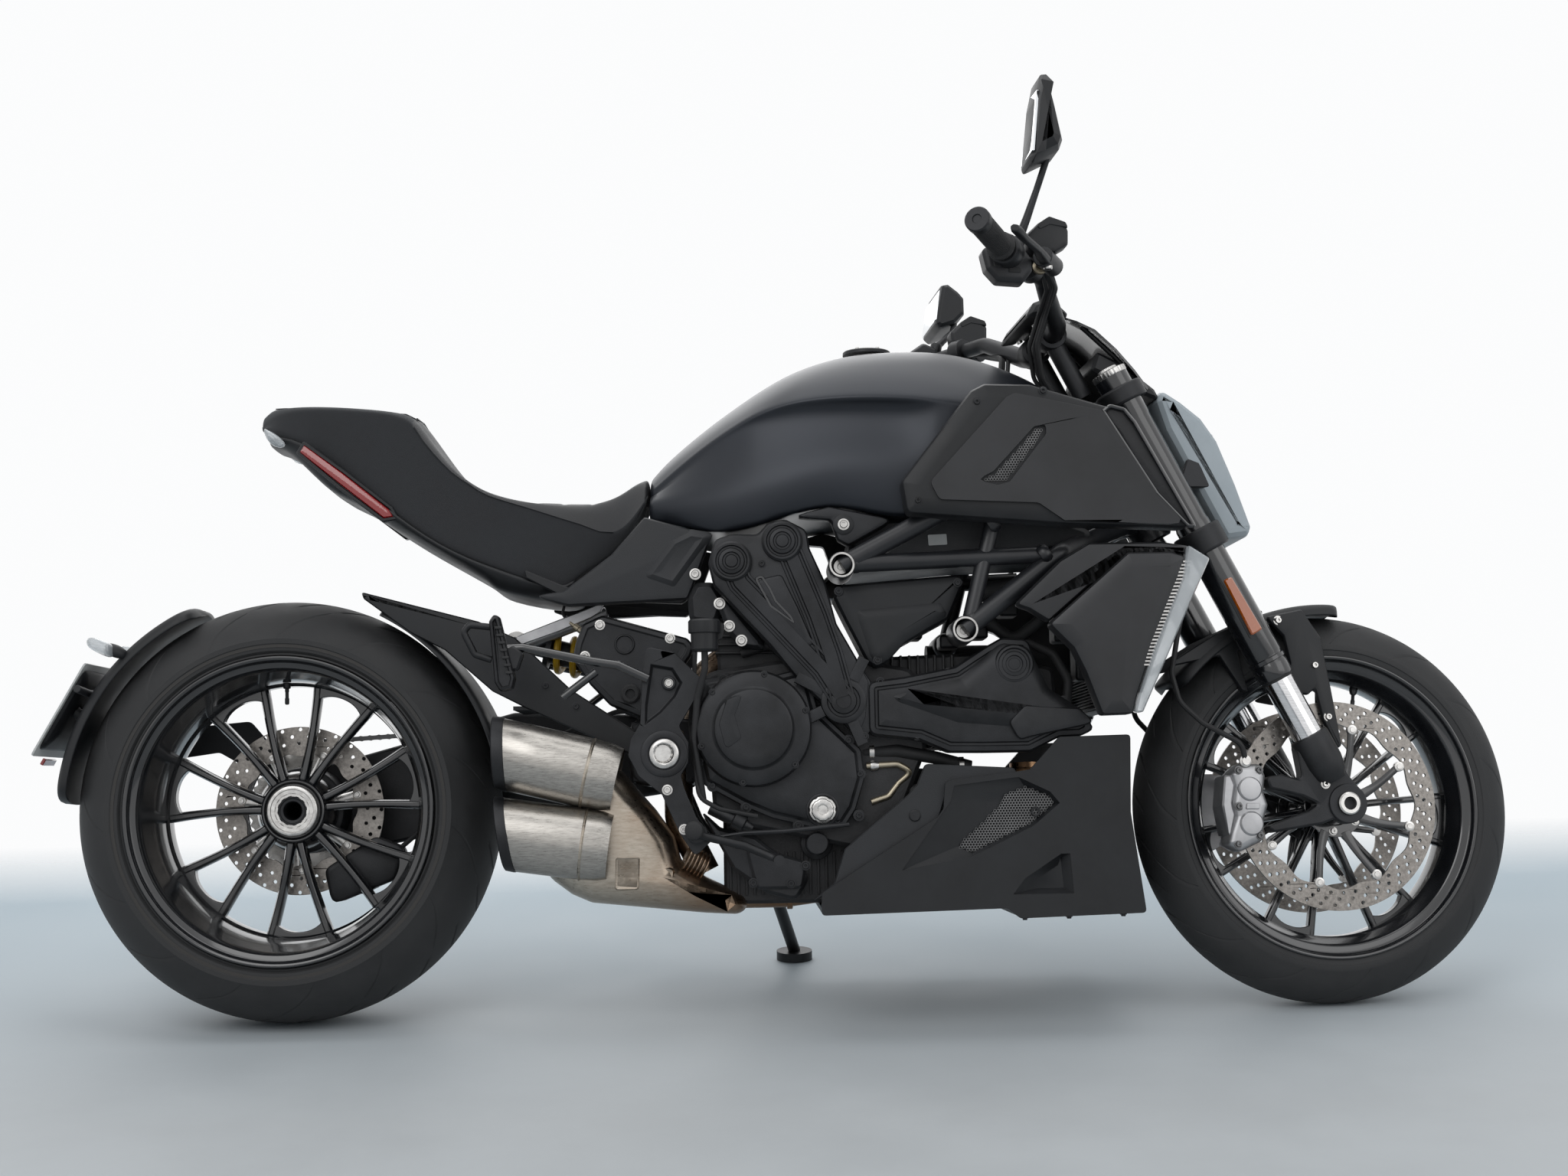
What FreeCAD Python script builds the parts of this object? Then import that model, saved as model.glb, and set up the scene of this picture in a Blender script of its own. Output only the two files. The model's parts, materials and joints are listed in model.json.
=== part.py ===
"""A large naked motorcycle with a single-sided swingarm, as separate solids in one FreeCAD document.

The machine is drawn upright: +X forward, +Y to its left, +Z up, the rear axle over x = 0 and the ground at
z = 0, in millimetres. Each sub-part then gets the Placement that turns the front end a little to the left,
leans the machine on its side stand and moves the row's origin to the middle of its base.
"""
import FreeCAD
import Part
import math
import os
from FreeCAD import Placement
from FreeCAD import Rotation
from FreeCAD import Vector

SIZES = {
    "wheelbase": 1600,
    "rear_radius": 324,
    "front_radius": 300,
    "rake": 27,
    "trail": 120,
    "lean": 9.76,
    "steer": 8.07,
    "pitch": 0.1156,
    "lift": 2.02,
    "origin_forward": 760.7,
    "origin_left": 191.2,
    "engine_half": 150,
    "cover_out": 180,
    "belt_out": 203,
    "clutch_out": 218,
    "panel_in": 223,
    "panel_out": 265,
    "plate_in": 182,
    "plate_out": 204,
    "pan_in": 186,
    "pan_out": 204,
    "frame_tube": 15,
    "head_tube": 31,
    "fork_spread": 105,
    "fork_offset": 30,
    "fork_tube": 28,
    "fork_slider": 24,
    "disc_front": 160,
    "disc_rear": 132,
    "disc_side": 69,
    "disc_thick": 5,
    "bar_tube": 14,
    "grip_tube": 17,
    "chain_side": 165,
    "chain_width": 14,
    "chain_thick": 10,
    "sprocket_rear": 106,
    "sprocket_front": 38,
    "arm_in": 126,
    "arm_out": 150,
    "spoke_in": 12,
    "spoke_wide": 20,
    "tank_half": 200,
}

doc = FreeCAD.newDocument("motorcycle")
sheet = doc.addObject("Spreadsheet::Sheet", "size")
for row, (name, number) in enumerate(SIZES.items(), start=1):
    sheet.set(f"A{row}", name)
    sheet.set(f"B{row}", str(number))
    sheet.setAlias(f"B{row}", name)
doc.recompute()

UP = Vector(0, 0, 1)
LEFT = Vector(0, 1, 0)
FORWARD = Vector(1, 0, 0)
bike_parts = []
fork_parts = []


def cell(name):
    return float(sheet.get(name))


RAKE = math.radians(cell("rake"))
STEER_UP = Vector(-math.sin(RAKE), 0, math.cos(RAKE))
STEER_FORWARD = Vector(math.cos(RAKE), 0, math.sin(RAKE))
STEER_FOOT = Vector(cell("wheelbase") + cell("trail"), 0, 0)
REAR_AXLE = Vector(0, 0, cell("rear_radius"))
FRONT_AXLE = Vector(cell("wheelbase"), 0, cell("front_radius"))


def on_axis(height, ahead=0.0, side=0.0):
    """A point beside the steering axis at a height, moved ahead of it and to a side."""
    along = STEER_UP * (height / math.cos(RAKE))
    return STEER_FOOT + along + STEER_FORWARD * ahead + LEFT * side


PLATE_FOOT = Vector(-378, 0, 415)
PLATE_TILT = Rotation(LEFT, 29.7)
STAND_PIVOT = Vector(738, 168, 205)
STAND_AXIS = Vector(0.017, 0.51, 0.86).normalize()

# Sketches and features


def rounded(points):
    """Lines and arcs round a closed outline; a point's third number is its corner radius."""
    corners = []
    count = len(points)
    for n, point in enumerate(points):
        here = Vector(point[0], point[1], 0)
        back = Vector(points[n - 1][0], points[n - 1][1], 0) - here
        ahead = Vector(points[(n + 1) % count][0], points[(n + 1) % count][1], 0) - here
        radius = point[2] if len(point) > 2 else 0
        half = back.getAngle(ahead) / 2
        if radius == 0 or half > 1.55:
            corners.append((here, None, here))
            continue
        reach = radius / math.tan(half)
        start = here + back * (reach / back.Length)
        end = here + ahead * (reach / ahead.Length)
        middle = back * (1 / back.Length) + ahead * (1 / ahead.Length)
        centre = here + middle * (radius / math.sin(half) / middle.Length)
        towards = here - centre
        corners.append((start, centre + towards * (radius / towards.Length), end))
    edges = []
    for n, (start, crest, end) in enumerate(corners):
        if crest is not None:
            edges.append(Part.Arc(start, crest, end))
        edges.append(Part.LineSegment(end, corners[(n + 1) % count][0]))
    return edges


def new_body(label):
    body = doc.addObject("PartDesign::Body", label)
    body.Label = label
    return body


def origin_plane(body, role):
    return next(f for f in body.Origin.OriginFeatures if f.Role == role)


def draw(body, role, edges, offset="0"):
    """A sketch on one of a body's own planes, moved along its normal by an expression."""
    sketch = body.newObject("Sketcher::SketchObject", body.Label + "_sketch")
    sketch.AttachmentSupport = [(origin_plane(body, role), "")]
    sketch.MapMode = "FlatFace"
    sketch.setExpression("AttachmentOffset.Base.z", offset)
    sketch.addGeometry(edges, False)
    return sketch


def pad(body, sketch, length):
    feature = body.newObject("PartDesign::Pad", body.Label + "_pad")
    feature.Profile = sketch
    feature.setExpression("Length", length)
    return feature


def panel(label, points, near, far, side="right"):
    """A plate whose outline is seen from the side, between two distances from the middle plane."""
    body = new_body(label)
    offset = near if side == "right" else f"-({far})"
    sketch = draw(body, "XZ_Plane", rounded(points), offset)
    pad(body, sketch, f"({far}) - ({near})")
    return body


def turned(label, profile, centre, angle=360):
    """A body turned about an axle along Y, from a profile of (radius, side) points."""
    return turned_edges(label, rounded(profile), centre, angle)


def turned_edges(label, edges, centre, angle=360):
    body = new_body(label)
    sketch = draw(body, "XY_Plane", edges)
    feature = body.newObject("PartDesign::Revolution", label + "_turn")
    feature.Profile = sketch
    feature.ReferenceAxis = (sketch, ["V_Axis"])
    feature.Angle = angle
    body.Placement = Placement(centre, Rotation())
    return body


def lofted(label, sections, ruled=False):
    """A body through outlines of (side, height) points that stand across the machine."""
    body = new_body(label)
    sketches = [draw(body, "YZ_Plane", rounded(points), str(x)) for x, points in sections]
    feature = body.newObject("PartDesign::AdditiveLoft", label + "_loft")
    feature.Profile = sketches[0]
    feature.Sections = sketches[1:]
    feature.Ruled = ruled
    return body


def rod(name, start, end, radius):
    """A round bar between two points; radius is an expression."""
    item = doc.addObject("Part::Cylinder", name)
    item.setExpression("Radius", radius)
    run = end - start
    item.Height = run.Length
    item.Placement = Placement(start, Rotation(UP, run))
    return item


def ball(name, centre, radius):
    item = doc.addObject("Part::Sphere", name)
    item.setExpression("Radius", radius)
    item.Placement = Placement(centre, Rotation())
    return item


def run_of_rods(name, points, radius):
    """Round bar along several points, with a ball at each bend."""
    pieces = [rod(f"{name}_{n}", a, b, radius) for n, (a, b) in enumerate(zip(points, points[1:]))]
    return pieces + [ball(f"{name}_bend_{n}", p, radius) for n, p in enumerate(points[1:-1])]


def block(name, low, high, turn=None):
    item = doc.addObject("Part::Box", name)
    item.Length = high[0] - low[0]
    item.Width = high[1] - low[1]
    item.Height = high[2] - low[2]
    item.Placement = Placement(Vector(*low), turn or Rotation())
    return item


def joined(label, pieces):
    item = doc.addObject("Part::MultiFuse", label)
    item.Shapes = pieces
    item.Refine = True
    item.Label = label
    return item


def cut_from(label, base, tools):
    item = doc.addObject("Part::Cut", label)
    item.Base = base
    item.Tool = tools[0] if len(tools) == 1 else joined(label + "_tools", tools)
    item.Refine = True
    item.Label = label
    return item


def apart(label, pieces):
    """Solids of one node that do not touch."""
    item = doc.addObject("Part::Compound", label)
    item.Links = pieces
    item.Label = label
    return item


def mirrored(name, source):
    item = doc.addObject("Part::Mirroring", name)
    item.Source = source
    item.Normal = LEFT
    return item


def both_sides(label, piece):
    """The right-hand piece and its mirror image as one node."""
    return apart(label, [piece, mirrored(label + "_mirror", piece)])


def tyre_outline(radius, half, shoulder, bead):
    """A hollow tyre: one arc over the tread, one inside it, and the sidewalls down to the beads."""
    heel = 218
    side = [(heel, bead - 16), (heel, bead), (233, bead + 1.5), (236, half - 2), (shoulder, half)]
    other = [(r, -y) for r, y in side]
    edges = [Part.Arc(Vector(shoulder, half, 0), Vector(radius, 0, 0), Vector(shoulder, -half, 0))]
    corners = [Vector(r, y, 0) for r, y in reversed(other)] + [Vector(240, 8 - bead, 0)]
    edges += [Part.LineSegment(a, b) for a, b in zip(corners, corners[1:])]
    edges.append(Part.Arc(corners[-1], Vector(radius - 14, 0, 0), Vector(240, bead - 8, 0)))
    corners = [Vector(240, bead - 8, 0)] + [Vector(r, y, 0) for r, y in side]
    return edges + [Part.LineSegment(a, b) for a, b in zip(corners, corners[1:])]


def rear_wheel():
    tyre = turned_edges("rear_tyre", tyre_outline(cell("rear_radius"), 116, 262, 106), REAR_AXLE)
    bike_parts.append(tyre)
    rim = turned("rear_rim", [
        (232, 113), (232, 108.5), (217.5, 108), (217.5, 86), (198, 60), (198, -60), (217.5, -86),
        (217.5, -108), (232, -108.5), (232, -113), (226, -116), (209, -107), (209, -88), (190, -60),
        (190, 60), (209, 88), (209, 107), (226, 116)], REAR_AXLE)
    hub = draw(rim, "XY_Plane", rounded([(31, 0), (48, 0), (62, 20), (62, 50), (31, 50)]))
    boss = rim.newObject("PartDesign::Revolution", "rear_rim_hub")
    boss.Profile = hub
    boss.ReferenceAxis = (hub, ["V_Axis"])
    boss.Angle = 360
    spoke = draw(rim, "XZ_Plane", rounded([(50, 8), (50, -8), (194, -48), (194, -34)]), "-(size.spoke_in + size.spoke_wide)")
    right = pad(rim, spoke, "size.spoke_wide")
    other = draw(rim, "XZ_Plane", rounded([(50, 8), (50, -8), (194, 34), (194, 48)]), "-(size.spoke_in + size.spoke_wide)")
    left = pad(rim, other, "size.spoke_wide")
    pattern = rim.newObject("PartDesign::PolarPattern", "rear_rim_spokes")
    pattern.Originals = [right, left]
    pattern.Axis = (spoke, ["N_Axis"])
    pattern.Angle = 360
    pattern.Occurrences = 7
    rim.Tip = pattern
    bike_parts.append(rim)
    disc = turned("rear_disc", [
        (34, 50.2), (60, 50.2), (66, 52), (cell("disc_rear"), 52), (cell("disc_rear"), 57), (66, 57), (34, 57)],
        REAR_AXLE)
    bike_parts.append(disc)
    axle = turned("rear_axle", [
        (14, -12), (40, -12), (40, -0.5), (30, -0.5), (30, 184), (14, 184)], REAR_AXLE)
    bike_parts.append(axle)
    sprocket = turned("rear_sprocket", [
        (30.3, 156), (60, 156), (60, 168), (cell("sprocket_rear"), 168), (cell("sprocket_rear"), 176), (30.3, 176)], REAR_AXLE)
    bike_parts.append(sprocket)


def front_wheel():
    tyre = turned_edges("front_tyre", tyre_outline(cell("front_radius"), 60, 256, 50), FRONT_AXLE)
    fork_parts.append(tyre)
    rim = turned("front_rim", [
        (232, 57), (232, 52.5), (217.5, 52), (217.5, 34), (204, 20), (204, -20), (217.5, -34),
        (217.5, -52), (232, -52.5), (232, -57), (226, -58), (209, -51), (209, -36), (196, -20),
        (196, 20), (209, 36), (209, 51), (226, 58)], FRONT_AXLE)
    hub = draw(rim, "XY_Plane", rounded([(15, -58), (30, -58), (36, -20), (36, 20), (30, 58), (15, 58)]))
    boss = rim.newObject("PartDesign::Revolution", "front_rim_hub")
    boss.Profile = hub
    boss.ReferenceAxis = (hub, ["V_Axis"])
    boss.Angle = 360
    made = []
    for lean_to in (1, -1):
        outline = [(28, 7), (28, -7), (200, -7 + 30 * lean_to), (200, 7 + 30 * lean_to)]
        spoke = draw(rim, "XZ_Plane", rounded(outline), "-11")
        made.append(pad(rim, spoke, "22"))
    pattern = rim.newObject("PartDesign::PolarPattern", "front_rim_spokes")
    pattern.Originals = made
    pattern.Axis = (made[0].Profile[0], ["N_Axis"])
    pattern.Angle = 360
    pattern.Occurrences = 7
    rim.Tip = pattern
    fork_parts.append(rim)
    near = cell("disc_side")
    far = near + cell("disc_thick")
    disc = turned("front_disc", [
        (30, -58.3), (60, -58.3), (104, -near), (cell("disc_front"), -near), (cell("disc_front"), -far),
        (98, -far), (56, -64), (30, -64)], FRONT_AXLE)
    fork_parts.append(both_sides("front_discs", disc))


# Engine and what is bolted to it


def engine():
    half = cell("engine_half")
    core = panel("engine_crankcase", [
        (655, 300, 30), (640, 520, 30), (820, 545, 20), (960, 520, 30), (975, 400, 20), (930, 290, 30),
        (880, 250)], "-size.engine_half", "size.engine_half")
    sump = block("engine_sump", (665, -110, 172), (860, 110, 400))
    front = block("engine_front_head", (900, -120, 398), (1175, 120, 545))
    rear = block("engine_rear_head", (662, -120, 500), (800, 120, 728))
    pin = rod("stand_pin", STAND_PIVOT - STAND_AXIS * 27, STAND_PIVOT + STAND_AXIS * 27, "8")
    lugs = []
    for n, way in enumerate((-1, 1)):
        near = STAND_PIVOT + STAND_AXIS * (13.5 * way)
        far = STAND_PIVOT + STAND_AXIS * (26 * way)
        lugs.append(rod(f"stand_ear_{n}", near, far, "20"))
        root = (near + far) * 0.5
        lugs.append(rod(f"stand_web_{n}", root, root + Vector(0, -84, 50), "6"))
    bike_parts.append(joined("engine_block", [core, sump, front, rear, pin] + lugs))
    bike_parts.append(panel("engine_cover_right", [
        (652, 305, 30), (630, 430, 30), (650, 507, 20), (795, 522, 15), (842, 445, 20), (874, 400, 15),
        (878, 350, 20), (850, 285, 20)], "size.engine_half + 0.2", "size.cover_out"))
    bike_parts.append(turned("clutch_cover", [
        (0, -cell("cover_out") - 0.2), (86, -cell("cover_out") - 0.2), (84, -207, 8), (60, -cell("clutch_out"), 4),
        (0, -cell("clutch_out"))], Vector(716, 0, 433)))
    rear_cover = panel("belt_cover_rear", [
        (651, 684, 30), (688, 722, 20), (763, 740, 20), (800, 712, 20), (884, 535, 20), (880, 526),
        (868, 420, 8), (836, 505, 20), (720, 600, 60)], "size.engine_half + 0.2", "size.belt_out")
    front_cover = panel("belt_cover_front", [
        (888, 500, 10), (1016, 520, 20), (1092, 566, 25), (1130, 558, 15), (1150, 488, 15), (1200, 454, 10),
        (1222, 423, 10), (1169, 412, 10), (1125, 392, 10), (1004, 393, 10), (961, 410, 15), (886, 420, 8)],
        "size.engine_half + 0.2", "size.belt_out")
    bike_parts.append(apart("belt_covers", [rear_cover, front_cover]))
    bike_parts.append(panel("side_box", [
        (844, 636, 8), (874, 652, 8), (1024, 655, 10), (1026, 622, 8), (1003, 572, 10), (912, 548, 8),
        (894, 548, 8), (866, 600, 20)], "size.engine_half - 60", "size.cover_out"))
    left_cover = turned("generator_cover", [
        (0, cell("engine_half") + 0.2), (98, cell("engine_half") + 0.2), (92, 186, 8), (50, 196, 6), (0, 196)],
        Vector(850, 0, 440))
    guard = panel("sprocket_guard", [
        (648, 372, 12), (648, 480, 12), (700, 488, 12), (722, 430, 12), (704, 366, 12)], "189", "196", "left")
    post_low = rod("sprocket_post_low", Vector(700, 150.2, 378), Vector(700, 190, 378), "6")
    post_high = rod("sprocket_post_high", Vector(704, 150.2, 474), Vector(704, 190, 474), "6")
    bike_parts.append(apart("engine_covers_left", [left_cover, joined("sprocket_cover", [guard, post_low, post_high])]))


def exhaust():
    box = panel("silencer_box", [
        (430, 205, 20), (470, 179, 10), (640, 164, 10), (655, 180, 6), (655, 240, 20), (566, 330, 20),
        (522, 348, 10), (430, 348, 10)], "20", "100")
    outlets = [box]
    for name, mouth, root in (("upper", Vector(336, -152, 408), Vector(524, -154, 356)),
                              ("lower", Vector(344, -152, 282), Vector(524, -154, 258))):
        shell = rod(f"silencer_{name}_shell", mouth, root, "50")
        inward = (root - mouth).normalize() * 60
        bore = rod(f"silencer_{name}_bore", mouth - inward, mouth + inward, "40")
        outlets.append(cut_from(f"silencer_{name}", shell, [bore]))
    bike_parts.append(apart("silencer", outlets))
    front_pipe = run_of_rods("front_pipe", [
        Vector(1140, 0, 370), Vector(1140, -10, 260), Vector(1060, -40, 208), Vector(890, -60, 206)], "26")
    bike_parts.append(joined("exhaust_headers", front_pipe))


def cooling():
    bike_parts.append(panel("radiator", [
        (1236, 450, 6), (1262, 690, 6), (1294, 690, 6), (1268, 450, 6)], "-205", "205"))
    cover = panel("radiator_cover", [
        (1106, 613, 6), (1211, 695, 8), (1319, 695, 20), (1352, 688, 10), (1340, 640), (1298, 542), (1272, 470),
        (1266, 444, 5), (1222, 442, 8), (1199, 506, 20), (1183, 540, 20), (1148, 573, 20)],
        "size.panel_in", "size.panel_out")
    bike_parts.append(both_sides("radiator_covers", cover))
    strip = panel("front_indicator", [
        (1356, 689, 6), (1386, 668, 6), (1281, 445, 6), (1268, 445), (1274, 470), (1300, 542), (1343, 641)],
        "size.panel_in + 12", "size.panel_out + 1")
    bike_parts.append(both_sides("front_indicators", strip))


def belly_pan():
    side = panel("belly_pan_side", [
        (800, 180, 10), (812, 160, 8), (1083, 162, 10), (1105, 152, 10), (1280, 156, 10), (1264, 319),
        (1268, 384, 6), (1165, 384, 10), (1111, 369, 10), (998, 350, 10), (960, 384, 8), (870, 300, 20)],
        "size.pan_in", "size.pan_out")
    floor = block("belly_pan_floor", (880, -190, 150), (1268, 190, 156))
    front = block("belly_pan_front", (1256, -190, 152), (1262, 190, 300))
    bike_parts.append(joined("belly_pan", [side, mirrored("belly_pan_other", side), floor, front]))


# Frame, swingarm and footrests


def frame():
    pieces = []
    for side in (-1, 1):
        name = "right" if side < 0 else "left"
        upper = [Vector(850, side * 208, 671), Vector(1000, side * 203, 750), Vector(1245, side * 28, 862)]
        lower = [Vector(1030, side * 208, 573), Vector(1177, side * 196, 686), Vector(1300, side * 28, 745),
                 Vector(1334, side * 6, 749)]
        level = [Vector(872, side * 206, 674), Vector(1152, side * 197, 684)]
        brace = [Vector(1040, side * 205, 592), Vector(1076, side * 196, 731), Vector(1085, side * 147, 787)]
        pieces += run_of_rods(f"frame_upper_{name}", upper, "size.frame_tube")
        pieces += run_of_rods(f"frame_lower_{name}", lower, "size.frame_tube")
        pieces += run_of_rods(f"frame_level_{name}", level, "size.frame_tube - 2")
        pieces += run_of_rods(f"frame_brace_{name}", brace, "size.frame_tube - 3")
        pieces.append(ball(f"frame_corner_{name}", level[1], "size.frame_tube - 2"))
        for n, socket in enumerate((upper[0], lower[0])):
            inner = Vector(socket.x, side * 122, socket.z)
            outer = Vector(socket.x, side * 224, socket.z)
            pieces.append(rod(f"frame_socket_{name}_{n}", inner, outer, "20"))
    head = rod("frame_head", on_axis(722), on_axis(892), "size.head_tube")
    pieces.append(head)
    bore = rod("frame_head_bore", on_axis(700), on_axis(910), "20")
    bike_parts.append(cut_from("frame_trellis", joined("frame_tubes", pieces), [bore]))


def swingarm():
    arm = panel("swingarm_arm", [
        (-58, 268, 60), (-66, 380, 50), (60, 404, 30), (330, 476, 40), (520, 470, 20), (632, 452, 20),
        (632, 350, 20), (520, 334, 40), (300, 300, 40), (70, 256, 30)], "size.arm_in", "size.arm_out", "left")
    hub = rod("swingarm_hub", Vector(0, 66, 324), Vector(0, 150, 324), "68")
    cross = block("swingarm_cross", (528, -78, 356), (632, 140, 452))
    pin = rod("swingarm_pin", Vector(582, -206, 399), Vector(582, 206, 399), "16")
    bore = rod("swingarm_bore", Vector(0, 60, 324), Vector(0, 170, 324), "32")
    bike_parts.append(cut_from("swingarm", joined("swingarm_solid", [arm, hub, cross, pin]), [bore]))


def footrests():
    plate = panel("footrest_plate_side", [
        (446, 560, 8), (470, 602, 10), (494, 617, 10), (612, 574, 12), (632, 548, 10), (604, 436, 10),
        (622, 393, 20), (608, 310, 12), (640, 268, 12), (600, 262, 12), (556, 330, 20), (540, 416, 20),
        (540, 470, 10)], "size.plate_in", "size.plate_out")
    hole = rod("footrest_plate_hole", Vector(582, -220, 399), Vector(582, -100, 399), "16.3")
    near = cut_from("footrest_plate", plate, [hole])
    stay = rod("footrest_stay", Vector(612, -184, 545), Vector(612, -60, 545), "12")
    bike_parts.append(both_sides("footrest_plates", joined("footrest_side", [near, stay])))
    peg = rod("rider_peg", Vector(628, -206, 284), Vector(628, -276, 290), "14")
    pedal = run_of_rods("brake_pedal", [
        Vector(632, -214, 278), Vector(700, -214, 262), Vector(750, -220, 240), Vector(750, -250, 240)], "6")
    bike_parts.append(both_sides("foot_controls", joined("foot_control", [peg] + pedal)))
    bar = run_of_rods("pillion_bar", [
        Vector(545, -211.5, 498), Vector(500, -212, 528), Vector(372, -212, 530), Vector(344, -212, 500)], "7")
    folded = panel("pillion_peg", [
        (330, 488, 8), (336, 598, 8), (350, 598, 8), (366, 500, 8), (360, 486, 8)], "200", "228")
    bike_parts.append(both_sides("passenger_footrests", joined("passenger_footrest", bar + [folded])))


def suspension():
    spring = rod("shock_spring", Vector(392, 92, 572), Vector(560, 92, 528), "34")
    damper = rod("shock_damper", Vector(340, 92, 586), Vector(640, 92, 507), "13")
    eye = rod("shock_eye", Vector(340, 70, 586), Vector(340, 114, 586), "18")
    link = rod("shock_link", Vector(352, 62, 580), Vector(486, 62, 630), "10")
    bike_parts.append(joined("rear_shock", [spring, damper, eye, link]))


# Bodywork


def tank_section(half, low, high, belt):
    """An outline across the tank: flat below, widest at the belt height, crowned on top."""
    return [
        (-half * 0.62, low, 12), (half * 0.62, low, 12), (half, belt, 30), (half * 0.8, high - 38, 40),
        (half * 0.34, high, 50), (-half * 0.34, high, 50), (-half * 0.8, high - 38, 40), (-half, belt, 30)]


def bodywork():
    half = cell("tank_half")
    tank = lofted("fuel_tank", [
        (562, tank_section(half * 0.55, 762, 836, 795)),
        (700, tank_section(half * 0.86, 740, 944, 830)),
        (850, tank_section(half, 766, 1017, 870)),
        (1010, tank_section(half, 796, 1027, 905)),
        (1100, tank_section(half * 0.86, 838, 1005, 912)),
        (1170, tank_section(half * 0.55, 874, 972, 925))], True)
    bike_parts.append(tank)
    cap = turned("fuel_cap", [(0, 1), (38, 1), (38, 7, 2), (30, 10, 3), (0, 10)], Vector(0, 0, 0))
    cap.Placement = Placement(Vector(905, 0, 1026), Rotation(LEFT, UP))
    bike_parts.append(cap)
    seat_line = (
        (-34, 52, 905, 944), (20, 84, 886, 952), (110, 112, 828, 944), (205, 122, 750, 930), (262, 125, 713, 850),
        (330, 125, 684, 800), (430, 118, 652, 792), (512, 92, 712, 801), (558, 80, 790, 828))
    sections = []
    tail_sections = []
    for x, side, low, high in seat_line:
        drop = min(30, (high - low) * 0.3)
        sections.append((x, [(-side, low, 4), (side, low, 4), (side * 0.94, high - drop, 12), (side * 0.55, high, 12),
                             (-side * 0.55, high, 12), (-side * 0.94, high - drop, 12)]))
        tail_sections.append((x, low, side))
    bike_parts.append(lofted("seat", sections, True))
    tail = []
    for x, low, side in tail_sections[:7]:
        drop = 26 if x > 0 else 20
        tail.append((x, [(-side * 0.8, low - drop), (side * 0.8, low - drop), (side * 0.98, low - 1),
                         (-side * 0.98, low - 1)]))
    bike_parts.append(lofted("tail_unit", tail, True))
    light = panel("tail_light_side", [
        (33, 866, 2), (40, 876, 2), (168, 776, 3), (172, 766, 3), (158, 765, 3)], "118", "124")
    bike_parts.append(both_sides("tail_light", light))
    side = panel("side_panel", [
        (384, 640, 6), (440, 624, 8), (620, 631, 8), (656, 726, 8), (622, 738, 10), (556, 757, 10), (505, 700, 20),
        (432, 646, 20)], "122", "148")
    bike_parts.append(both_sides("side_panels", side))
    intake = panel("intake_cover", [
        (945, 744, 6), (940, 790, 12), (1044, 922, 14), (1066, 932, 10), (1130, 930, 10), (1243, 897, 8),
        (1270, 889, 10), (1284, 871, 8), (1366, 714, 5), (1184, 722, 20)], "size.panel_in", "size.panel_out")
    bike_parts.append(both_sides("intake_covers", intake))


def wheel_guards():
    profile = [(332, -92, 6), (334, 92, 6), (340, 98, 4), (346, 92, 10), (346, -92, 10), (340, -98, 4)]
    guard = turned("mudguard_band", profile, REAR_AXLE, 62)
    guard.Placement = Placement(REAR_AXLE, Rotation(LEFT, -176.5))
    arm = panel("mudguard_arm", [
        (-336, 360, 10), (-330, 450, 10), (-100, 470, 20), (-40, 400, 10), (-74, 376, 10), (-150, 420, 30),
        (-300, 400, 20), (-318, 350, 8)], "150.2", "158", "left")
    ear = block("mudguard_ear", (-338, 60, 372), (-330, 156, 452))
    seat_of_plate = PLATE_FOOT + PLATE_TILT.multVec(Vector(4.2, 0, 83))
    pedestal = rod("mudguard_bracket", seat_of_plate, seat_of_plate + PLATE_TILT.multVec(FORWARD) * 30, "14")
    bike_parts.append(joined("rear_mudguard", [guard, arm, ear, pedestal]))


def guard_trim():
    cheek = panel("hugger_cheek", [
        (122, 654, 6), (300, 606, 20), (356, 580, 20), (440, 500, 30), (560, 420, 10), (548, 392, 10),
        (373, 472, 30), (321, 499, 40), (249, 563, 40), (197, 590, 20), (126, 643, 3)], "98", "105")
    band = turned("hugger_band", [(334, -104, 3), (341, -104, 3), (341, 104, 3), (334, 104, 3)], REAR_AXLE, 58)
    band.Placement = Placement(REAR_AXLE, Rotation(LEFT, -66))
    bridge = block("hugger_bridge", (352, -104, 470), (378, 60, 476))
    bike_parts.append(joined("rear_hugger", [cheek, band, bridge]))
    plate = block("plate_sheet", (0, -95, 0), (4, 95, 160))
    plate.Placement = Placement(PLATE_FOOT - LEFT * 95, PLATE_TILT)
    holes = []
    for n, side in enumerate((-1, 1)):
        centre = PLATE_FOOT + PLATE_TILT.multVec(Vector(0, side * 75, 130))
        through = PLATE_TILT.multVec(FORWARD) * 20
        holes.append(rod(f"plate_hole_{n}", centre - through, centre + through, "3.5"))
    bike_parts.append(cut_from("number_plate", plate, holes))
    lamp = rod("indicator_lamp", Vector(-292, -92, 584), Vector(-250, -112, 568), "15")
    stalk = rod("indicator_stalk", Vector(-262, -100, 572), Vector(-256, -78, 567), "6")
    bike_parts.append(both_sides("rear_indicators", joined("rear_indicator", [lamp, stalk])))
    bike_parts.append(rod("brake_reservoir", Vector(646, -229, 546), Vector(646, -229, 592), "20"))


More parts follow.
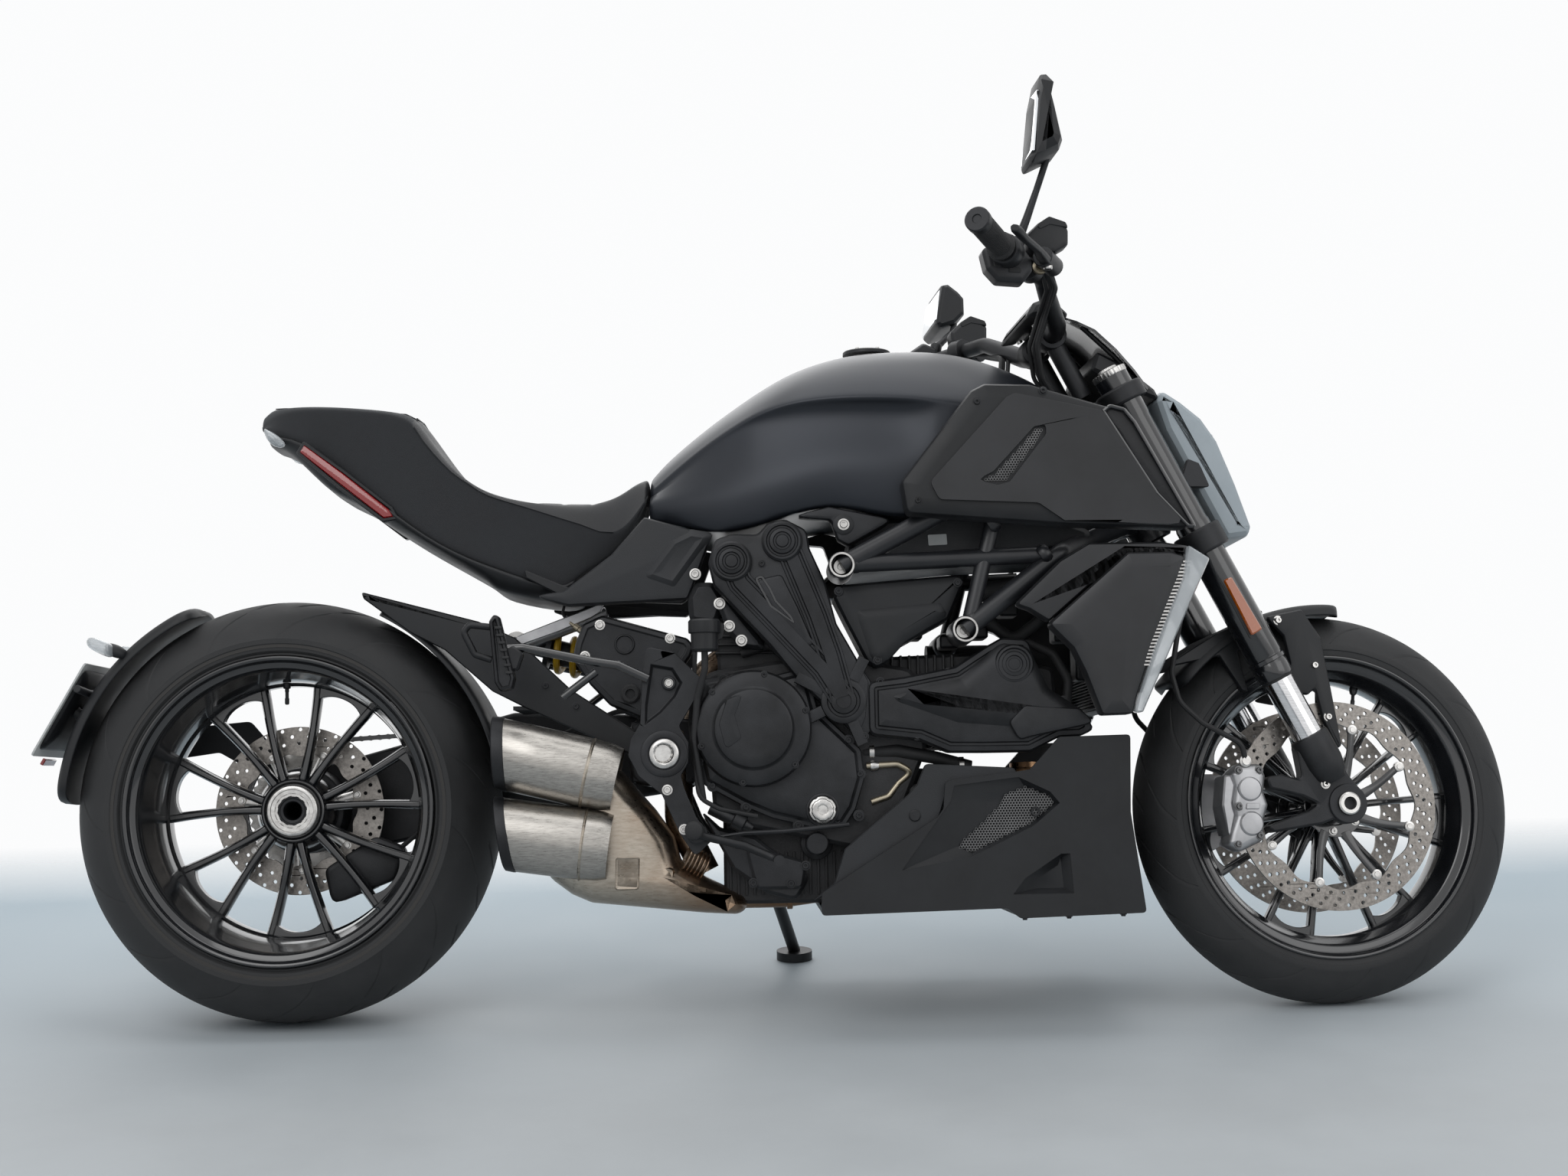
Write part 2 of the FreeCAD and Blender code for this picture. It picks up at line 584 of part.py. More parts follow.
def belt_loop(rear, rear_radius, front, front_radius):
    """The outline of a loop drawn tight round two wheels, as two tangent lines and two arcs."""
    run = front - rear
    heading = math.atan2(run.y, run.x)
    spread = math.acos((rear_radius - front_radius) / run.Length)

    def rim(centre, radius, angle):
        return centre + Vector(math.cos(angle), math.sin(angle), 0) * radius

    top, bottom = heading + spread, heading - spread
    return [
        Part.LineSegment(rim(rear, rear_radius, top), rim(front, front_radius, top)),
        Part.Arc(rim(front, front_radius, top), rim(front, front_radius, heading), rim(front, front_radius, bottom)),
        Part.LineSegment(rim(front, front_radius, bottom), rim(rear, rear_radius, bottom)),
        Part.Arc(rim(rear, rear_radius, bottom), rim(rear, rear_radius, heading + math.pi),
                 rim(rear, rear_radius, top))]


def drive():
    chain = new_body("drive_chain")
    rear = Vector(0, 324, 0)
    front = Vector(655, 430, 0)
    edges = []
    for grow in (0.8, cell("chain_thick")):
        edges += belt_loop(rear, cell("sprocket_rear") + grow, front, cell("sprocket_front") + grow)
    pad(chain, draw(chain, "XZ_Plane", edges, "-(size.chain_side + size.chain_width)"), "size.chain_width")
    bike_parts.append(chain)
    boss = rod("front_sprocket", Vector(655, 168, 430), Vector(655, 176, 430), "size.sprocket_front")
    shaft = rod("front_sprocket_shaft", Vector(655, 150.2, 430), Vector(655, 180, 430), "14")
    bike_parts.append(joined("drive_sprocket", [boss, shaft]))
    shell = panel("rear_caliper_shell", [
        (52, 176, 12), (150, 214, 12), (168, 262, 12), (120, 282, 12), (40, 232, 12)], "38", "88", "left")
    slot = rod("rear_caliper_slot", Vector(0, 45.5, 324), Vector(0, 63.5, 324), "size.disc_rear + 6")
    stay = rod("rear_caliper_stay", Vector(100, 84, 272), Vector(100, 125.8, 272), "10")
    bike_parts.append(joined("rear_caliper", [cut_from("rear_caliper_body", shell, [slot]), stay]))


def side_stand():
    leg = rod("stand_leg", STAND_PIVOT, from_ground(780, 350, 15), "10")
    eye = rod("stand_eye", STAND_PIVOT - STAND_AXIS * 12.5, STAND_PIVOT + STAND_AXIS * 12.5, "20")
    foot = rod("stand_foot", from_ground(780, 350, 0), from_ground(780, 350, 15), "30")
    bore = rod("stand_bore", STAND_PIVOT - STAND_AXIS * 30, STAND_PIVOT + STAND_AXIS * 30, "8.4")
    bike_parts.append(cut_from("side_stand", joined("stand_solid", [leg, eye, foot]), [bore]))


# Front end, drawn straight ahead


def plane_block(name, height, back, front, side, low, high):
    """A box square to the steering axis, between two distances ahead of it and along it."""
    item = doc.addObject("Part::Box", name)
    item.Length = front - back
    item.Width = side * 2
    item.Height = high - low
    corner = on_axis(height, back, -side) + STEER_UP * low
    item.Placement = Placement(corner, Rotation(LEFT, -cell("rake")))
    return item


def fork():
    spread = cell("fork_spread")
    ahead = cell("fork_offset")
    clamps = []
    for name, height, half in (("lower", 691, 17), ("upper", 918, 12)):
        for side in (-1, 1):
            centre = on_axis(height, ahead, side * spread)
            clamps.append(rod(f"clamp_{name}_{side + 1}", centre - STEER_UP * half, centre + STEER_UP * half, "38"))
        clamps.append(plane_block(f"clamp_{name}_bridge", height, 2, 58, spread, -half, half))
        centre = on_axis(height)
        clamps.append(rod(f"clamp_{name}_boss", centre - STEER_UP * half, centre + STEER_UP * half, "34"))
    stem = rod("steering_stem", on_axis(691), on_axis(918), "18")
    holes = [rod(f"clamp_hole_{side + 1}", on_axis(600, ahead, side * spread), on_axis(1000, ahead, side * spread),
                 "size.fork_tube + 0.1") for side in (-1, 1)]
    fork_parts.append(cut_from("triple_clamps", joined("clamp_solid", clamps + [stem]), holes))
    tube = rod("fork_outer", on_axis(480, ahead, -spread), on_axis(962, ahead, -spread), "size.fork_tube")
    fork_parts.append(both_sides("fork_tubes", tube))
    slider = rod("fork_inner", on_axis(385, ahead, -spread), on_axis(479.8, ahead, -spread), "size.fork_slider")
    lug = panel("fork_lug", [
        (1524, 388, 10), (1582, 406, 14), (1634, 310, 24), (1622, 266, 24), (1576, 268, 24), (1560, 310, 20)],
        "82", "117")
    hole = rod("fork_lug_hole", Vector(1600, -140, 300), Vector(1600, -60, 300), "14.2")
    fork_parts.append(both_sides("fork_sliders", cut_from("fork_slider", joined("fork_foot", [slider, lug]), [hole])))
    fork_parts.append(turned("front_axle", [
        (9, -126), (24, -126), (24, -117.2), (14, -117.2), (14, 117.2), (24, 117.2), (24, 126), (9, 126)],
        FRONT_AXLE))
    shell = panel("caliper_shell", [
        (1424, 240, 12), (1418, 300, 20), (1426, 366, 12), (1476, 374, 12), (1518, 352, 12), (1518, 300, 20),
        (1474, 244, 12)], "61", "126")
    slot = rod("caliper_slot", Vector(1600, -79.5, 300), Vector(1600, -63.5, 300), "size.disc_front + 6")
    fork_parts.append(both_sides("front_calipers", cut_from("front_caliper", shell, [slot])))


def mudguard():
    band = turned("front_band", [
        (316, -66, 4), (306, -74), (303, -73), (311, -64, 4), (311, 64, 4), (303, 73), (306, 74), (316, 66, 4),
        (319, 0, 90)], FRONT_AXLE, 55)
    band.Placement = Placement(FRONT_AXLE, Rotation(LEFT, -141))
    stay = panel("mudguard_stay", [
        (1500, 590, 6), (1560, 600, 6), (1574, 520, 10), (1562, 474, 6), (1530, 478, 6), (1536, 520, 20)],
        "71", "80.8")
    fork_parts.append(joined("front_mudguard", [band, stay, mirrored("mudguard_stay_left", stay)]))


def controls():
    route = [Vector(985, -430, 1100), Vector(1046, -330, 1091), Vector(1138, -190, 1092), Vector(1184, -95, 1042),
             Vector(1184, 95, 1042), Vector(1138, 190, 1092), Vector(1046, 330, 1091), Vector(985, 430, 1100)]
    bar = run_of_rods("bar", route, "size.bar_tube")
    risers = []
    for side in (-1, 1):
        top = Vector(1184, side * 50, 1042)
        risers.append(rod(f"riser_{side + 1}", top - STEER_UP * 112, top, "16"))
    fork_parts.append(joined("handlebar", bar + risers))
    outward = (route[0] - route[1]).normalize()
    grip = rod("grip_solid", route[1] + outward * 8, route[0] + outward * 8, "size.grip_tube")
    core = rod("grip_core", route[1], route[0], "size.bar_tube + 0.1")
    fork_parts.append(both_sides("grips", cut_from("grip", grip, [core])))
    slope = (route[1] - route[2]).normalize()
    clamp_near = route[2] + slope * 58
    ring = rod("control_ring", clamp_near, clamp_near + slope * 26, "23")
    ring_hole = rod("control_hole", route[2], route[1], "size.bar_tube + 0.1")
    pump = rod("control_pump", Vector(1142, -244, 1093), Vector(1112, -294, 1093), "16")
    pot = rod("control_pot", Vector(1136, -262, 1108), Vector(1138, -262, 1158), "22")
    lever = run_of_rods("control_lever", [
        Vector(1118, -284, 1090), Vector(1100, -345, 1084), Vector(1040, -432, 1088)], "6")
    clamp = cut_from("control_clamp", ring, [ring_hole])
    fork_parts.append(both_sides("hand_controls", joined("hand_control", [clamp, pump, pot] + lever)))
    stem = run_of_rods("mirror_stem_right", [
        Vector(1084, -292, 1118), Vector(1104, -306, 1190), Vector(1118, -330, 1262)], "6")
    head = panel("mirror_head_right", [
        (1104, 1350, 5), (1114, 1350, 5), (1133, 1250, 8), (1128, 1236, 8), (1084, 1212, 8), (1094, 1308, 20)],
        "292", "378")
    other_stem = run_of_rods("mirror_stem_left", [
        Vector(1084, 292, 1118), Vector(1120, 330, 1160), Vector(1118, 360, 1196)], "6")
    other_head = panel("mirror_head_left", [
        (1096, 1236, 8), (1108, 1236, 8), (1136, 1212, 8), (1136, 1184, 8), (1092, 1158, 8), (1082, 1164, 8)],
        "316", "452", "left")
    fork_parts.append(apart("mirrors", [joined("mirror_right", stem + [head]),
                                        joined("mirror_left", other_stem + [other_head])]))


def nose():
    lamp = panel("headlight", [
        (1349, 950, 10), (1412, 904, 30), (1436, 868, 30), (1486, 730, 12), (1480, 716, 8), (1438, 712, 8),
        (1352, 884, 10), (1340, 930, 10)], "-94", "94")
    fork_parts.append(lamp)
    screen = panel("flyscreen", [
        (1208, 1080, 3), (1258, 1052, 20), (1342, 960, 3), (1336, 954, 3), (1252, 1044, 20), (1206, 1074, 3)],
        "-104", "104")
    fork_parts.append(screen)
    dash = panel("dashboard", [
        (1136, 1062, 3), (1160, 1062, 3), (1176, 1070, 6), (1202, 1058, 3), (1204, 1066, 3), (1192, 1078, 6),
        (1168, 1090, 4)], "-92", "92")
    fork_parts.append(dash)


# Placing and writing


def lean_placement():
    """The lean about the line on the ground under the wheels, then the pitch, lift and shift of origin."""
    lean = Placement(Vector(), Rotation(FORWARD, -cell("lean")))
    pitch = Placement(Vector(), Rotation(LEFT, cell("pitch")))
    shift = Placement(Vector(-cell("origin_forward"), -cell("origin_left"), cell("lift")), Rotation())
    return shift * pitch * lean


def steer_placement():
    return Placement(Vector(), Rotation(STEER_UP, cell("steer")), STEER_FOOT)


def from_ground(forward, left, height):
    """The point of the upright machine that stands over a place on the floor once it leans."""
    place = Vector(forward - cell("origin_forward"), left - cell("origin_left"), height)
    return lean_placement().inverse().multVec(place)


def write_parts():
    doc.recompute()
    parts = bike_parts + fork_parts
    for item in bike_parts:
        item.Placement = lean_placement() * item.Placement
    for item in fork_parts:
        item.Placement = lean_placement() * steer_placement() * item.Placement
    doc.recompute()
    failed = [o.Label for o in doc.Objects if {"Invalid", "Error"} & set(o.State)]
    failed += [o.Label for o in parts if o.Shape.isNull() or not o.Shape.isValid()]
    if failed:
        raise SystemExit(f"failed: {failed}")
    os.makedirs("parts", exist_ok=True)
    low = Vector(1e6, 1e6, 1e6)
    high = Vector(-1e6, -1e6, -1e6)
    for item in parts:
        box = item.Shape.optimalBoundingBox()
        low = Vector(min(low.x, box.XMin), min(low.y, box.YMin), min(low.z, box.ZMin))
        high = Vector(max(high.x, box.XMax), max(high.y, box.YMax), max(high.z, box.ZMax))
        item.Shape.exportStep(f"parts/{item.Label}.step")
    for name in ("rear_tyre", "front_tyre", "side_stand"):
        lowest = next(o for o in parts if o.Label == name).Shape.optimalBoundingBox().ZMin
        print(name, "lowest", round(lowest, 3))
    print("middle", (low + high) * 0.5, "size", high - low, "sub-parts", len(parts))
    for joint, spot, way in joint_axes():
        print(joint, [round(v / 1000, 5) for v in spot], [round(v, 6) for v in way])


def joint_axes():
    lean = lean_placement()
    front = lean * steer_placement()
    turn = lean.Rotation
    return (
        ("rear_wheel_spin", lean.multVec(REAR_AXLE), turn.multVec(LEFT)),
        ("steering", lean.multVec(on_axis(800)), turn.multVec(STEER_UP)),
        ("front_wheel_spin", front.multVec(FRONT_AXLE), front.Rotation.multVec(LEFT)),
        ("side_stand_swing", lean.multVec(STAND_PIVOT), turn.multVec(STAND_AXIS)),
        ("fuel_cap_hinge", lean.multVec(Vector(944, 0, 1030)), turn.multVec(LEFT)),
        ("plate_bolts", lean.multVec(PLATE_FOOT + PLATE_TILT.multVec(Vector(0, 0, 130))),
         turn.multVec(PLATE_TILT.multVec(-FORWARD))))


for make in (rear_wheel, front_wheel, engine, exhaust, cooling, belly_pan, frame, swingarm, footrests, suspension,
             bodywork, wheel_guards, guard_trim, drive, side_stand, fork, mudguard, controls, nose):
    make()
write_parts()
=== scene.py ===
"""The looks of the parked motorcycle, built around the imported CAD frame.

Shapes are drawn in the upright machine's own millimetres (+X forward, +Y to its left, +Z up, with the rear
axle over x = 0). Then they are placed with the pose that the frame's joints give: BIKE for what leans, FORK
for what also steers.
"""
import bmesh
import bpy
import json
import math
from mathutils import Matrix
from mathutils import Vector
from mathutils.geometry import tessellate_polygon


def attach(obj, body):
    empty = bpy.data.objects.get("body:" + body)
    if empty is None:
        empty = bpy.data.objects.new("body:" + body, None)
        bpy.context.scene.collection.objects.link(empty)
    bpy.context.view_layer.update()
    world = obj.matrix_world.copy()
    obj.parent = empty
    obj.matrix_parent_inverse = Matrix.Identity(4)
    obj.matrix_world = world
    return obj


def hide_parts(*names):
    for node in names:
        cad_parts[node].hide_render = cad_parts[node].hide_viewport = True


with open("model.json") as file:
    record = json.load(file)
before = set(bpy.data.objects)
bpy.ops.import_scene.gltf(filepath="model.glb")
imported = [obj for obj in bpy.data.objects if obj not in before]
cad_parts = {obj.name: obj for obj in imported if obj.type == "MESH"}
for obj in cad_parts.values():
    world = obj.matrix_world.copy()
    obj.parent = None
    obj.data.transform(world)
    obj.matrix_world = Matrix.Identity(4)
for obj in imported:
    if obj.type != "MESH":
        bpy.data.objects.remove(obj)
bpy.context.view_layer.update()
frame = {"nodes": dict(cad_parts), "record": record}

# Where the upright machine stands in the row frame

MM = 0.001
RAKE = math.radians(27)
WHEELBASE = 1600
REAR_AXLE = Vector((0, 0, 324))
REAR_SPOT = (REAR_AXLE.x, REAR_AXLE.z)
FRONT_AXLE = Vector((WHEELBASE, 0, 300))
STEER_FOOT = Vector((WHEELBASE + 120, 0, 0))
STEER_UP = Vector((-math.sin(RAKE), 0, math.cos(RAKE)))
STEER_FORWARD = Vector((math.cos(RAKE), 0, math.sin(RAKE)))


def joint(name):
    found = next(j for j in frame["record"]["behaviour"]["joints"] if j["name"] == name)
    return Vector(found["pos_m"]), Vector(found["axis"]).normalized()


def pose(left, up, spot, place):
    """The matrix that takes upright millimetres to the row frame, from two axes and one point."""
    ahead = left.cross(up)
    forward = ahead * math.cos(RAKE) - up * math.sin(RAKE)
    top = ahead * math.sin(RAKE) + up * math.cos(RAKE)
    turn = Matrix((forward, left, top)).transposed()
    return Matrix.Translation(spot - turn @ place * MM) @ turn.to_4x4() @ Matrix.Scale(MM, 4)


rear_spot, rear_left = joint("rear_wheel_spin")
steer_spot, steer_up = joint("steering")
front_spot, front_left = joint("front_wheel_spin")
stand_spot, stand_axis = joint("side_stand_swing")
BIKE = pose(rear_left, steer_up, rear_spot, REAR_AXLE)
FORK = pose(front_left, steer_up, front_spot, FRONT_AXLE)
BODY = {"machine": BIKE, "rear_wheel": BIKE, "stand": BIKE, "cap": BIKE, "front_end": FORK,
        "front_wheel": FORK}

# Materials


def material(name, color, roughness=0.5, metallic=0.0, **extra):
    """A Principled material; extra names its other sockets, which are set on the shader itself."""
    made = bpy.data.materials.new(name)
    made.use_nodes = True
    shader = made.node_tree.nodes["Principled BSDF"]
    shader.inputs["Base Color"].default_value = (*color, 1)
    shader.inputs["Roughness"].default_value = roughness
    shader.inputs["Metallic"].default_value = metallic
    for socket, value in extra.items():
        shader.inputs[socket.replace("_", " ")].default_value = value
    return made


def node(made, kind, **inputs):
    added = made.node_tree.nodes.new(kind)
    for socket, value in inputs.items():
        added.inputs[socket.replace("_", " ")].default_value = value
    return added


def link(made, source, target):
    made.node_tree.links.new(source, target)


def shader_of(made):
    return made.node_tree.nodes["Principled BSDF"]


def place(made, scale=(1, 1, 1)):
    coordinates = made.node_tree.nodes.new("ShaderNodeTexCoord")
    mapping = made.node_tree.nodes.new("ShaderNodeMapping")
    mapping.inputs["Scale"].default_value = scale
    link(made, coordinates.outputs["Object"], mapping.inputs["Vector"])
    return mapping.outputs["Vector"]


def noise(made, scale, detail=4, roughness=0.6, stretch=(1, 1, 1)):
    texture = node(made, "ShaderNodeTexNoise", Scale=scale, Detail=detail, Roughness=roughness)
    link(made, place(made, stretch), texture.inputs["Vector"])
    return texture.outputs["Fac"]


def spread(made, source, low, high, start=0.3, end=0.7):
    """Maps a texture's middle range to a range of values."""
    mapped = made.node_tree.nodes.new("ShaderNodeMapRange")
    mapped.inputs["From Min"].default_value = start
    mapped.inputs["From Max"].default_value = end
    mapped.inputs["To Min"].default_value = low
    mapped.inputs["To Max"].default_value = high
    link(made, source, mapped.inputs["Value"])
    return mapped.outputs["Result"]


def tint(made, source, dark, light, start=0.35, end=0.65):
    ramp = made.node_tree.nodes.new("ShaderNodeValToRGB")
    ramp.color_ramp.elements[0].position = start
    ramp.color_ramp.elements[0].color = (*dark, 1)
    ramp.color_ramp.elements[1].position = end
    ramp.color_ramp.elements[1].color = (*light, 1)
    link(made, source, ramp.inputs["Fac"])
    link(made, ramp.outputs["Color"], shader_of(made).inputs["Base Color"])


def bump(made, source, distance, strength=1.0, below=None):
    added = made.node_tree.nodes.new("ShaderNodeBump")
    added.inputs["Distance"].default_value = distance
    added.inputs["Strength"].default_value = strength
    link(made, source, added.inputs["Height"])
    if below is not None:
        link(made, below, added.inputs["Normal"])
    link(made, added.outputs["Normal"], shader_of(made).inputs["Normal"])
    return added.outputs["Normal"]


def grained(name, dark, light, rough, grain=900, depth=0.00008, metallic=0.0, patch=14, **extra):
    """A finish with fine grain in its bump and slow patches in its colour and roughness."""
    made = material(name, light, sum(rough) / 2, metallic, **extra)
    slow = noise(made, patch, 5)
    tint(made, slow, dark, light)
    link(made, spread(made, slow, *rough), shader_of(made).inputs["Roughness"])
    bump(made, noise(made, grain, 2), depth)
    return made


def brushed(name, dark, light, rough, stretch, **extra):
    made = material(name, light, sum(rough) / 2, 1.0, **extra)
    streaks = noise(made, 60, 6, 0.7, stretch)
    tint(made, streaks, dark, light)
    link(made, spread(made, streaks, *rough), shader_of(made).inputs["Roughness"])
    bump(made, streaks, 0.00004, 0.6)
    return made


def lens(name, color, rough=0.06, alpha=1.0, weight=0.0):
    made = material(name, color, rough, 0.0, Coat_Weight=1.0, Coat_Roughness=0.03, Alpha=alpha,
                    Transmission_Weight=weight, IOR=1.45)
    ribs = noise(made, 260, 1, 0.4, (1, 0.25, 1))
    bump(made, ribs, 0.0003, 0.5)
    return made


SATIN = grained("satin_black_plastic", (0.009, 0.0095, 0.011), (0.016, 0.017, 0.019), (0.42, 0.56),
                Specular_IOR_Level=0.36)
PANEL = grained("textured_black_plastic", (0.016, 0.017, 0.019), (0.028, 0.029, 0.032), (0.5, 0.66), 620,
                0.00022, Specular_IOR_Level=0.4)
GLOSS = grained("gloss_black_paint", (0.006, 0.0065, 0.008), (0.011, 0.012, 0.0145), (0.16, 0.27), 300,
                0.00002, Coat_Weight=0.8, Coat_Roughness=0.08)
PAINT = grained("matt_blue_black_paint", (0.012, 0.0145, 0.02), (0.019, 0.0225, 0.03), (0.33, 0.42), 1500,
                0.00002, 0.45, 4, Coat_Weight=0.1, Coat_Roughness=0.4)
CAST = grained("dark_cast_metal", (0.016, 0.0165, 0.018), (0.032, 0.033, 0.036), (0.38, 0.55), 520, 0.00016,
               0.55)
BLOCK = grained("engine_casting", (0.02, 0.02, 0.021), (0.045, 0.045, 0.047), (0.45, 0.65), 330, 0.0003, 0.5)
TUBE = grained("frame_paint", (0.012, 0.0125, 0.015), (0.02, 0.021, 0.024), (0.3, 0.42), 500, 0.00008, 0.1)
TREAD = grained("tyre_rubber", (0.017, 0.0172, 0.018), (0.03, 0.03, 0.031), (0.6, 0.8), 420, 0.00025)
SIDEWALL = grained("tyre_sidewall", (0.03, 0.028, 0.0265), (0.05, 0.046, 0.043), (0.62, 0.82), 300, 0.0003)
RUBBER = grained("soft_rubber", (0.01, 0.01, 0.011), (0.019, 0.019, 0.02), (0.6, 0.78), 700, 0.0002)
STEEL = brushed("machined_steel", (0.42, 0.41, 0.4), (0.66, 0.65, 0.63), (0.22, 0.38), (1, 6, 1))
DISC = brushed("disc_steel", (0.15, 0.14, 0.13), (0.3, 0.28, 0.26), (0.3, 0.46), (3, 1, 3))
CALIPER = grained("anodised_caliper", (0.32, 0.32, 0.33), (0.48, 0.48, 0.49), (0.32, 0.45), 700, 0.00006, 0.8)
CHROME = brushed("polished_tube", (0.6, 0.6, 0.61), (0.78, 0.78, 0.79), (0.06, 0.14), (1, 1, 8))
STAINLESS = brushed("brushed_stainless", (0.3, 0.285, 0.265), (0.47, 0.45, 0.42), (0.24, 0.38), (1, 9, 9))
SPRING = grained("yellow_spring", (0.62, 0.36, 0.02), (0.78, 0.48, 0.03), (0.28, 0.42), 400, 0.00005)
SUEDE = grained("seat_suede", (0.016, 0.0165, 0.019), (0.03, 0.031, 0.034), (0.82, 0.96), 1300, 0.0003,
                Sheen_Weight=0.25, Sheen_Roughness=0.5)
LEATHER = grained("seat_vinyl", (0.013, 0.0135, 0.015), (0.024, 0.0245, 0.027), (0.5, 0.64), 480, 0.0003)
PLATE = grained("bare_plate", (0.62, 0.62, 0.6), (0.72, 0.72, 0.7), (0.35, 0.5), 200, 0.00005)
CORE = grained("radiator_core", (0.012, 0.012, 0.013), (0.03, 0.03, 0.032), (0.5, 0.7), 200, 0.0004, 0.4)
BRUSHED = grained("brushed_dark_panel", (0.017, 0.0175, 0.019), (0.026, 0.0265, 0.029), (0.36, 0.48), 800,
                  0.00006, 0.35, 9, Coat_Weight=0.15, Coat_Roughness=0.35)
STEEL_DARK = grained("dark_steel_mesh", (0.09, 0.09, 0.092), (0.17, 0.17, 0.172), (0.3, 0.42), 500, 0.00006,
                     0.9)
BRASS = grained("aged_brass", (0.3, 0.26, 0.19), (0.46, 0.41, 0.32), (0.28, 0.45), 300, 0.00006, 0.9)
BORE = grained("sooty_bore", (0.008, 0.008, 0.008), (0.02, 0.019, 0.018), (0.6, 0.8), 300, 0.0002, 0.3)
LAMP_SHELL = grained("lamp_shell_plastic", (0.42, 0.47, 0.5), (0.48, 0.53, 0.56), (0.4, 0.5), 500, 0.00003,
                     0.0)
MIRROR = grained("mirror_glass_silver", (0.8, 0.82, 0.84), (0.86, 0.88, 0.9), (0.03, 0.06), 30, 0.0, 1.0)
CLEAR_LENS = lens("clear_lamp_lens", (0.93, 0.95, 0.97))
RED = lens("red_lens", (0.34, 0.004, 0.006))
CLEAR = lens("clear_lens", (0.75, 0.78, 0.8), 0.1, 0.75, 0.3)
AMBER = lens("amber_reflector", (0.5, 0.1, 0.006))
LAMP = lens("lamp_glass", (0.012, 0.013, 0.016), 0.05)


def heat_tinted():
    """Stainless steel that has gone straw and brown where it is hottest, towards the front."""
    made = brushed("heated_stainless", (0.36, 0.33, 0.28), (0.52, 0.48, 0.42), (0.24, 0.4), (1, 5, 5))
    coordinates = made.node_tree.nodes.new("ShaderNodeTexCoord")
    split = made.node_tree.nodes.new("ShaderNodeSeparateXYZ")
    link(made, coordinates.outputs["Object"], split.inputs["Vector"])
    patches = made.node_tree.nodes.new("ShaderNodeMath")
    patches.operation = "MULTIPLY_ADD"
    link(made, noise(made, 9, 4), patches.inputs[0])
    patches.inputs[1].default_value = 0.34
    link(made, split.outputs["X"], patches.inputs[2])
    heat = spread(made, patches.outputs["Value"], 0, 1, -0.16, 0.16)
    mix = made.node_tree.nodes.new("ShaderNodeMix")
    mix.data_type = "RGBA"
    link(made, heat, mix.inputs["Factor"])
    shader = shader_of(made)
    link(made, shader.inputs["Base Color"].links[0].from_socket, mix.inputs["A"])
    mix.inputs["B"].default_value = (0.25, 0.15, 0.085, 1)
    link(made, mix.outputs["Result"], shader.inputs["Base Color"])
    return made


HEATED = heat_tinted()
SLOT_MATERIAL = {"engine_casting": BLOCK, "dark_casting": CAST, "dark_plastic": SATIN, "frame_paint": TUBE,
                 "body_paint": PAINT, "steel": STEEL, "stainless": STAINLESS, "radiator_core": CORE,
                 "clear_lens": CLEAR, "red_lens": RED, "headlight_lens": LAMP, "spring_paint": SPRING,
                 "seat_cover": SUEDE, "plate": PLATE, "chrome_tube": CHROME, "caliper": CALIPER,
                 "grip_rubber": RUBBER, "tyre": TREAD, "rim_paint": GLOSS, "disc_steel": DISC}
NODE_SLOT = {row["node"]: row["material_slot"] for row in frame["record"]["subparts"]}
SLOT_OF = {made.name: slot for slot, made in SLOT_MATERIAL.items()}
SLOT_OF.update({"textured_black_plastic": "dark_plastic", "tyre_sidewall": "tyre",
                "soft_rubber": "grip_rubber", "seat_vinyl": "seat_cover", "brushed_dark_panel": "body_paint",
                "dark_steel_mesh": "steel", "aged_brass": "steel", "lamp_shell_plastic": "headlight_lens",
                "mirror_glass_silver": "chrome_tube", "clear_lamp_lens": "headlight_lens",
                "sooty_bore": "stainless", "heated_stainless": "stainless", "amber_reflector": "clear_lens"})


# Shapes: each is a list of corners and a list of faces, in the upright machine's millimetres


def turns(count):
    """The angles of so many equal steps once round."""
    return [2 * math.pi * k / count for k in range(count)]


def merged(*shapes):
    corners, faces = [], []
    for more, sides in shapes:
        first = len(corners)
        corners += more
        faces += [[first + i for i in side] for side in sides]
    return corners, faces


def moved(shape, matrix):
    corners, faces = shape
    return [matrix @ Vector(c) for c in corners], faces


def flipped(shape):
    """The same shape on the machine's other side."""
    corners, faces = shape
    return [Vector((c[0], -c[1], c[2])) for c in corners], faces


def both(shape):
    return merged(shape, flipped(shape))


def skin(rows, around=True, caps=True, loop=False):
    """Joins rows of points: around closes each row on itself, loop joins the last row to the first."""
    count = len(rows[0])
    corners = [Vector(p) for row in rows for p in row]
    faces = []
    for r in range(len(rows) if loop else len(rows) - 1):
        after = (r + 1) % len(rows)
        for i in range(count if around else count - 1):
            j = (i + 1) % count
            faces.append([r * count + i, r * count + j, after * count + j, after * count + i])
    if caps and not loop:
        faces.append(list(range(count))[::-1])
        faces.append([(len(rows) - 1) * count + i for i in range(count)])
    return corners, faces


def facing(spot, direction):
    """A place whose own Z points along direction; to the right, its X and Y are the machine's X and Z."""
    return Matrix.Translation(Vector(spot)) @ Vector(direction).to_track_quat("Z", "Y").to_matrix().to_4x4()


RIGHT = (0, -1, 0)
LEFT = (0, 1, 0)


def spin(profile, spot, direction=RIGHT, steps=48, hoop=False, wave=None):
    """Turns a profile of (radius, height) about an axis; wave changes the radius with the angle."""
    place_here = facing(spot, direction)
    rows = []
    for step in range(steps):
        angle = 2 * math.pi * step / steps
        grow = wave(angle) if wave else 1
        rows.append([place_here @ Vector((r * grow * math.cos(angle), r * grow * math.sin(angle), h))
                     for r, h in profile])
    return skin(rows, around=hoop, caps=False, loop=True)


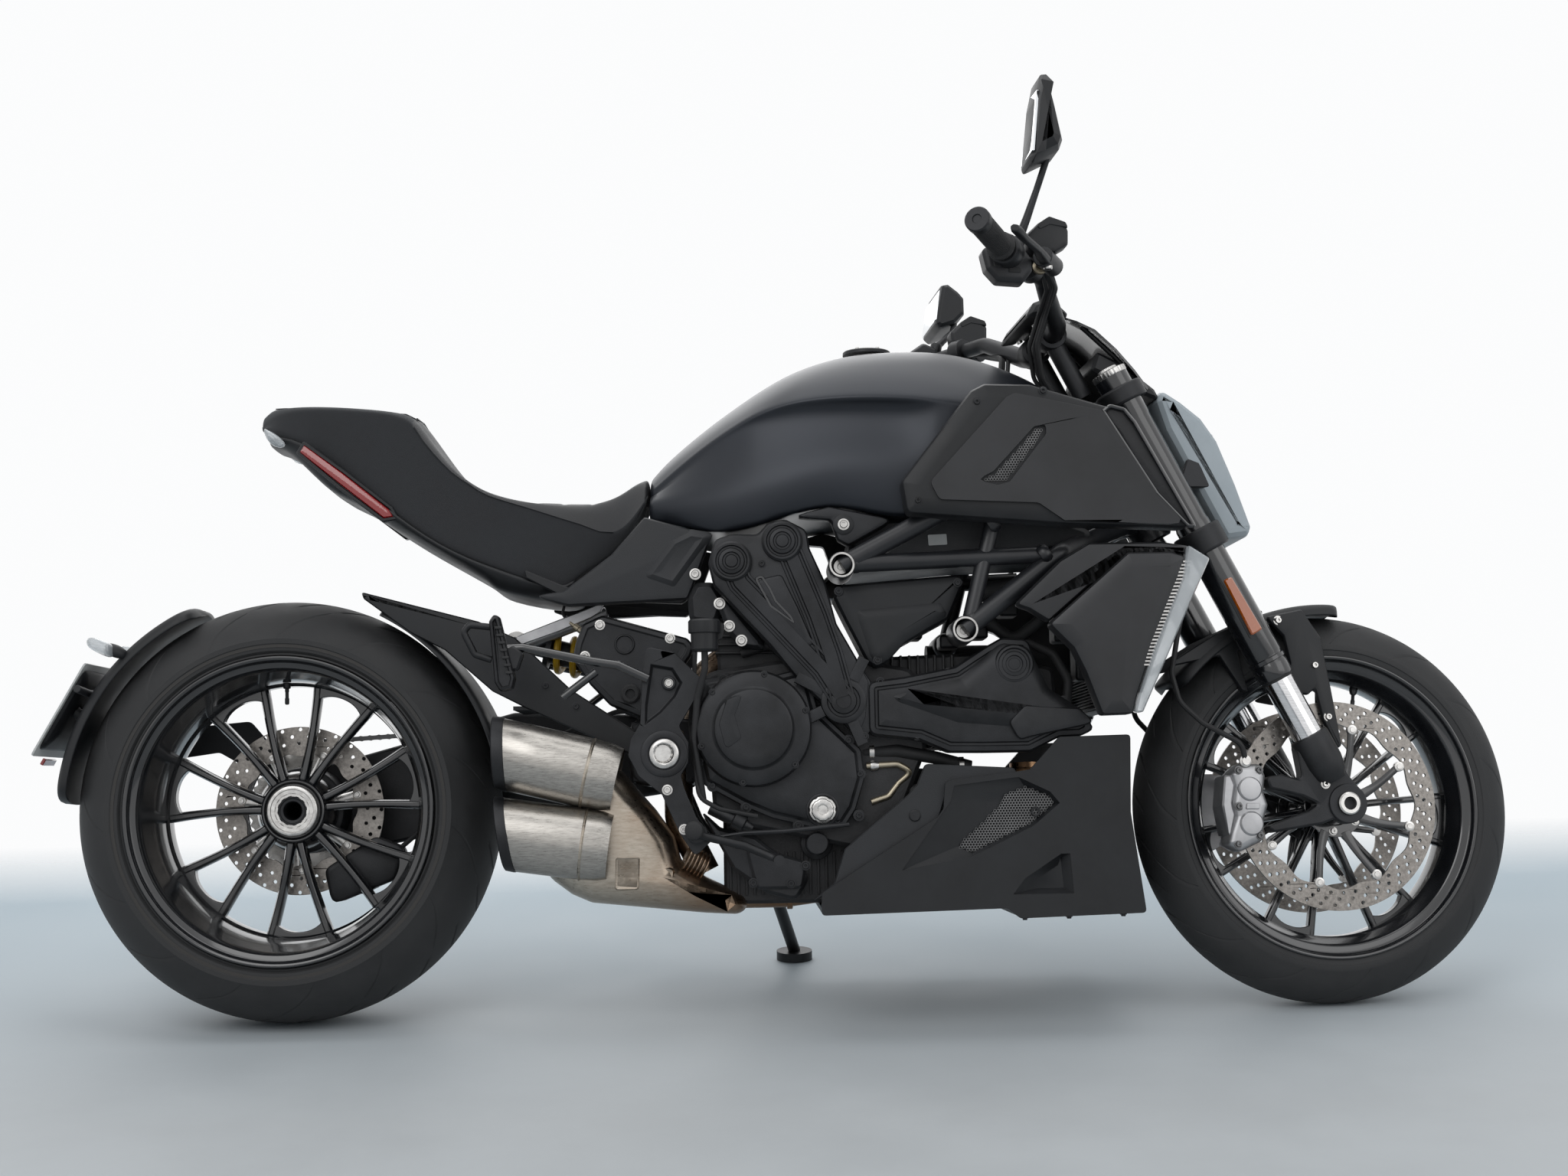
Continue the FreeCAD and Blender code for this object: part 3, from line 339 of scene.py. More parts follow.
def softened(points, radius, steps=3, closed=True):
    """Rounds the corners of a closed outline, or of an open line."""
    line = [Vector(p) for p in points]
    count = len(line)
    made = []
    for i, here in enumerate(line):
        if not closed and i in (0, count - 1):
            made.append(here)
            continue
        before = line[i - 1] - here
        after = line[(i + 1) % count] - here
        half = max(before.angle(after) / 2, 0.05)
        back = min(radius / math.tan(half), before.length * 0.48, after.length * 0.48)
        start = here + before.normalized() * back
        end = here + after.normalized() * back
        for k in range(steps + 1):
            t = k / steps
            made.append(start * (1 - t) ** 2 + here * 2 * t * (1 - t) + end * t * t)
    return made


def inset(outline, distance):
    """A closed flat outline moved inwards by a distance, or outwards if it is negative."""
    line = [Vector(p) for p in outline]
    area = sum(a.x * b.y - b.x * a.y for a, b in zip(line, line[1:] + line[:1]))
    side = 1 if area > 0 else -1
    made = []
    for i, here in enumerate(line):
        first = (here - line[i - 1]).normalized()
        second = (line[(i + 1) % len(line)] - here).normalized()
        normal = Vector((-first.y - second.y, first.x + second.x)) * side
        if normal.length < 0.01:
            normal = Vector((-first.y, first.x)) * side
        normal.normalize()
        lean = max(normal.dot(Vector((-first.y, first.x)) * side), 0.4)
        made.append(here + normal * distance / lean)
    return made


def relief(outline, radius, levels, steps=3):
    """A slab over an (x, z) outline, with its edge stepped or rounded by (inset, y) levels."""
    rows = []
    for distance, y in levels:
        corners = softened(inset(outline, distance), max(radius - distance, 0.8), steps)
        rows.append([Vector((p.x, y, p.y)) for p in corners])
    return skin(rows)


def holed(outline, holes, near, far):
    """A flat plate over an (x, z) outline with holes through it."""
    loops = [[Vector((p[0], p[1], 0)) for p in loop] for loop in [outline] + holes]
    flat = [p for loop in loops for p in loop]
    cap = [list(t) for t in tessellate_polygon(loops)]
    corners = [Vector((p.x, y, p.y)) for y in (near, far) for p in flat]
    count = len(flat)
    faces = cap + [[i + count for i in t[::-1]] for t in cap]
    first = 0
    for loop in loops:
        size = len(loop)
        for i in range(size):
            a, b = first + i, first + (i + 1) % size
            faces.append([a, b, b + count, a + count])
        first += size
    return corners, faces


def circle(x, z, radius, steps=10, turn=0.0):
    return [(x + radius * math.cos(turn + 2 * math.pi * k / steps),
             z + radius * math.sin(turn + 2 * math.pi * k / steps)) for k in range(steps)]


def polar(centre, radius, degrees):
    angle = math.radians(degrees)
    return centre[0] + radius * math.cos(angle), centre[1] + radius * math.sin(angle)


def tube(points, radius, bend=20, sides=14, steps=5, caps=True, squeeze=1.0, up=(0, 1, 0)):
    """A bar or hose along a line with rounded bends; radius may be a list, one for each given point."""
    line = softened(points, bend, steps, closed=False)
    if isinstance(radius, (list, tuple)):
        radii = []
        for i, r in enumerate(radius):
            radii += [r] * (1 if i in (0, len(radius) - 1) else steps + 1)
    else:
        radii = [radius] * len(line)
    normal = Vector(up)
    if abs((line[1] - line[0]).normalized().dot(normal)) > 0.95:
        normal = Vector((normal.y, 0, 1)).normalized()
    rows = []
    for i, here in enumerate(line):
        ahead = (line[min(i + 1, len(line) - 1)] - line[max(i - 1, 0)]).normalized()
        normal = (normal - ahead * normal.dot(ahead)).normalized()
        other = ahead.cross(normal)
        rows.append([here + (normal * math.cos(a) * squeeze + other * math.sin(a)) * radii[i]
                     for a in turns(sides)])
    return skin(rows, caps=caps)


def block(low, high):
    """A plain box, for cores that other shapes cover."""
    rows = [[(x, low[1], low[2]), (x, high[1], low[2]), (x, high[1], high[2]), (x, low[1], high[2])]
            for x in (low[0], high[0])]
    return skin(rows)


def hexed(angle):
    turned_in = (angle + math.pi / 6) % (math.pi / 3) - math.pi / 6
    return math.cos(math.pi / 6) / math.cos(turned_in)


def cap_bolt(spot, direction, size):
    """A socket-head bolt with its washer; size is the head's radius."""
    place_here = facing(spot, direction)
    outer = [(size * 1.45, -1), (size * 1.45, 0.8), (size, 1.0), (size, size * 0.75), (size * 0.86,
                                                                                       size * 0.95)]
    rows = []
    for step in range(24):
        angle = 2 * math.pi * step / 24
        turn = Vector((math.cos(angle), math.sin(angle), 0))
        row = [turn * r + Vector((0, 0, h)) for r, h in outer]
        key = size * 0.55 * hexed(angle)
        row += [turn * key + Vector((0, 0, size * 0.95)), turn * key + Vector((0, 0, size * 0.3)),
                Vector((0, 0, size * 0.25))]
        rows.append([place_here @ p for p in row])
    return skin(rows, around=False, caps=False, loop=True)


def hex_bolt(spot, direction, size):
    place_here = facing(spot, direction)
    rows = []
    for step in range(24):
        angle = 2 * math.pi * step / 24
        turn = Vector((math.cos(angle), math.sin(angle), 0))
        flat = size * hexed(angle)
        row = [turn * size * 1.5 + Vector((0, 0, -1)), turn * size * 1.5 + Vector((0, 0, 1)),
               turn * flat + Vector((0, 0, 1.2)), turn * flat + Vector((0, 0, size * 0.7)),
               turn * flat * 0.9 + Vector((0, 0, size * 0.85)), Vector((0, 0, size * 0.85))]
        rows.append([place_here @ p for p in row])
    return skin(rows, around=False, caps=False, loop=True)


def bolts(spots, direction, size, kind=cap_bolt):
    return merged(*(kind(spot, direction, size) for spot in spots))


def piece(name, shape, finish, body="machine", stands_for=(), bevel=0.0, level=0, sharp=35):
    """Places a shape on its body with its finish; it may stand for CAD nodes."""
    corners, faces = shape
    mesh = bpy.data.meshes.new(name)
    mesh.from_pydata([tuple(c) for c in corners], [], faces)
    work = bmesh.new()
    work.from_mesh(mesh)
    bmesh.ops.remove_doubles(work, verts=work.verts, dist=0.02)
    bmesh.ops.dissolve_degenerate(work, edges=work.edges, dist=0.01)
    bmesh.ops.recalc_face_normals(work, faces=work.faces)
    work.to_mesh(mesh)
    work.free()
    mesh.transform(BODY[body])
    mesh.materials.append(finish)
    for face in mesh.polygons:
        face.use_smooth = True
    if not level:
        mesh.set_sharp_from_angle(angle=math.radians(sharp))
    item = bpy.data.objects.new(name, mesh)
    bpy.context.scene.collection.objects.link(item)
    if bevel:
        edge = item.modifiers.new("edges", "BEVEL")
        edge.width = bevel * MM
        edge.segments = 2
        edge.limit_method = "ANGLE"
        edge.angle_limit = math.radians(38)
        edge.use_clamp_overlap = True
    if level:
        smooth = item.modifiers.new("smooth", "SUBSURF")
        smooth.levels = level
        smooth.render_levels = level
    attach(item, body)
    if stands_for:
        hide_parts(*stands_for)
    return item

def through(points):
    """A smooth function of x through the given (x, value) points."""
    def value(x):
        if x <= points[0][0]:
            return points[0][1]
        if x >= points[-1][0]:
            return points[-1][1]
        i = max(k for k in range(len(points) - 1) if points[k][0] <= x)
        (x0, v0), (x1, v1) = points[i], points[i + 1]
        before, after = points[max(i - 1, 0)], points[min(i + 2, len(points) - 1)]
        step = x1 - x0
        t = (x - x0) / step
        rise0 = (v1 - before[1]) / (x1 - before[0]) * step
        rise1 = (after[1] - v0) / (after[0] - x0) * step
        return ((2 * t ** 3 - 3 * t ** 2 + 1) * v0 + (t ** 3 - 2 * t ** 2 + t) * rise0
                + (3 * t ** 2 - 2 * t ** 3) * v1 + (t ** 3 - t ** 2) * rise1)
    return value


def inside(outline, x, z):
    """Whether a point is in a closed flat outline."""
    found = False
    for (ax, az), (bx, bz) in zip(outline, outline[1:] + outline[:1]):
        if (az > z) != (bz > z) and x < ax + (bx - ax) * (z - az) / (bz - az):
            found = not found
    return found


def honeycomb(outline, y, size, thick):
    """A wire mesh of hexagonal cells filling an (x, z) outline."""
    xs = [p[0] for p in outline]
    zs = [p[1] for p in outline]
    cells = []
    wide, high = size * math.sqrt(3), size * 1.5
    row = 0
    z = min(zs)
    while z < max(zs):
        x = min(xs) + (wide / 2 if row % 2 else 0)
        while x < max(xs):
            if inside(outline, x, z):
                rows = []
                for reach, depth in ((size, 0), (size * 0.72, 0), (size * 0.72, thick)):
                    rows.append([(x + reach * math.sin(k * math.pi / 3), y + depth,
                                  z + reach * math.cos(k * math.pi / 3)) for k in range(6)])
                cells.append(skin(rows, caps=False))
            x += wide
        z += high
        row += 1
    return merged(*cells)


def funnel(rim, rim_y, floor, floor_y, closed=True):
    """Sloping sides from an outline down to another with as many points, with a floor if closed."""
    rows = [[(x, rim_y, z) for x, z in rim], [(x, floor_y, z) for x, z in floor]]
    corners, faces = skin(rows, caps=False)
    if closed:
        faces.append([len(rim) + i for i in range(len(rim))])
    return corners, faces


def halves(right):
    """A whole cross-section from its right half, given from the top to the bottom."""
    return right + [(x, -y, z) for x, y, z in reversed(right) if abs(y) > 0.01]


def slab(outline, radius, low_y, high_y, edge=3):
    return relief(outline, radius, [(edge, low_y), (0, low_y + edge), (0, high_y - edge), (edge, high_y)])


def sweep(line, profile):
    """A moulded band along an open (x, z) line; profile lists (sideways, y) from one edge to the other."""
    points = [Vector(p) for p in line]
    rows = []
    for i, here in enumerate(points):
        before = (here - points[i - 1]).normalized() if i else None
        after = (points[i + 1] - here).normalized() if i < len(points) - 1 else None
        heading = ((before or after) + (after or before)).normalized()
        normal = Vector((-heading.y, heading.x))
        lean = max(normal.dot(Vector((-(after or before).y, (after or before).x))), 0.4)
        rows.append([(here.x + normal.x * s / lean, y, here.y + normal.y * s / lean) for s, y in profile])
    return skin(rows, around=False, caps=False)


def on_axis(height, ahead=0, side=0):
    """A point at a height on the steering axis, moved forward square to it and to the left."""
    return STEER_FOOT + STEER_UP * (height / math.cos(RAKE)) + STEER_FORWARD * ahead + Vector((0, side, 0))


def coil(start, end, radius, wire, turns, steps=22, sides=10):
    heading = Vector(end) - Vector(start)
    place_here = facing(start, heading)
    count = int(turns * steps)
    line = []
    for k in range(count + 1):
        t = k / count
        flat = min(t, 1 - t) * turns
        climb = t if flat > 1 else t
        angle = 2 * math.pi * turns * t
        line.append(place_here @ Vector((radius * math.cos(angle), radius * math.sin(angle),
                                         heading.length * climb)))
    return tube(line, wire, 0.01, sides, 1)


# Wheels


def tyre(name, body, centre, radius, half, sectors, groove_sweep, stands_for):
    """A tyre whose crown is one arc, with curved rain grooves and a ringed sidewall."""
    crown, bead, deep = 28, 233, 2.2
    shoulder = 262 if half > 100 else 252
    profile = []
    for k in range(crown + 1):
        t = -1 + 2 * k / crown
        fall = 1 - math.sqrt(max(0, 1 - (t * 0.94) ** 2))
        drop = (radius - shoulder) * fall / (1 - math.sqrt(1 - 0.94 ** 2))
        profile.append((radius - drop, t * half * 0.985, t))
    wall = [(shoulder - 2, half), (shoulder - 9, half + 0.0), (shoulder - 10.5, half - 1.4),
            (shoulder - 20, half - 3), (238, half - 7), (235.5, half - 6.4), (bead, half - 10)]
    rows_right = [(r, -y, None) for r, y in reversed(wall)]
    rows_left = [(r, y, None) for r, y in wall]
    whole = rows_right + profile + rows_left
    shares = [0, 0.035, 0.07, 0.105, 0.22, 0.34, 0.465, 0.5, 0.535, 0.57, 0.605, 0.72, 0.84]
    rows = []
    for sector in range(sectors):
        for share in shares:
            row = []
            for r, y, t in whole:
                flat = abs(t) if t is not None else 1
                turn = 2 * math.pi * (sector + share) / sectors + groove_sweep * flat ** 1.6
                depth = 0
                if t is not None:
                    first = 0.02 < share < 0.09 and (0.04 < t < 0.5 or (sector % 2 and 0.62 < t < 0.95))
                    second = 0.51 < share < 0.59 and (-0.5 < t < -0.04 or (sector % 2 and -0.95 < t < -0.62))
                    depth = deep if first or second else 0
                row.append((centre.x + (r - depth) * math.cos(turn), y,
                            centre.z + (r - depth) * math.sin(turn)))
            rows.append(row)
    return piece(name, skin(rows, around=False, caps=False, loop=True), TREAD, body, stands_for, sharp=28)


def sidewalls(name, body, centre, bands, half):
    """Raised smooth bands around both sidewalls, bare of any lettering."""
    shapes = []
    for low, high, lift in bands:
        profile = [(low, half - 5), (low + 0.8, half + lift), (high - 0.8, half + lift), (high, half - 5)]
        for direction in (RIGHT, LEFT):
            shapes.append(spin(profile, centre, direction, 120))
    return piece(name, merged(*shapes), SIDEWALL, body)


def spoke(centre, start, end, near, far, widths, depths, crown=2.5):
    """One tapering spoke: start and end are (radius, degrees); near and far its middle y at each end."""
    rows = []
    turn = 10
    for k in range(turn + 1):
        t = k / turn
        ease = t * t * (3 - 2 * t)
        r = start[0] + (end[0] - start[0]) * t
        angle = math.radians(start[1] + (end[1] - start[1]) * (0.25 * ease + 0.75 * t))
        width = widths[0] + (widths[1] - widths[0]) * t - math.sin(math.pi * t) * crown
        depth = (depths[0] + (depths[1] - depths[0]) * t) / 2
        y = near + (far - near) * ease
        out = Vector((math.cos(angle), 0, math.sin(angle)))
        side = Vector((-math.sin(angle), 0, math.cos(angle)))
        middle = Vector((centre.x, y, centre.z)) + out * r
        half = width / 2
        row = [(-half, depth * 0.7), (-half, -depth * 0.55), (-half * 0.55, -depth), (half * 0.55, -depth),
               (half, -depth * 0.55), (half, depth * 0.7), (half * 0.5, depth), (-half * 0.5, depth)]
        rows.append([middle + side * a + Vector((0, b, 0)) for a, b in row])
    return skin(rows)


def arch(centre, middle, spread_angle, low, high, near, far):
    """The web that joins a pair of spokes at the rim, with a shallow arch towards the hub."""
    rows = []
    steps = 14
    for k in range(steps + 1):
        t = -1 + 2 * k / steps
        angle = math.radians(middle + t * spread_angle)
        inner = low + (high - low) * 0.62 * (1 - abs(t) ** 2.4)
        out = Vector((math.cos(angle), 0, math.sin(angle)))
        foot = Vector((centre.x, 0, centre.z))
        rows.append([foot + out * inner + Vector((0, near, 0)), foot + out * high + Vector((0, near, 0)),
                     foot + out * high + Vector((0, far, 0)), foot + out * inner + Vector((0, far, 0))])
    return skin(rows)


def drilled(centre, outer, inner, near, far, rows_of_holes, scallops=0, petals=0.0):
    """A brake disc with rings of drilled holes and a waved inner edge."""
    edge = circle(centre.x, centre.z, outer, 120)
    holes = []
    for ring, count, size, shift in rows_of_holes:
        for k in range(count):
            x, z = polar((centre.x, centre.z), ring, (k + shift) * 360 / count)
            holes.append(circle(x, z, size, 8))
    mid = [polar((centre.x, centre.z), inner + petals * math.cos(math.radians(scallops * a)), a)
           for a in range(0, 360, 3)]
    return holed(edge, [mid] + holes, near, far)


def rear_wheel():
    centre = REAR_AXLE
    tyre("rear_tyre_rubber", "rear_wheel", centre, 324, 115, 30, 0.42, ["rear_tyre"])
    sidewalls("rear_tyre_sidewall_bands", "rear_wheel", centre, [(246, 254, 0.6), (236.5, 238.5, -5.5)], 113)
    barrel = [(233.5, -113.5), (233.5, -116), (229, -116.4), (226.5, -114), (224.5, -108), (221, -106),
              (216, -104), (213, -99), (211, -84), (203, -56), (199, -30), (197.5, 6), (194, 10), (193, 24),
              (194, 38), (198, 42), (201, 60), (211, 88), (215, 104), (224.5, 108), (226.5, 114), (229, 116),
              (233.5, 116), (233.5, 108), (220, 104), (219, 88), (204, 60), (204, -60), (219, -88),
              (220, -104), (233, -108)]
    barrel = [(r, -y) for r, y in barrel]
    shapes = [spin(barrel, centre, RIGHT, 160, hoop=True)]
    hub = [(31, -50), (60, -50), (62, -46), (61, -24), (54, -8), (50.5, -1), (49.5, 2.5), (47, 4), (44, 4),
           (43, 0.4), (31, 0.4)]
    shapes.append(spin([(r, h) for r, h in hub], centre, RIGHT, 96, hoop=True))
    for k in range(7):
        middle = 66.5 + k * 360 / 7
        for side in (-1, 1):
            shapes.append(spoke(centre, (46, middle + side * 8.5), (195, middle + side * 13.1), 16, 24,
                                (15, 15), (27, 24), 2))
        shapes.append(arch(centre, middle, 13.5, 172, 197, 13, 33))
    piece("rear_rim_casting", merged(*shapes), GLOSS, "rear_wheel", ["rear_rim"], bevel=1.6, sharp=30)


def rear_disc():
    centre = REAR_AXLE
    holes = [(128, 28, 3.2, 0), (117, 28, 3.2, 0.5), (106, 28, 3.0, 0.1)]
    piece("rear_disc_plate", drilled(centre, 132, 88, 52, 57, holes, 14, 2.5), DISC, "rear_wheel",
          ["rear_disc"], bevel=0.5)
    carrier = [spin([(60, -57), (60, -50.5), (34, -50.5), (34, -57)], centre, RIGHT, 48, hoop=True)]
    for k in range(7):
        carrier.append(spoke(centre, (50, 15 + k * 360 / 7), (101, 15 + k * 360 / 7), 54, 54.6, (20, 15),
                             (5, 4)))
    piece("rear_disc_carrier", merged(*carrier), STEEL, "rear_wheel", bevel=0.6)
    spots = [polar(REAR_SPOT, 93, 15 + k * 360 / 7) for k in range(7)]
    piece("rear_disc_bolts", bolts([(x, 52, z) for x, z in spots], RIGHT, 4), STEEL, "rear_wheel")


def rear_axle():
    """The hollow axle and its castellated nut."""
    centre = REAR_AXLE
    nut = [(30.5, 0.6), (39.5, 0.6), (40, 2), (40, 9.5), (38.6, 11.2), (36.5, 11.9), (33.5, 11.9),
           (32.6, 10.4), (27, 10.2), (26.2, 8.6)]
    piece("rear_wheel_nut", spin(nut + [(26, 2), (30.5, 0.6)], centre, RIGHT, 72), STEEL, "rear_wheel")
    teeth = [(26.2, 4), (26.2, 9.4), (22, 9.4), (22, 4)]
    piece("rear_nut_castle", spin(teeth, centre, RIGHT, 96, True,
                                  lambda a: 1 + 0.035 * (math.sin(a * 12) > 0)), STEEL, "rear_wheel",
          bevel=0.3)
    axle = [(22, 8), (20, 8), (19, 6), (15, 5.5), (14, 4), (14, -183), (28, -184), (30, -182), (30, -5),
            (22, 0)]
    piece("rear_axle_tube", spin(axle, centre, RIGHT, 48, True), CAST, "rear_wheel", ["rear_axle"], bevel=0.5)


def rear_valve():
    stem = [(0, 34), (2.6, 33.4), (3.4, 32), (3.4, 24), (2.7, 23.5), (2.7, 14), (3.2, 13.5), (3.2, 9),
            (5.6, 8), (6.4, 2), (6.4, 0), (0, 0)]
    x, z = polar(REAR_SPOT, 197.5, 92)
    inwards = (-math.cos(math.radians(92)), -0.12, -math.sin(math.radians(92)))
    piece("rear_valve_stem", spin(stem, (x, -18, z), inwards, 16), CAST, "rear_wheel")


def rear_sprocket():
    centre = REAR_AXLE
    sprocket = [(30.3, -176), (103.5, -176), (103.5, -169), (96, -168.2), (92, -168), (60, -168), (60, -157),
                (30.3, -157)]
    toothed = lambda a: 1 + 0.022 * math.cos(a * 43)
    piece("rear_sprocket_ring", spin(sprocket, centre, RIGHT, 258, True, toothed), STEEL, "rear_wheel",
          ["rear_sprocket"])
    piece("rear_sprocket_nuts", bolts([(x, 176, z) for x, z in (polar(REAR_SPOT, 48,
                                                                      k * 72) for k in range(5))], LEFT, 7,
                                      hex_bolt), STEEL, "rear_wheel")


def front_wheel():
    centre = FRONT_AXLE
    tyre("front_tyre_rubber", "front_wheel", centre, 300, 60, 30, 0.38, ["front_tyre"])
    sidewalls("front_tyre_sidewall_bands", "front_wheel", centre, [(240, 247, 0.3), (236.2, 237.6, -5)], 58)
    barrel = [(233.5, -57), (233.5, -60), (229.5, -60.5), (227, -58), (225, -53), (221.5, -51), (213, -49),
              (209, -44), (203, -26), (198, -20), (196.5, -10), (196.5, 10), (198, 20), (203, 26), (209, 44),
              (213, 49), (221.5, 51), (225, 53), (227, 58), (229.5, 60.5), (233.5, 60), (233.5, 53),
              (218, 48), (216, 30), (206, 10), (206, -10), (216, -30), (218, -48)]
    shapes = [spin(barrel, centre, RIGHT, 160, hoop=True)]
    hub = [(15.5, -56), (30, -56), (33, -53), (33, -40), (29, -30), (30, -18), (34, -10), (34, 10), (30, 18),
           (29, 30), (33, 40), (33, 53), (30, 56), (15.5, 56)]
    shapes.append(spin(hub, centre, RIGHT, 64, hoop=True))
    for k in range(7):
        middle = 97 + k * 360 / 7
        for side in (-1, 1):
            shapes.append(spoke(centre, (28, middle + side * 11), (198, middle + side * 10.4), 0, 0,
                                (13, 12), (27, 17), 2))
        shapes.append(arch(centre, middle, 11, 178, 198, -8, 8))
    piece("front_rim_casting", merged(*shapes), GLOSS, "front_wheel", ["front_rim"], bevel=1.4, sharp=30)


def front_discs():
    """Two drilled discs on finned carriers, held by round bobbins."""
    centre = FRONT_AXLE
    spot = (centre.x, centre.z)
    holes = [(152, 42, 3.1, 0), (142.5, 42, 3.1, 0.33), (133, 42, 3.1, 0.66)]
    disc = merged(drilled(centre, 160, 125, -63, -68, holes, 12, 3), drilled(centre, 160, 125, 63, 68, holes,
                                                                             12, 3))
    piece("front_disc_plates", disc, DISC, "front_wheel", ["front_discs"], bevel=0.4)
    carriers, bobbins = [], []
    for direction, y in ((RIGHT, -1), (LEFT, 1)):
        ring = [(30, 58), (46, 58), (48, 60), (48, 63), (30, 63)]
        carriers.append(spin(ring, centre, direction, 48, True))
        for k in range(8):
            angle = 20 + k * 45
            carriers.append(spoke(centre, (42, angle), (118, angle + 9), y * 61.5, y * 64.5, (17, 11),
                                  (5, 5)))
            x, z = polar(spot, 121, angle + 9)
            washer = [(0, 70.4), (4, 70.4), (4.6, 69.6), (6, 69.6), (7.6, 69), (7.8, 62), (0, 62)]
            bobbins.append(spin(washer, (x, 0, z), direction, 20))
    piece("front_disc_carriers", merged(*carriers), GLOSS, "front_wheel", bevel=0.6)
    piece("front_disc_bobbins", merged(*bobbins), STEEL, "front_wheel")
    spots = [polar(spot, 39, 22 + k * 60) for k in range(6)]
    piece("front_disc_bolts", both(bolts([(x, -63, z) for x, z in spots], RIGHT, 4.5)), STEEL, "front_wheel")


def front_valve():
    stem = [(0, 32), (2.6, 31.4), (3.4, 30), (3.4, 23), (2.7, 22.5), (2.7, 12), (5.6, 8), (6.4, 2), (6.4, 0),
            (0, 0)]
    x, z = polar((FRONT_AXLE.x, FRONT_AXLE.z), 197, 71)
    inwards = (-math.cos(math.radians(71)), -0.5, -math.sin(math.radians(71)))
    piece("front_valve_stem", spin(stem, (x, -8, z), inwards, 16), CAST, "front_wheel")


# Bodywork


# The saddle's heights and half widths along its length
SEAT_TOP = through([(-45, 938), (-31, 953), (0, 953), (102, 945), (160, 939), (200, 932), (231, 891),
                    (268, 839), (296, 814), (342, 798), (406, 793), (475, 792), (512, 803), (540, 824),
                    (560, 832)])
SEAT_SEAM = through([(-45, 922), (0, 936), (102, 931), (195, 914), (225, 874), (262, 833), (291, 812),
                     (314, 797), (383, 774), (452, 752), (508, 738), (540, 768), (560, 800)])
SEAT_LOW = through([(-45, 914), (-20, 903), (0, 896), (20, 889), (81, 852), (166, 778), (246, 720),
                    (330, 683), (428, 652), (460, 674), (513, 713), (549, 768), (560, 806)])
SEAT_FOOT = through([(-45, 40), (-20, 66), (20, 88), (81, 106), (166, 118), (246, 124), (330, 124),
                     (428, 116), (513, 92), (560, 80)])
SEAT_WAIST = through([(-45, 36), (-20, 62), (20, 86), (81, 104), (166, 114), (246, 121), (330, 123),
                      (428, 118), (500, 100), (560, 80)])
SEAT_CROWN = through([(-45, 22), (0, 56), (102, 76), (200, 80), (260, 92), (330, 102), (430, 100), (500, 84),
                     (560, 60)])
SEAT_RIBS = (388, 431, 474)


def seat_row(x):
    """The saddle's section at one station, from the ridge down to the base."""
    t, s, b = SEAT_TOP(x), SEAT_SEAM(x), SEAT_LOW(x)
    dip = 3.2 if any(abs(x - r) < 4 and x <= r for r in SEAT_RIBS) else 0
    w, c, f = SEAT_WAIST(x), SEAT_CROWN(x), SEAT_FOOT(x)
    pinch = 3 * math.sin(math.pi * min(1, max(0, (x + 45) / 600)))
    return halves([(x, 0, t - dip), (x, -c * 0.5, t - 1.5 - dip), (x, -c * 0.86, t - 5 - dip * 0.6),
                   (x, -c, t - 9), (x, -(w + c) / 2, (t + s) / 2 + 3), (x, -w + 2, s + 4), (x, -w + 0.5, s),
                   (x, -w, s - 5), (x, -(w + f) / 2 + pinch * 0.4, s * 0.5 + b * 0.5), (x, -f, b + 9),
                   (x, -f + 2, b + 2), (x, -f + 9, b), (x, -f * 0.4, b + 3), (x, 0, b + 4)])


def seat():
    """A two-tone saddle: a high suede hump and sides, and a vinyl top with three ribs for the rider."""
    stations = [-45, -38, -24, 0, 40, 81, 120, 160, 190, 203, 216, 240, 268, 296, 320, 350, 378, 383, 388,
                393, 412, 421, 426, 431, 436, 456, 464, 469, 474, 479, 500, 520, 538, 552, 560]
    cover = piece("seat_cover", skin([seat_row(x) for x in stations]), SUEDE, "machine", ["seat"], level=2)
    cover.data.materials.append(LEATHER)
    upright = BIKE.inverted()
    for face in cover.data.polygons:
        spot = upright @ face.center
        if spot.x > 206 and spot.z > SEAT_SEAM(spot.x) + 1:
            face.material_index = 1


def seat_piping():
    line = [(x, -SEAT_WAIST(x) - 0.2, SEAT_SEAM(x) + 1) for x in range(206, 500, 14)] + [(506, -99, 740)]
    lip = [(x, -SEAT_CROWN(x) - 1, SEAT_TOP(x) - 7) for x in range(-20, 205, 16)]
    cross = [(204, y, SEAT_TOP(204) - 0.5 - abs(y) * 0.06) for y in range(-76, 77, 19)]
    stitches = merged(both(tube(line, 1.2, 6, 8, 2)), both(tube(lip, 0.9, 6, 8, 2)),
                      tube(cross, 1.3, 6, 8, 2))
    piece("seat_piping", stitches, LEATHER)


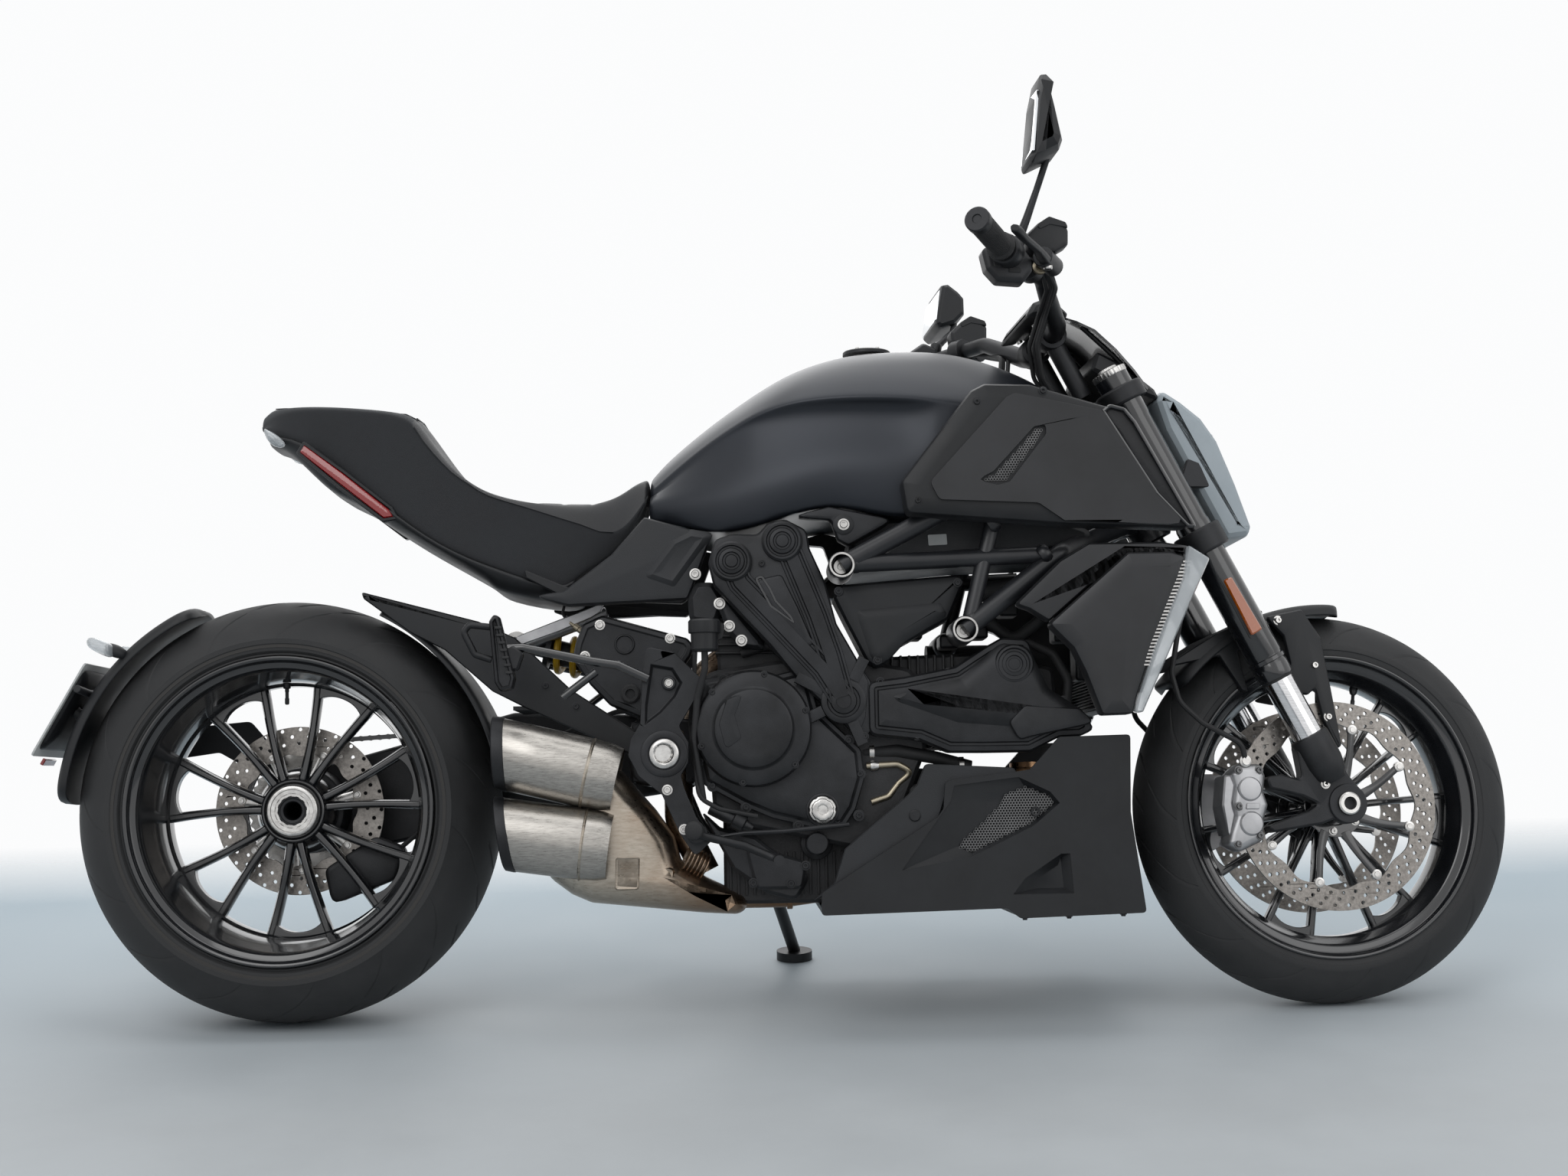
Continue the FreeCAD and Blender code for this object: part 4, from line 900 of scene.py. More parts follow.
def tail():
    """The dark tray under the seat, with its lens at the very back."""
    upper = through([(-30, 899), (-10, 896), (19, 889), (81, 851), (166, 777), (246, 719), (330, 682),
                     (428, 651), (452, 668)])
    under = through([(-30, 888), (-14, 884), (9, 873), (72, 811), (126, 785), (180, 745), (311, 668),
                     (330, 652), (428, 632), (452, 640)])
    wide = through([(-30, 66), (20, 92), (81, 110), (166, 121), (246, 127), (330, 127), (428, 120),
                    (452, 112)])
    rows = []
    for x in (-30, -22, -8, 12, 40, 72, 100, 126, 160, 200, 246, 290, 312, 322, 334, 380, 428, 446, 452):
        a, b, w = upper(x), under(x), wide(x)
        half = [(x, 0, a + 2), (x, -w * 0.9, a + 2), (x, -w - 1.5, a + 3), (x, -w - 2.5, a - 2),
                (x, -w + 2, a * 0.55 + b * 0.45), (x, -w * 0.82, b + 3), (x, -w * 0.74, b), (x, 0, b - 1)]
        rows.append(halves(half))
    piece("tail_tray", skin(rows), SATIN, "machine", ["tail_unit"], level=1)
    lens_rows = []
    for k, (x, z, r) in enumerate(((-30, 908, 5), (-25, 900, 13), (-15, 893, 16), (-5, 888, 13),
                                   (4, 884, 4))):
        lens_rows.append([(x, -84 + math.cos(a) * r * 0.8 - k, z + math.sin(a) * r * 0.7)
                          for a in turns(12)])
    piece("tail_corner_lenses", both(skin(lens_rows)), CLEAR, level=1)
    glass = [(32, 867), (39, 878), (100, 832), (168, 777), (175, 766), (160, 764), (96, 815)]
    levels = [(0, -112), (0, -122), (1.5, -124.5), (4, -125)]
    piece("tail_light_strips", both(relief(glass, 2, levels)), RED, "machine", ["tail_light"])
    rim = [(26, 866), (38, 885), (102, 838), (174, 781), (184, 762), (158, 758), (92, 809)]
    frame_ring = relief(rim, 4, [(0, -104), (0, -120), (1.5, -122.5), (5, -122.5), (6, -119)])
    piece("tail_light_surround", both(frame_ring), SATIN)


def tank():
    """The fuel tank: one crowned skin with a sharp shoulder over a hollow for the knee."""
    top = through([(560, 828), (581, 853), (641, 903), (712, 953), (782, 995), (853, 1019), (909, 1027),
                   (1016, 1026), (1085, 1011), (1155, 984), (1174, 972)])
    crease = through([(560, 800), (640, 858), (700, 893), (729, 906), (774, 919), (831, 924), (911, 923),
                      (989, 917), (1060, 905), (1100, 902), (1174, 900)])
    shoulder = through([(560, 66), (600, 92), (640, 116), (729, 160), (800, 183), (900, 201), (1000, 206),
                        (1060, 199), (1100, 178), (1174, 118)])
    belt_wide = through([(560, 100), (600, 128), (665, 158), (700, 171), (770, 190), (850, 201), (950, 209),
                         (1010, 206), (1100, 176), (1174, 116)])
    belt = through([(560, 784), (665, 786), (770, 812), (850, 828), (950, 826), (1100, 868), (1174, 884)])
    low = through([(560, 759), (600, 747), (665, 730), (709, 735), (770, 750), (835, 765), (907, 750),
                   (953, 744), (1010, 776), (1100, 838), (1174, 872)])
    hollow = through([(560, 0), (700, 3), (760, 10), (830, 16), (900, 19), (950, 17), (985, 6), (1010, 0),
                      (1174, 0)])
    rows = []
    for x in (560, 566, 585, 612, 645, 680, 715, 735, 765, 800, 840, 880, 920, 950, 970, 985, 1000, 1030,
              1065, 1100, 1140, 1166, 1174):
        t, c, b, lowest = top(x), crease(x), belt(x), low(x)
        w, v, d = shoulder(x), belt_wide(x), hollow(x)
        rise = t - c
        half = [(x, 0, t), (x, -w * 0.3, t - rise * 0.05), (x, -w * 0.58, t - rise * 0.24),
                (x, -w * 0.82, t - rise * 0.56), (x, -w * 0.95, t - rise * 0.84), (x, -w, c + 3),
                (x, -w + d * 0.18, c - 2), (x, -w + d * 0.7, c - 9), (x, -w + d - (v - w) * 0.2,
                                                                      c * 0.72 + b * 0.28),
                (x, -w + d * 0.6 - (v - w) * 0.6, c * 0.35 + b * 0.65), (x, -v, b),
                (x, -v * 0.985, (b + lowest) / 2), (x, -v * 0.955, lowest + 7), (x, -v * 0.93, lowest + 1),
                (x, -v * 0.88, lowest - 1), (x, -v * 0.5, lowest + 4), (x, 0, lowest + 6)]
        rows.append(halves(half))
    piece("tank_skin", skin(rows), PAINT, "machine", ["fuel_tank"], level=2)
    lip = [(0, 10.2), (16, 10.2), (17, 9.4), (27, 9.2), (28, 8), (35.5, 7.6), (37.6, 6), (38, 1), (0, 1)]
    piece("fuel_cap_disc", spin(lip, (905, 0, 1026), (0, 0, 1), 64), CAST, "cap", ["fuel_cap"], bevel=0.3)
    flap = [(-11, -4), (12, -5), (15, 0), (12, 5), (-11, 4)]
    rows = [[(905 + x * k, z * k, 1026 + h) for x, z in flap] for k, h in ((1, 10), (1, 11.6), (0.85, 12.4))]
    piece("fuel_cap_flap", skin(rows), STEEL, "cap", bevel=0.4)
    spots = [(905 + 31.5 * math.cos(k * math.pi / 3), 31.5 * math.sin(k * math.pi / 3),
              1033.6) for k in range(6)]
    piece("fuel_cap_screws", bolts(spots, (0, 0, 1), 2.6), STEEL, "cap")


INTAKE = [(945, 742), (938, 790), (1044, 924), (1064, 934), (1132, 932), (1243, 898), (1268, 891),
          (1284, 871), (1367, 714), (1184, 722)]
INTAKE_PANEL = [(980, 787), (1095, 911), (1108, 917), (1236, 889), (1310, 766), (1356, 718), (1176, 727),
                (1138, 754), (993, 761)]
VENT = [(1060, 790), (1076, 797), (1137, 862), (1147, 864), (1147, 857), (1094, 790), (1079, 786)]


def intakes():
    shell = relief(INTAKE, 12, [(30, -205), (0, -212), (0, -244), (3, -251), (9, -254), (24, -256)])
    piece("intake_shells", both(shell), SATIN, "machine", ["intake_covers"], bevel=0.6)
    rim = softened(INTAKE_PANEL, 10, 3)
    slot = softened(inset(VENT, -5), 5, 2)
    front = [(p.x, p.y) for p in rim]
    hole = [(p.x, p.y) for p in slot]
    panel = holed(front, [hole], -250, -262)
    piece("intake_panels", both(panel), BRUSHED, bevel=1.4)
    grille = honeycomb(VENT, -258, 2.4, 3)
    piece("intake_mesh", both(grille), STEEL_DARK)
    well = relief(VENT, 4, [(-6, -250), (-6, -252), (-2, -255), (0, -254), (3, -252)])
    piece("intake_wells", both(well), CORE)
    mouth = [(1238, 888), (1247, 896), (1268, 890), (1283, 871), (1366, 716), (1357, 717), (1313, 765)]
    frame_line = [(x, -258, z) for x, z in mouth] + [(mouth[0][0], -258, mouth[0][1])]
    piece("intake_mouth_rims", both(tube(frame_line, 3.2, 8, 10)), GLOSS)
    piece("intake_mouth_screens", both(relief(mouth, 5, [(0, -246), (0, -255), (2, -256)])), CORE)
    spots = [(1052, -254, 906), (962, -254, 761), (1150, -254, 921)]
    piece("intake_bolts", both(bolts(spots, RIGHT, 4.5)), CAST)


def radiator_group():
    upper = [(1100, 606), (1168, 670), (1211, 695), (1319, 695), (1360, 688), (1358, 676), (1267, 680),
             (1150, 580), (1122, 598)]
    main = [(1148, 576), (1267, 679), (1330, 679), (1352, 672), (1343, 641), (1300, 542), (1274, 470),
            (1267, 443), (1222, 442), (1199, 506), (1183, 540)]
    top = relief(upper, 6, [(8, -215), (0, -220), (0, -246), (3, -251), (9, -252)])
    side = relief(main, 7, [(16, -214), (0, -222), (0, -256), (2.5, -261), (9, -263.5), (22, -265)])
    piece("radiator_side_covers", both(merged(top, side)), BRUSHED, "machine", ["radiator_covers"], bevel=0.5)
    strip = [(1354, 689), (1386, 668), (1281, 445), (1269, 445), (1276, 470), (1302, 542), (1346, 641)]
    glass = relief(strip, 4, [(2, -236), (0, -240), (0, -262), (2.5, -266)])
    piece("front_light_glass", both(glass), CLEAR, "machine", ["front_indicators"])
    blades = []
    for k in range(30):
        t = k / 29
        x, z = 1348 - 62 * t - 14 * t * (1 - t), 664 - 150 * t
        blades.append(block((x - 1, -262, z - 1.2), (x + 11 - 3 * t, -246, z + 1.2)))
    piece("front_light_blades", both(merged(*blades)), STEEL)
    back = relief([(1352, 686), (1366, 680), (1284, 474), (1275, 474), (1303, 542), (1346, 641)], 3,
                  [(0, -238), (0, -246)])
    piece("front_light_backs", both(back), GLOSS)
    core = block((1246, -200, 456), (1278, 200, 684))
    corners, faces = core
    corners = [Vector((c.x + (c.z - 450) * 0.108 - 5, c.y, c.z)) for c in corners]
    fins = []
    for k in range(46):
        z = 458 + k * 5
        x = 1236 + (z - 450) * 0.108
        fins.append(block((x - 1, -198, z), (x + 34, 198, z + 1.6)))
    tanks = []
    for side in (-1, 1):
        tanks.append(block((1243, side * 202, 452), (1279, side * 205, 688)))
    piece("radiator_core", merged((corners, faces), *fins, *tanks), CORE, "machine", ["radiator"], bevel=0.3)
    hose = [(1290, -150, 668), (1240, -170, 672), (1180, -166, 650), (1110, -140, 640), (1050, -128, 634)]
    piece("radiator_hose", tube(hose, 15, 40, 16), RUBBER)
    hose = [(1266, 150, 470), (1225, 168, 466), (1180, 170, 500), (1120, 160, 560), (1000, 150, 560)]
    piece("radiator_hose_left", tube(hose, 15, 40, 16), RUBBER)
    clips = [spin([(15.3, 0), (16.4, 0), (16.4, 8), (15.3, 8)], (1220, -168, 665), (-1, 0, -0.1), 32, True)]
    piece("radiator_hose_clip", merged(*clips), STEEL)


PAN = [(811, 158), (1083, 164), (1102, 149), (1287, 154), (1268, 301), (1271, 415), (1166, 413), (1122, 366),
       (1102, 363), (1004, 352), (996, 347), (993, 311), (984, 298), (812, 191)]
PAN_UPPER = [(797, 178), (831, 205), (847, 254), (941, 331), (955, 346), (968, 377), (1100, 369), (1104, 356),
             (1000, 340), (986, 296), (814, 186)]
SCOOP_RIM = [(930, 222), (1004, 322), (1009, 344), (1104, 355), (1150, 333), (1164, 316), (1124, 283),
             (1034, 240)]
SCOOP_FLOOR = [(1013, 255), (1077, 314), (1084, 329), (1114, 341), (1148, 327), (1157, 316), (1121, 287),
               (1034, 246)]
NOTCH_RIM = [(1092, 184), (1110, 207), (1164, 242), (1177, 242), (1181, 184)]
NOTCH_FLOOR = [(1128, 192), (1132, 207), (1160, 225), (1164, 236), (1168, 192)]


def belly():
    outline = [(p.x, p.y) for p in softened(PAN, 6, 3)]
    side = holed(outline, [SCOOP_RIM, NOTCH_RIM], -196, -207)
    piece("pan_sides", both(side), SATIN, "machine", ["belly_pan"], bevel=2.0)
    upper = relief(PAN_UPPER, 8, [(0, -188), (0, -197), (1.5, -199)])
    piece("pan_upper_plates", both(upper), PANEL, bevel=0.5)
    scoops = merged(funnel(SCOOP_RIM, -205, SCOOP_FLOOR, -193), funnel(NOTCH_RIM, -205, NOTCH_FLOOR, -194))
    piece("pan_scoops", both(scoops), SATIN)
    piece("pan_mesh", both(honeycomb(SCOOP_FLOOR, -195.5, 2.5, 2)), STEEL_DARK)
    plug = [(0, 201.5), (7, 201.5), (8.5, 200.4), (9, 198), (9, 196)]
    socket = [(4, 199), (5, 199.4), (6.6, 199.4), (7.4, 198), (7.4, 192)]
    plugs = merged(spin(plug, (951, 0, 301), RIGHT, 32), spin(socket, (1129, 0, 304), RIGHT, 32))
    piece("pan_plugs", both(plugs), CAST)
    floor_line = [(812, 160), (1083, 165), (1102, 151), (1286, 156), (1284, 165), (1106, 163), (1088, 174),
                  (812, 170)]
    rows = [[(x, -199, z), (x, 199, z)] for x, z in floor_line]
    corners = [Vector(p) for row in rows for p in row]
    count = len(floor_line)
    faces = [[2 * i, 2 * ((i + 1) % count), 2 * ((i + 1) % count) + 1, 2 * i + 1] for i in range(count)]
    faces += [[2 * i for i in range(count)], [2 * i + 1 for i in range(count)][::-1]]
    nose_rows = [[(x, -199, z), (x, -120, z - 2), (x, 120, z - 2), (x, 199, z)]
                 for x, z in ((1284, 158), (1266, 300), (1262, 296), (1278, 158))]
    piece("pan_floor", merged((corners, faces), skin(nose_rows)), SATIN, bevel=1.5)
    studs = [(1110, -190, 149), (1175, -190, 150), (1255, -190, 152)]
    piece("pan_screws", both(bolts(studs, (0, 0, -1), 3.5)), CAST)


def side_panels():
    base = [(384, 640), (440, 624), (620, 631), (628, 650), (657, 726), (622, 738), (556, 757), (505, 700),
            (432, 646)]
    shape = relief(base, 6, [(0, -118), (0, -140), (2.5, -145), (8, -146)])
    facet = relief([(556, 666), (600, 650), (646, 712), (656, 728), (626, 733), (598, 720)], 5,
                   [(-4, -143), (0, -146.5), (7, -150), (14, -147.5)])
    piece("side_panels_grained", both(merged(shape, facet)), PANEL, "machine", ["side_panels"], bevel=0.8)
    blade = relief([(372, 682), (446, 650), (622, 633), (610, 626), (440, 634), (376, 668)], 3,
                   [(0, -112), (0, -130), (1.5, -132)])
    piece("side_panel_blades", both(blade), SATIN, bevel=0.6)


def band(centre, inner, outer, half, start, sweep, edge, droop=0.0, taper=0.3, steps=40):
    """A mudguard: a curved blade around an axle, with rolled edges and rounded, narrowing ends."""
    rows = []
    for k in range(steps + 1):
        t = k / steps
        ends = min(1, min(t, 1 - t) / 0.09)
        narrow = taper + (1 - taper) * math.sqrt(max(0, 1 - (1 - ends) ** 2))
        angle = math.radians(start + sweep * t)
        out = Vector((math.cos(angle), 0, math.sin(angle)))
        w = half * narrow
        foot = Vector((centre.x, 0, centre.z))
        row = [(inner, 0), (inner - droop * 0.3, -w * 0.7), (inner - droop, -w + 3), (inner - droop - edge,
                                                                                      -w),
               (inner - droop - edge + 1, -w - 1.5), (outer - droop * 0.8, -w + 2), (outer - droop * 0.2,
                                                                                     -w * 0.72), (outer, 0)]
        row += [(r, -y) for r, y in row[::-1] if y]
        rows.append([foot + out * r + Vector((0, y, 0)) for r, y in row])
    return skin(rows)


def rear_mudguard():
    centre = REAR_AXLE
    guard = band(centre, 334, 345, 96, 113.5, 64, 8, 2, 0.55)
    piece("rear_mudguard_blade", guard, SATIN, "machine", ["rear_mudguard"], level=1)
    arm = [(-338, 360), (-330, 450), (-100, 470), (-40, 400), (-74, 376), (-150, 420), (-300, 400),
           (-318, 350)]
    arm_shape = relief(arm, 14, [(0, 150.5), (0, 155), (3, 158)])
    ear = block((-338, 70, 376), (-330, 156, 448))
    piece("rear_mudguard_arm", merged(arm_shape, ear), CAST, bevel=2.5)
    arm_bolts = bolts([(-70, 158, 400), (-58, 158, 440), (-318, 158, 380), (-316, 158, 430)], LEFT, 6)
    piece("rear_mudguard_bolts", arm_bolts, STEEL)


PLATE_LEAN = math.radians(29.7)
PLATE_UP = Vector((math.sin(PLATE_LEAN), 0, math.cos(PLATE_LEAN)))
PLATE_AHEAD = Vector((math.cos(PLATE_LEAN), 0, -math.sin(PLATE_LEAN)))
PLATE_FOOT = Vector((-378, 0, 415))


def on_plate(forward, left, high):
    """A point by the leaning number plate: ahead of its face, to the left, and up along it."""
    return PLATE_FOOT + PLATE_AHEAD * forward + PLATE_UP * high + Vector((0, left, 0))


def plate_holder():
    holder_rows = []
    for forward, wide, low_edge, high_edge in ((4.3, 88, 12, 150), (9, 84, 16, 146), (13, 60, 40, 130)):
        outline = softened([Vector((-wide, low_edge)), Vector((wide, low_edge)), Vector((wide, high_edge)),
                            Vector((-wide, high_edge))], 14, 3)
        holder_rows.append([on_plate(forward, p.x, p.y) for p in outline])
    neck = tube([on_plate(10, -40, 84), on_plate(36, -34, 78)], 9, 4, 12)
    neck_left = tube([on_plate(10, 40, 84), on_plate(36, 34, 78)], 9, 4, 12)
    bar = tube([on_plate(16, -112, 122), on_plate(22, -70, 120), on_plate(26, 70, 120),
                on_plate(16, 112, 122)], 6, 20, 12)
    piece("plate_holder", merged(skin(holder_rows), neck, neck_left, bar), SATIN, bevel=1)


def number_plate():
    """A blank plate with two holes and a raised edge, and the reflector under it."""
    sheet_line = [(p.x, p.y) for p in softened([Vector((-95, 0)), Vector((95, 0)), Vector((95, 160)),
                                                 Vector((-95, 160))], 8, 4)]
    holes = [circle(-75, 130, 3.5, 12), circle(75, 130, 3.5, 12)]
    corners, faces = holed(sheet_line, holes, 0.6, 3.6)
    corners = [on_plate(c.y, c.x, c.z) for c in corners]
    rim = tube([on_plate(0.8, p[0], p[1]) for p in [(-91, 4), (91, 4), (91, 156), (-91, 156), (-91, 4)]],
               1.1, 7, 8)
    piece("number_plate_blank", merged((corners, faces), rim), PLATE, "machine", ["number_plate"], bevel=0.4)
    reflector_rows = [[on_plate(f, y, z) for y, z in ((-28, -14), (28, -14), (28, -3),
                                                      (-28, -3))] for f in (0.5, 6)]
    piece("rear_reflector", skin(reflector_rows), RED, bevel=1.2)


def rear_indicators():
    lamps, backs = [], []
    for side in (-1, 1):
        rows = []
        for t, r in ((0, 5), (0.06, 9.5), (0.2, 12.5), (0.5, 14), (0.8, 14.4), (0.94, 13), (1, 9)):
            spot = Vector((-294, side * 90, 585)).lerp(Vector((-252, side * 108, 569)), t)
            rows.append([spot + Vector((math.sin(a) * 0.25, side * 0.1, math.cos(a))) * r * 0.82
                         + Vector((0, math.sin(a), 0)) * r for a in turns(16)])
        lamps.append(skin(rows))
        rows = []
        for t, r in ((-0.02, 10), (0.2, 12), (0.6, 13), (1, 9), (1.12, 5)):
            spot = Vector((-262, side * 100, 574)).lerp(Vector((-238, side * 92, 566)), t)
            rows.append([spot + Vector((math.sin(a) * 0.3, 0, math.cos(a))) * r * 0.85
                         + Vector((0, math.sin(a), 0)) * r for a in turns(16)])
        backs.append(skin(rows))
        backs.append(tube([(-258, side * 98, 572), (-246, side * 86, 566), (-238, side * 76, 560)], 6.5, 8,
                          12))
    piece("rear_indicator_lenses", merged(*lamps), CLEAR, "machine", ["rear_indicators"], level=1)
    piece("rear_indicator_bodies", merged(*backs), SATIN, level=1)


def hugger():
    cheek = [(122, 654), (300, 606), (356, 580), (440, 500), (560, 420), (548, 392), (373, 472), (321, 499),
             (249, 563), (197, 590), (126, 643)]
    side = relief(cheek, 8, [(0, -92), (0, -101), (2, -104.5), (9, -105)])
    blade = band(REAR_AXLE, 334, 341, 101, 8, 56, 4, 1.5, 0.9)
    bridge = block((352, -100, 470), (378, 60, 476))
    piece("hugger_blade", blade, SATIN, "machine", ["rear_hugger"], level=1)
    piece("hugger_cheek", merged(side, bridge), SATIN, bevel=1.2)
    piece("hugger_bolts", bolts([(402, -105, 506), (448, -105, 474), (352, -105, 548)], RIGHT, 4.5), CAST)


# Engine, exhaust and drive

BELT_HUB = (850, 0, 472)
BELT_HUB_SPOT = (BELT_HUB[0], BELT_HUB[2])
CLUTCH = (716, 0, 433)
CLUTCH_RIM = 203
COVER_FACE = 171
DRIVE_SPROCKET = (655, 0, 430)
GENERATOR = (850, 0, 440)
OIL_CAP = (816, 0, 312)
STAND_AXIS = Vector((0.017, 0.51, 0.86)).normalized()
STAND_PIVOT = Vector((738, 168, 205))
SWING_PIVOT = (584, 0, 398)

CASE = [(655, 300), (640, 520), (820, 545), (960, 520), (975, 400), (930, 290), (880, 250)]
SIDE_COVER = [(622, 430), (640, 509), (690, 516), (748, 513), (797, 524), (812, 462), (876, 400), (880, 357),
              (866, 312), (848, 285), (806, 284), (742, 300), (700, 318), (640, 352)]
REAR_BELT = [(652, 680), (662, 716), (690, 724), (726, 722), (742, 740), (768, 745), (800, 728), (804, 700),
             (826, 650), (842, 587), (878, 522), (890, 500), (884, 446), (872, 418), (836, 452), (786, 500),
             (742, 556), (698, 604), (660, 646)]
FRONT_BELT = [(886, 500), (940, 506), (1016, 520), (1060, 548), (1086, 562), (1126, 559), (1149, 486),
              (1200, 454), (1223, 424), (1200, 414), (1169, 413), (1125, 392), (1056, 392), (1004, 393),
              (961, 412), (886, 421)]
BOX = [(838, 628), (850, 646), (1026, 659), (1035, 648), (1010, 592), (942, 556), (914, 526), (900, 520),
       (886, 530), (856, 590)]


def engine_core():
    shapes = [slab(CASE, 24, -149, 149, 6), slab([(668, 196), (684, 173), (846, 173), (860, 198), (860, 400),
                                                  (668, 400)], 10, -112, 112, 5)]
    for x in range(676, 850, 12):
        shapes.append(block((x, -115, 186), (x + 4, 115, 250)))
    shapes.append(slab([(900, 404), (900, 540), (1060, 545), (1172, 520), (1178, 430), (1120, 402)], 12,
                       -119, 119, 5))
    shapes.append(slab([(664, 500), (660, 640), (676, 722), (784, 728), (800, 640), (796, 500)], 14, -119,
                       119, 5))
    for k in range(9):
        x = 912 + k * 13
        shapes.append(slab([(x, 402), (x, 542), (x + 4, 542), (x + 4, 402)], 1.5, -128, 128, 1))
    for k in range(8):
        z = 548 + k * 13
        shapes.append(slab([(660, z), (660, z + 4), (804, z + 4), (804, z)], 1.5, -128, 128, 1))
    for way in (-1, 1):
        start = STAND_PIVOT + STAND_AXIS * (13.4 if way > 0 else -26)
        shapes.append(spin([(0, 0), (18.5, 0), (20, 1.5), (20, 11), (18.5, 12.6), (0, 12.6)], start,
                           STAND_AXIS, 40))
        root = STAND_PIVOT + STAND_AXIS * way * 20
        shapes.append(tube([root, root + Vector((0, -84, 50))], 8, 2, 12))
    shapes.append(spin([(0, -30), (7.6, -30), (8, -29), (8, 29), (7.6, 30), (0, 30)], STAND_PIVOT,
                       STAND_AXIS, 24))
    piece("engine_core", merged(*shapes), BLOCK, "machine", ["engine_block"], bevel=1.0)
    lower = [slab([(632, 318), (664, 288), (716, 274), (752, 246), (798, 214), (776, 178), (732, 190),
                   (682, 226)], 14, -150, -108, 5)]
    lower.append(slab([(700, 262), (792, 236), (786, 196), (716, 196)], 10, -158, -140, 4))
    lower.append(spin([(0, 30), (15, 30), (17, 28), (17, 0), (24, -2), (24, -20), (0, -20)],
                      (808, -130, 262), RIGHT, 32))
    piece("engine_lower_castings", merged(*lower), CAST, bevel=1.2)
    spots = [(690, -151, 264), (742, -151, 232), (768, -159, 204), (712, -159, 206), (790, -159, 230)]
    piece("engine_lower_bolts", bolts(spots, RIGHT, 5), CAST)


def side_covers():
    levels = [(0, -148), (0, -168), (2, -171), (7, -171.5), (9, -173), (12, -178), (20, -181), (40, -182.5)]
    cover = relief(SIDE_COVER, 14, levels)
    piece("side_cover_casting", cover, CAST, "machine", ["engine_cover_right"], sharp=24)
    spots = [(672, 509), (748, 505), (628, 446), (637, 387), (808, 456), (857, 414), (873, 364), (870, 303),
             (838, 296), (780, 290), (703, 318), (654, 350)]
    bosses = merged(*(spin([(9, -12), (8.4, 0), (6, 0)], (x, -COVER_FACE, z), RIGHT, 24) for x, z in spots))
    piece("side_cover_bosses", bosses, CAST)
    piece("side_cover_bolts", bolts([(x, -COVER_FACE, z) for x, z in spots], RIGHT, 4.6), CAST)


def clutch_cover():
    """A broad bowl with a stepped rim, bare in the middle."""
    bowl = [(0, 215), (40, 215), (54, 214.4), (57, 213), (59.5, 209), (62, 207.4), (66, 207), (78, 205.6),
            (83, 203), (86, 197), (86.5, 180), (88, 172)]
    clutch = spin(bowl, CLUTCH, RIGHT, 96)
    facet_rim = [(674, 400), (664, 440), (676, 476), (704, 488), (690, 452), (700, 418)]
    facet = relief(facet_rim, 8, [(-2, -211), (2, -215.6), (9, -216.6)])
    piece("clutch_cover_bowl", merged(clutch, facet), CAST, "machine", ["clutch_cover"], sharp=26)
    spots = [polar((CLUTCH[0], CLUTCH[2]), 80.5, 18 + k * 60) for k in range(6)]
    piece("clutch_cover_bolts", bolts([(x, -CLUTCH_RIM, z) for x, z in spots], RIGHT, 4), CAST)


def oil_filler():
    cap = [(0, 190), (7, 190), (8, 192.5), (13, 193.5), (15.5, 192.5), (16.5, 190), (17, 186), (19.5, 185.4),
           (20.5, 184), (21, 178)]
    notches = lambda a: 1 - 0.05 * (math.cos(a * 6) > 0.55)
    piece("oil_filler_cap", spin(cap, OIL_CAP, RIGHT, 72, wave=notches), STEEL)
    lip = [(19, 182), (22, 185), (24, 184), (25, 178)]
    piece("oil_filler_rim", spin(lip, OIL_CAP, RIGHT, 48), CAST)


def rear_belt_cover():
    rear = relief(REAR_BELT, 16, [(0, -151), (0, -184), (3, -189), (8, -190.5)])
    legs = []
    outer = [(19, -190), (18, -193.5), (15, -194), (13.4, -191.6), (10.6, -191.6), (9, -194.4), (0, -195),
             (-9, -194.4), (-10.6, -191.6), (-13.4, -191.6), (-15, -194), (-18, -193.5), (-19, -190)]
    legs.append(sweep([(686, 682), (700, 650), (752, 594), (820, 520), (846, 478)], outer))
    legs.append(sweep([(766, 711), (776, 690), (812, 600), (832, 540), (848, 478)], outer))
    rings = []
    boss = [(31, 188), (30, 196), (27, 199), (24, 199), (22.5, 196.4), (20, 196.4), (18.5, 200), (14, 201),
            (12.5, 198.6), (10, 198.6), (8.6, 200.4), (0, 201)]
    for x, z in ((687, 682), (763, 711)):
        rings.append(spin(boss, (x, 0, z), RIGHT, 64))
    window = [(724, 652), (760, 660), (783, 612), (806, 556), (794, 556), (758, 596)]
    panel = relief(window, 6, [(-3, -189), (0, -193), (3, -194)])
    piece("rear_belt_cover", merged(rear, *legs, *rings, panel), CAST, "machine", ["belt_covers"], sharp=28)
    slot = [(722, 656), (732, 659), (744, 640), (752, 622), (774, 598), (779, 588), (744, 614)]
    piece("rear_belt_slot", relief(slot, 4, [(-2, -192), (-1, -195), (2, -195), (4, -190)]), GLOSS)


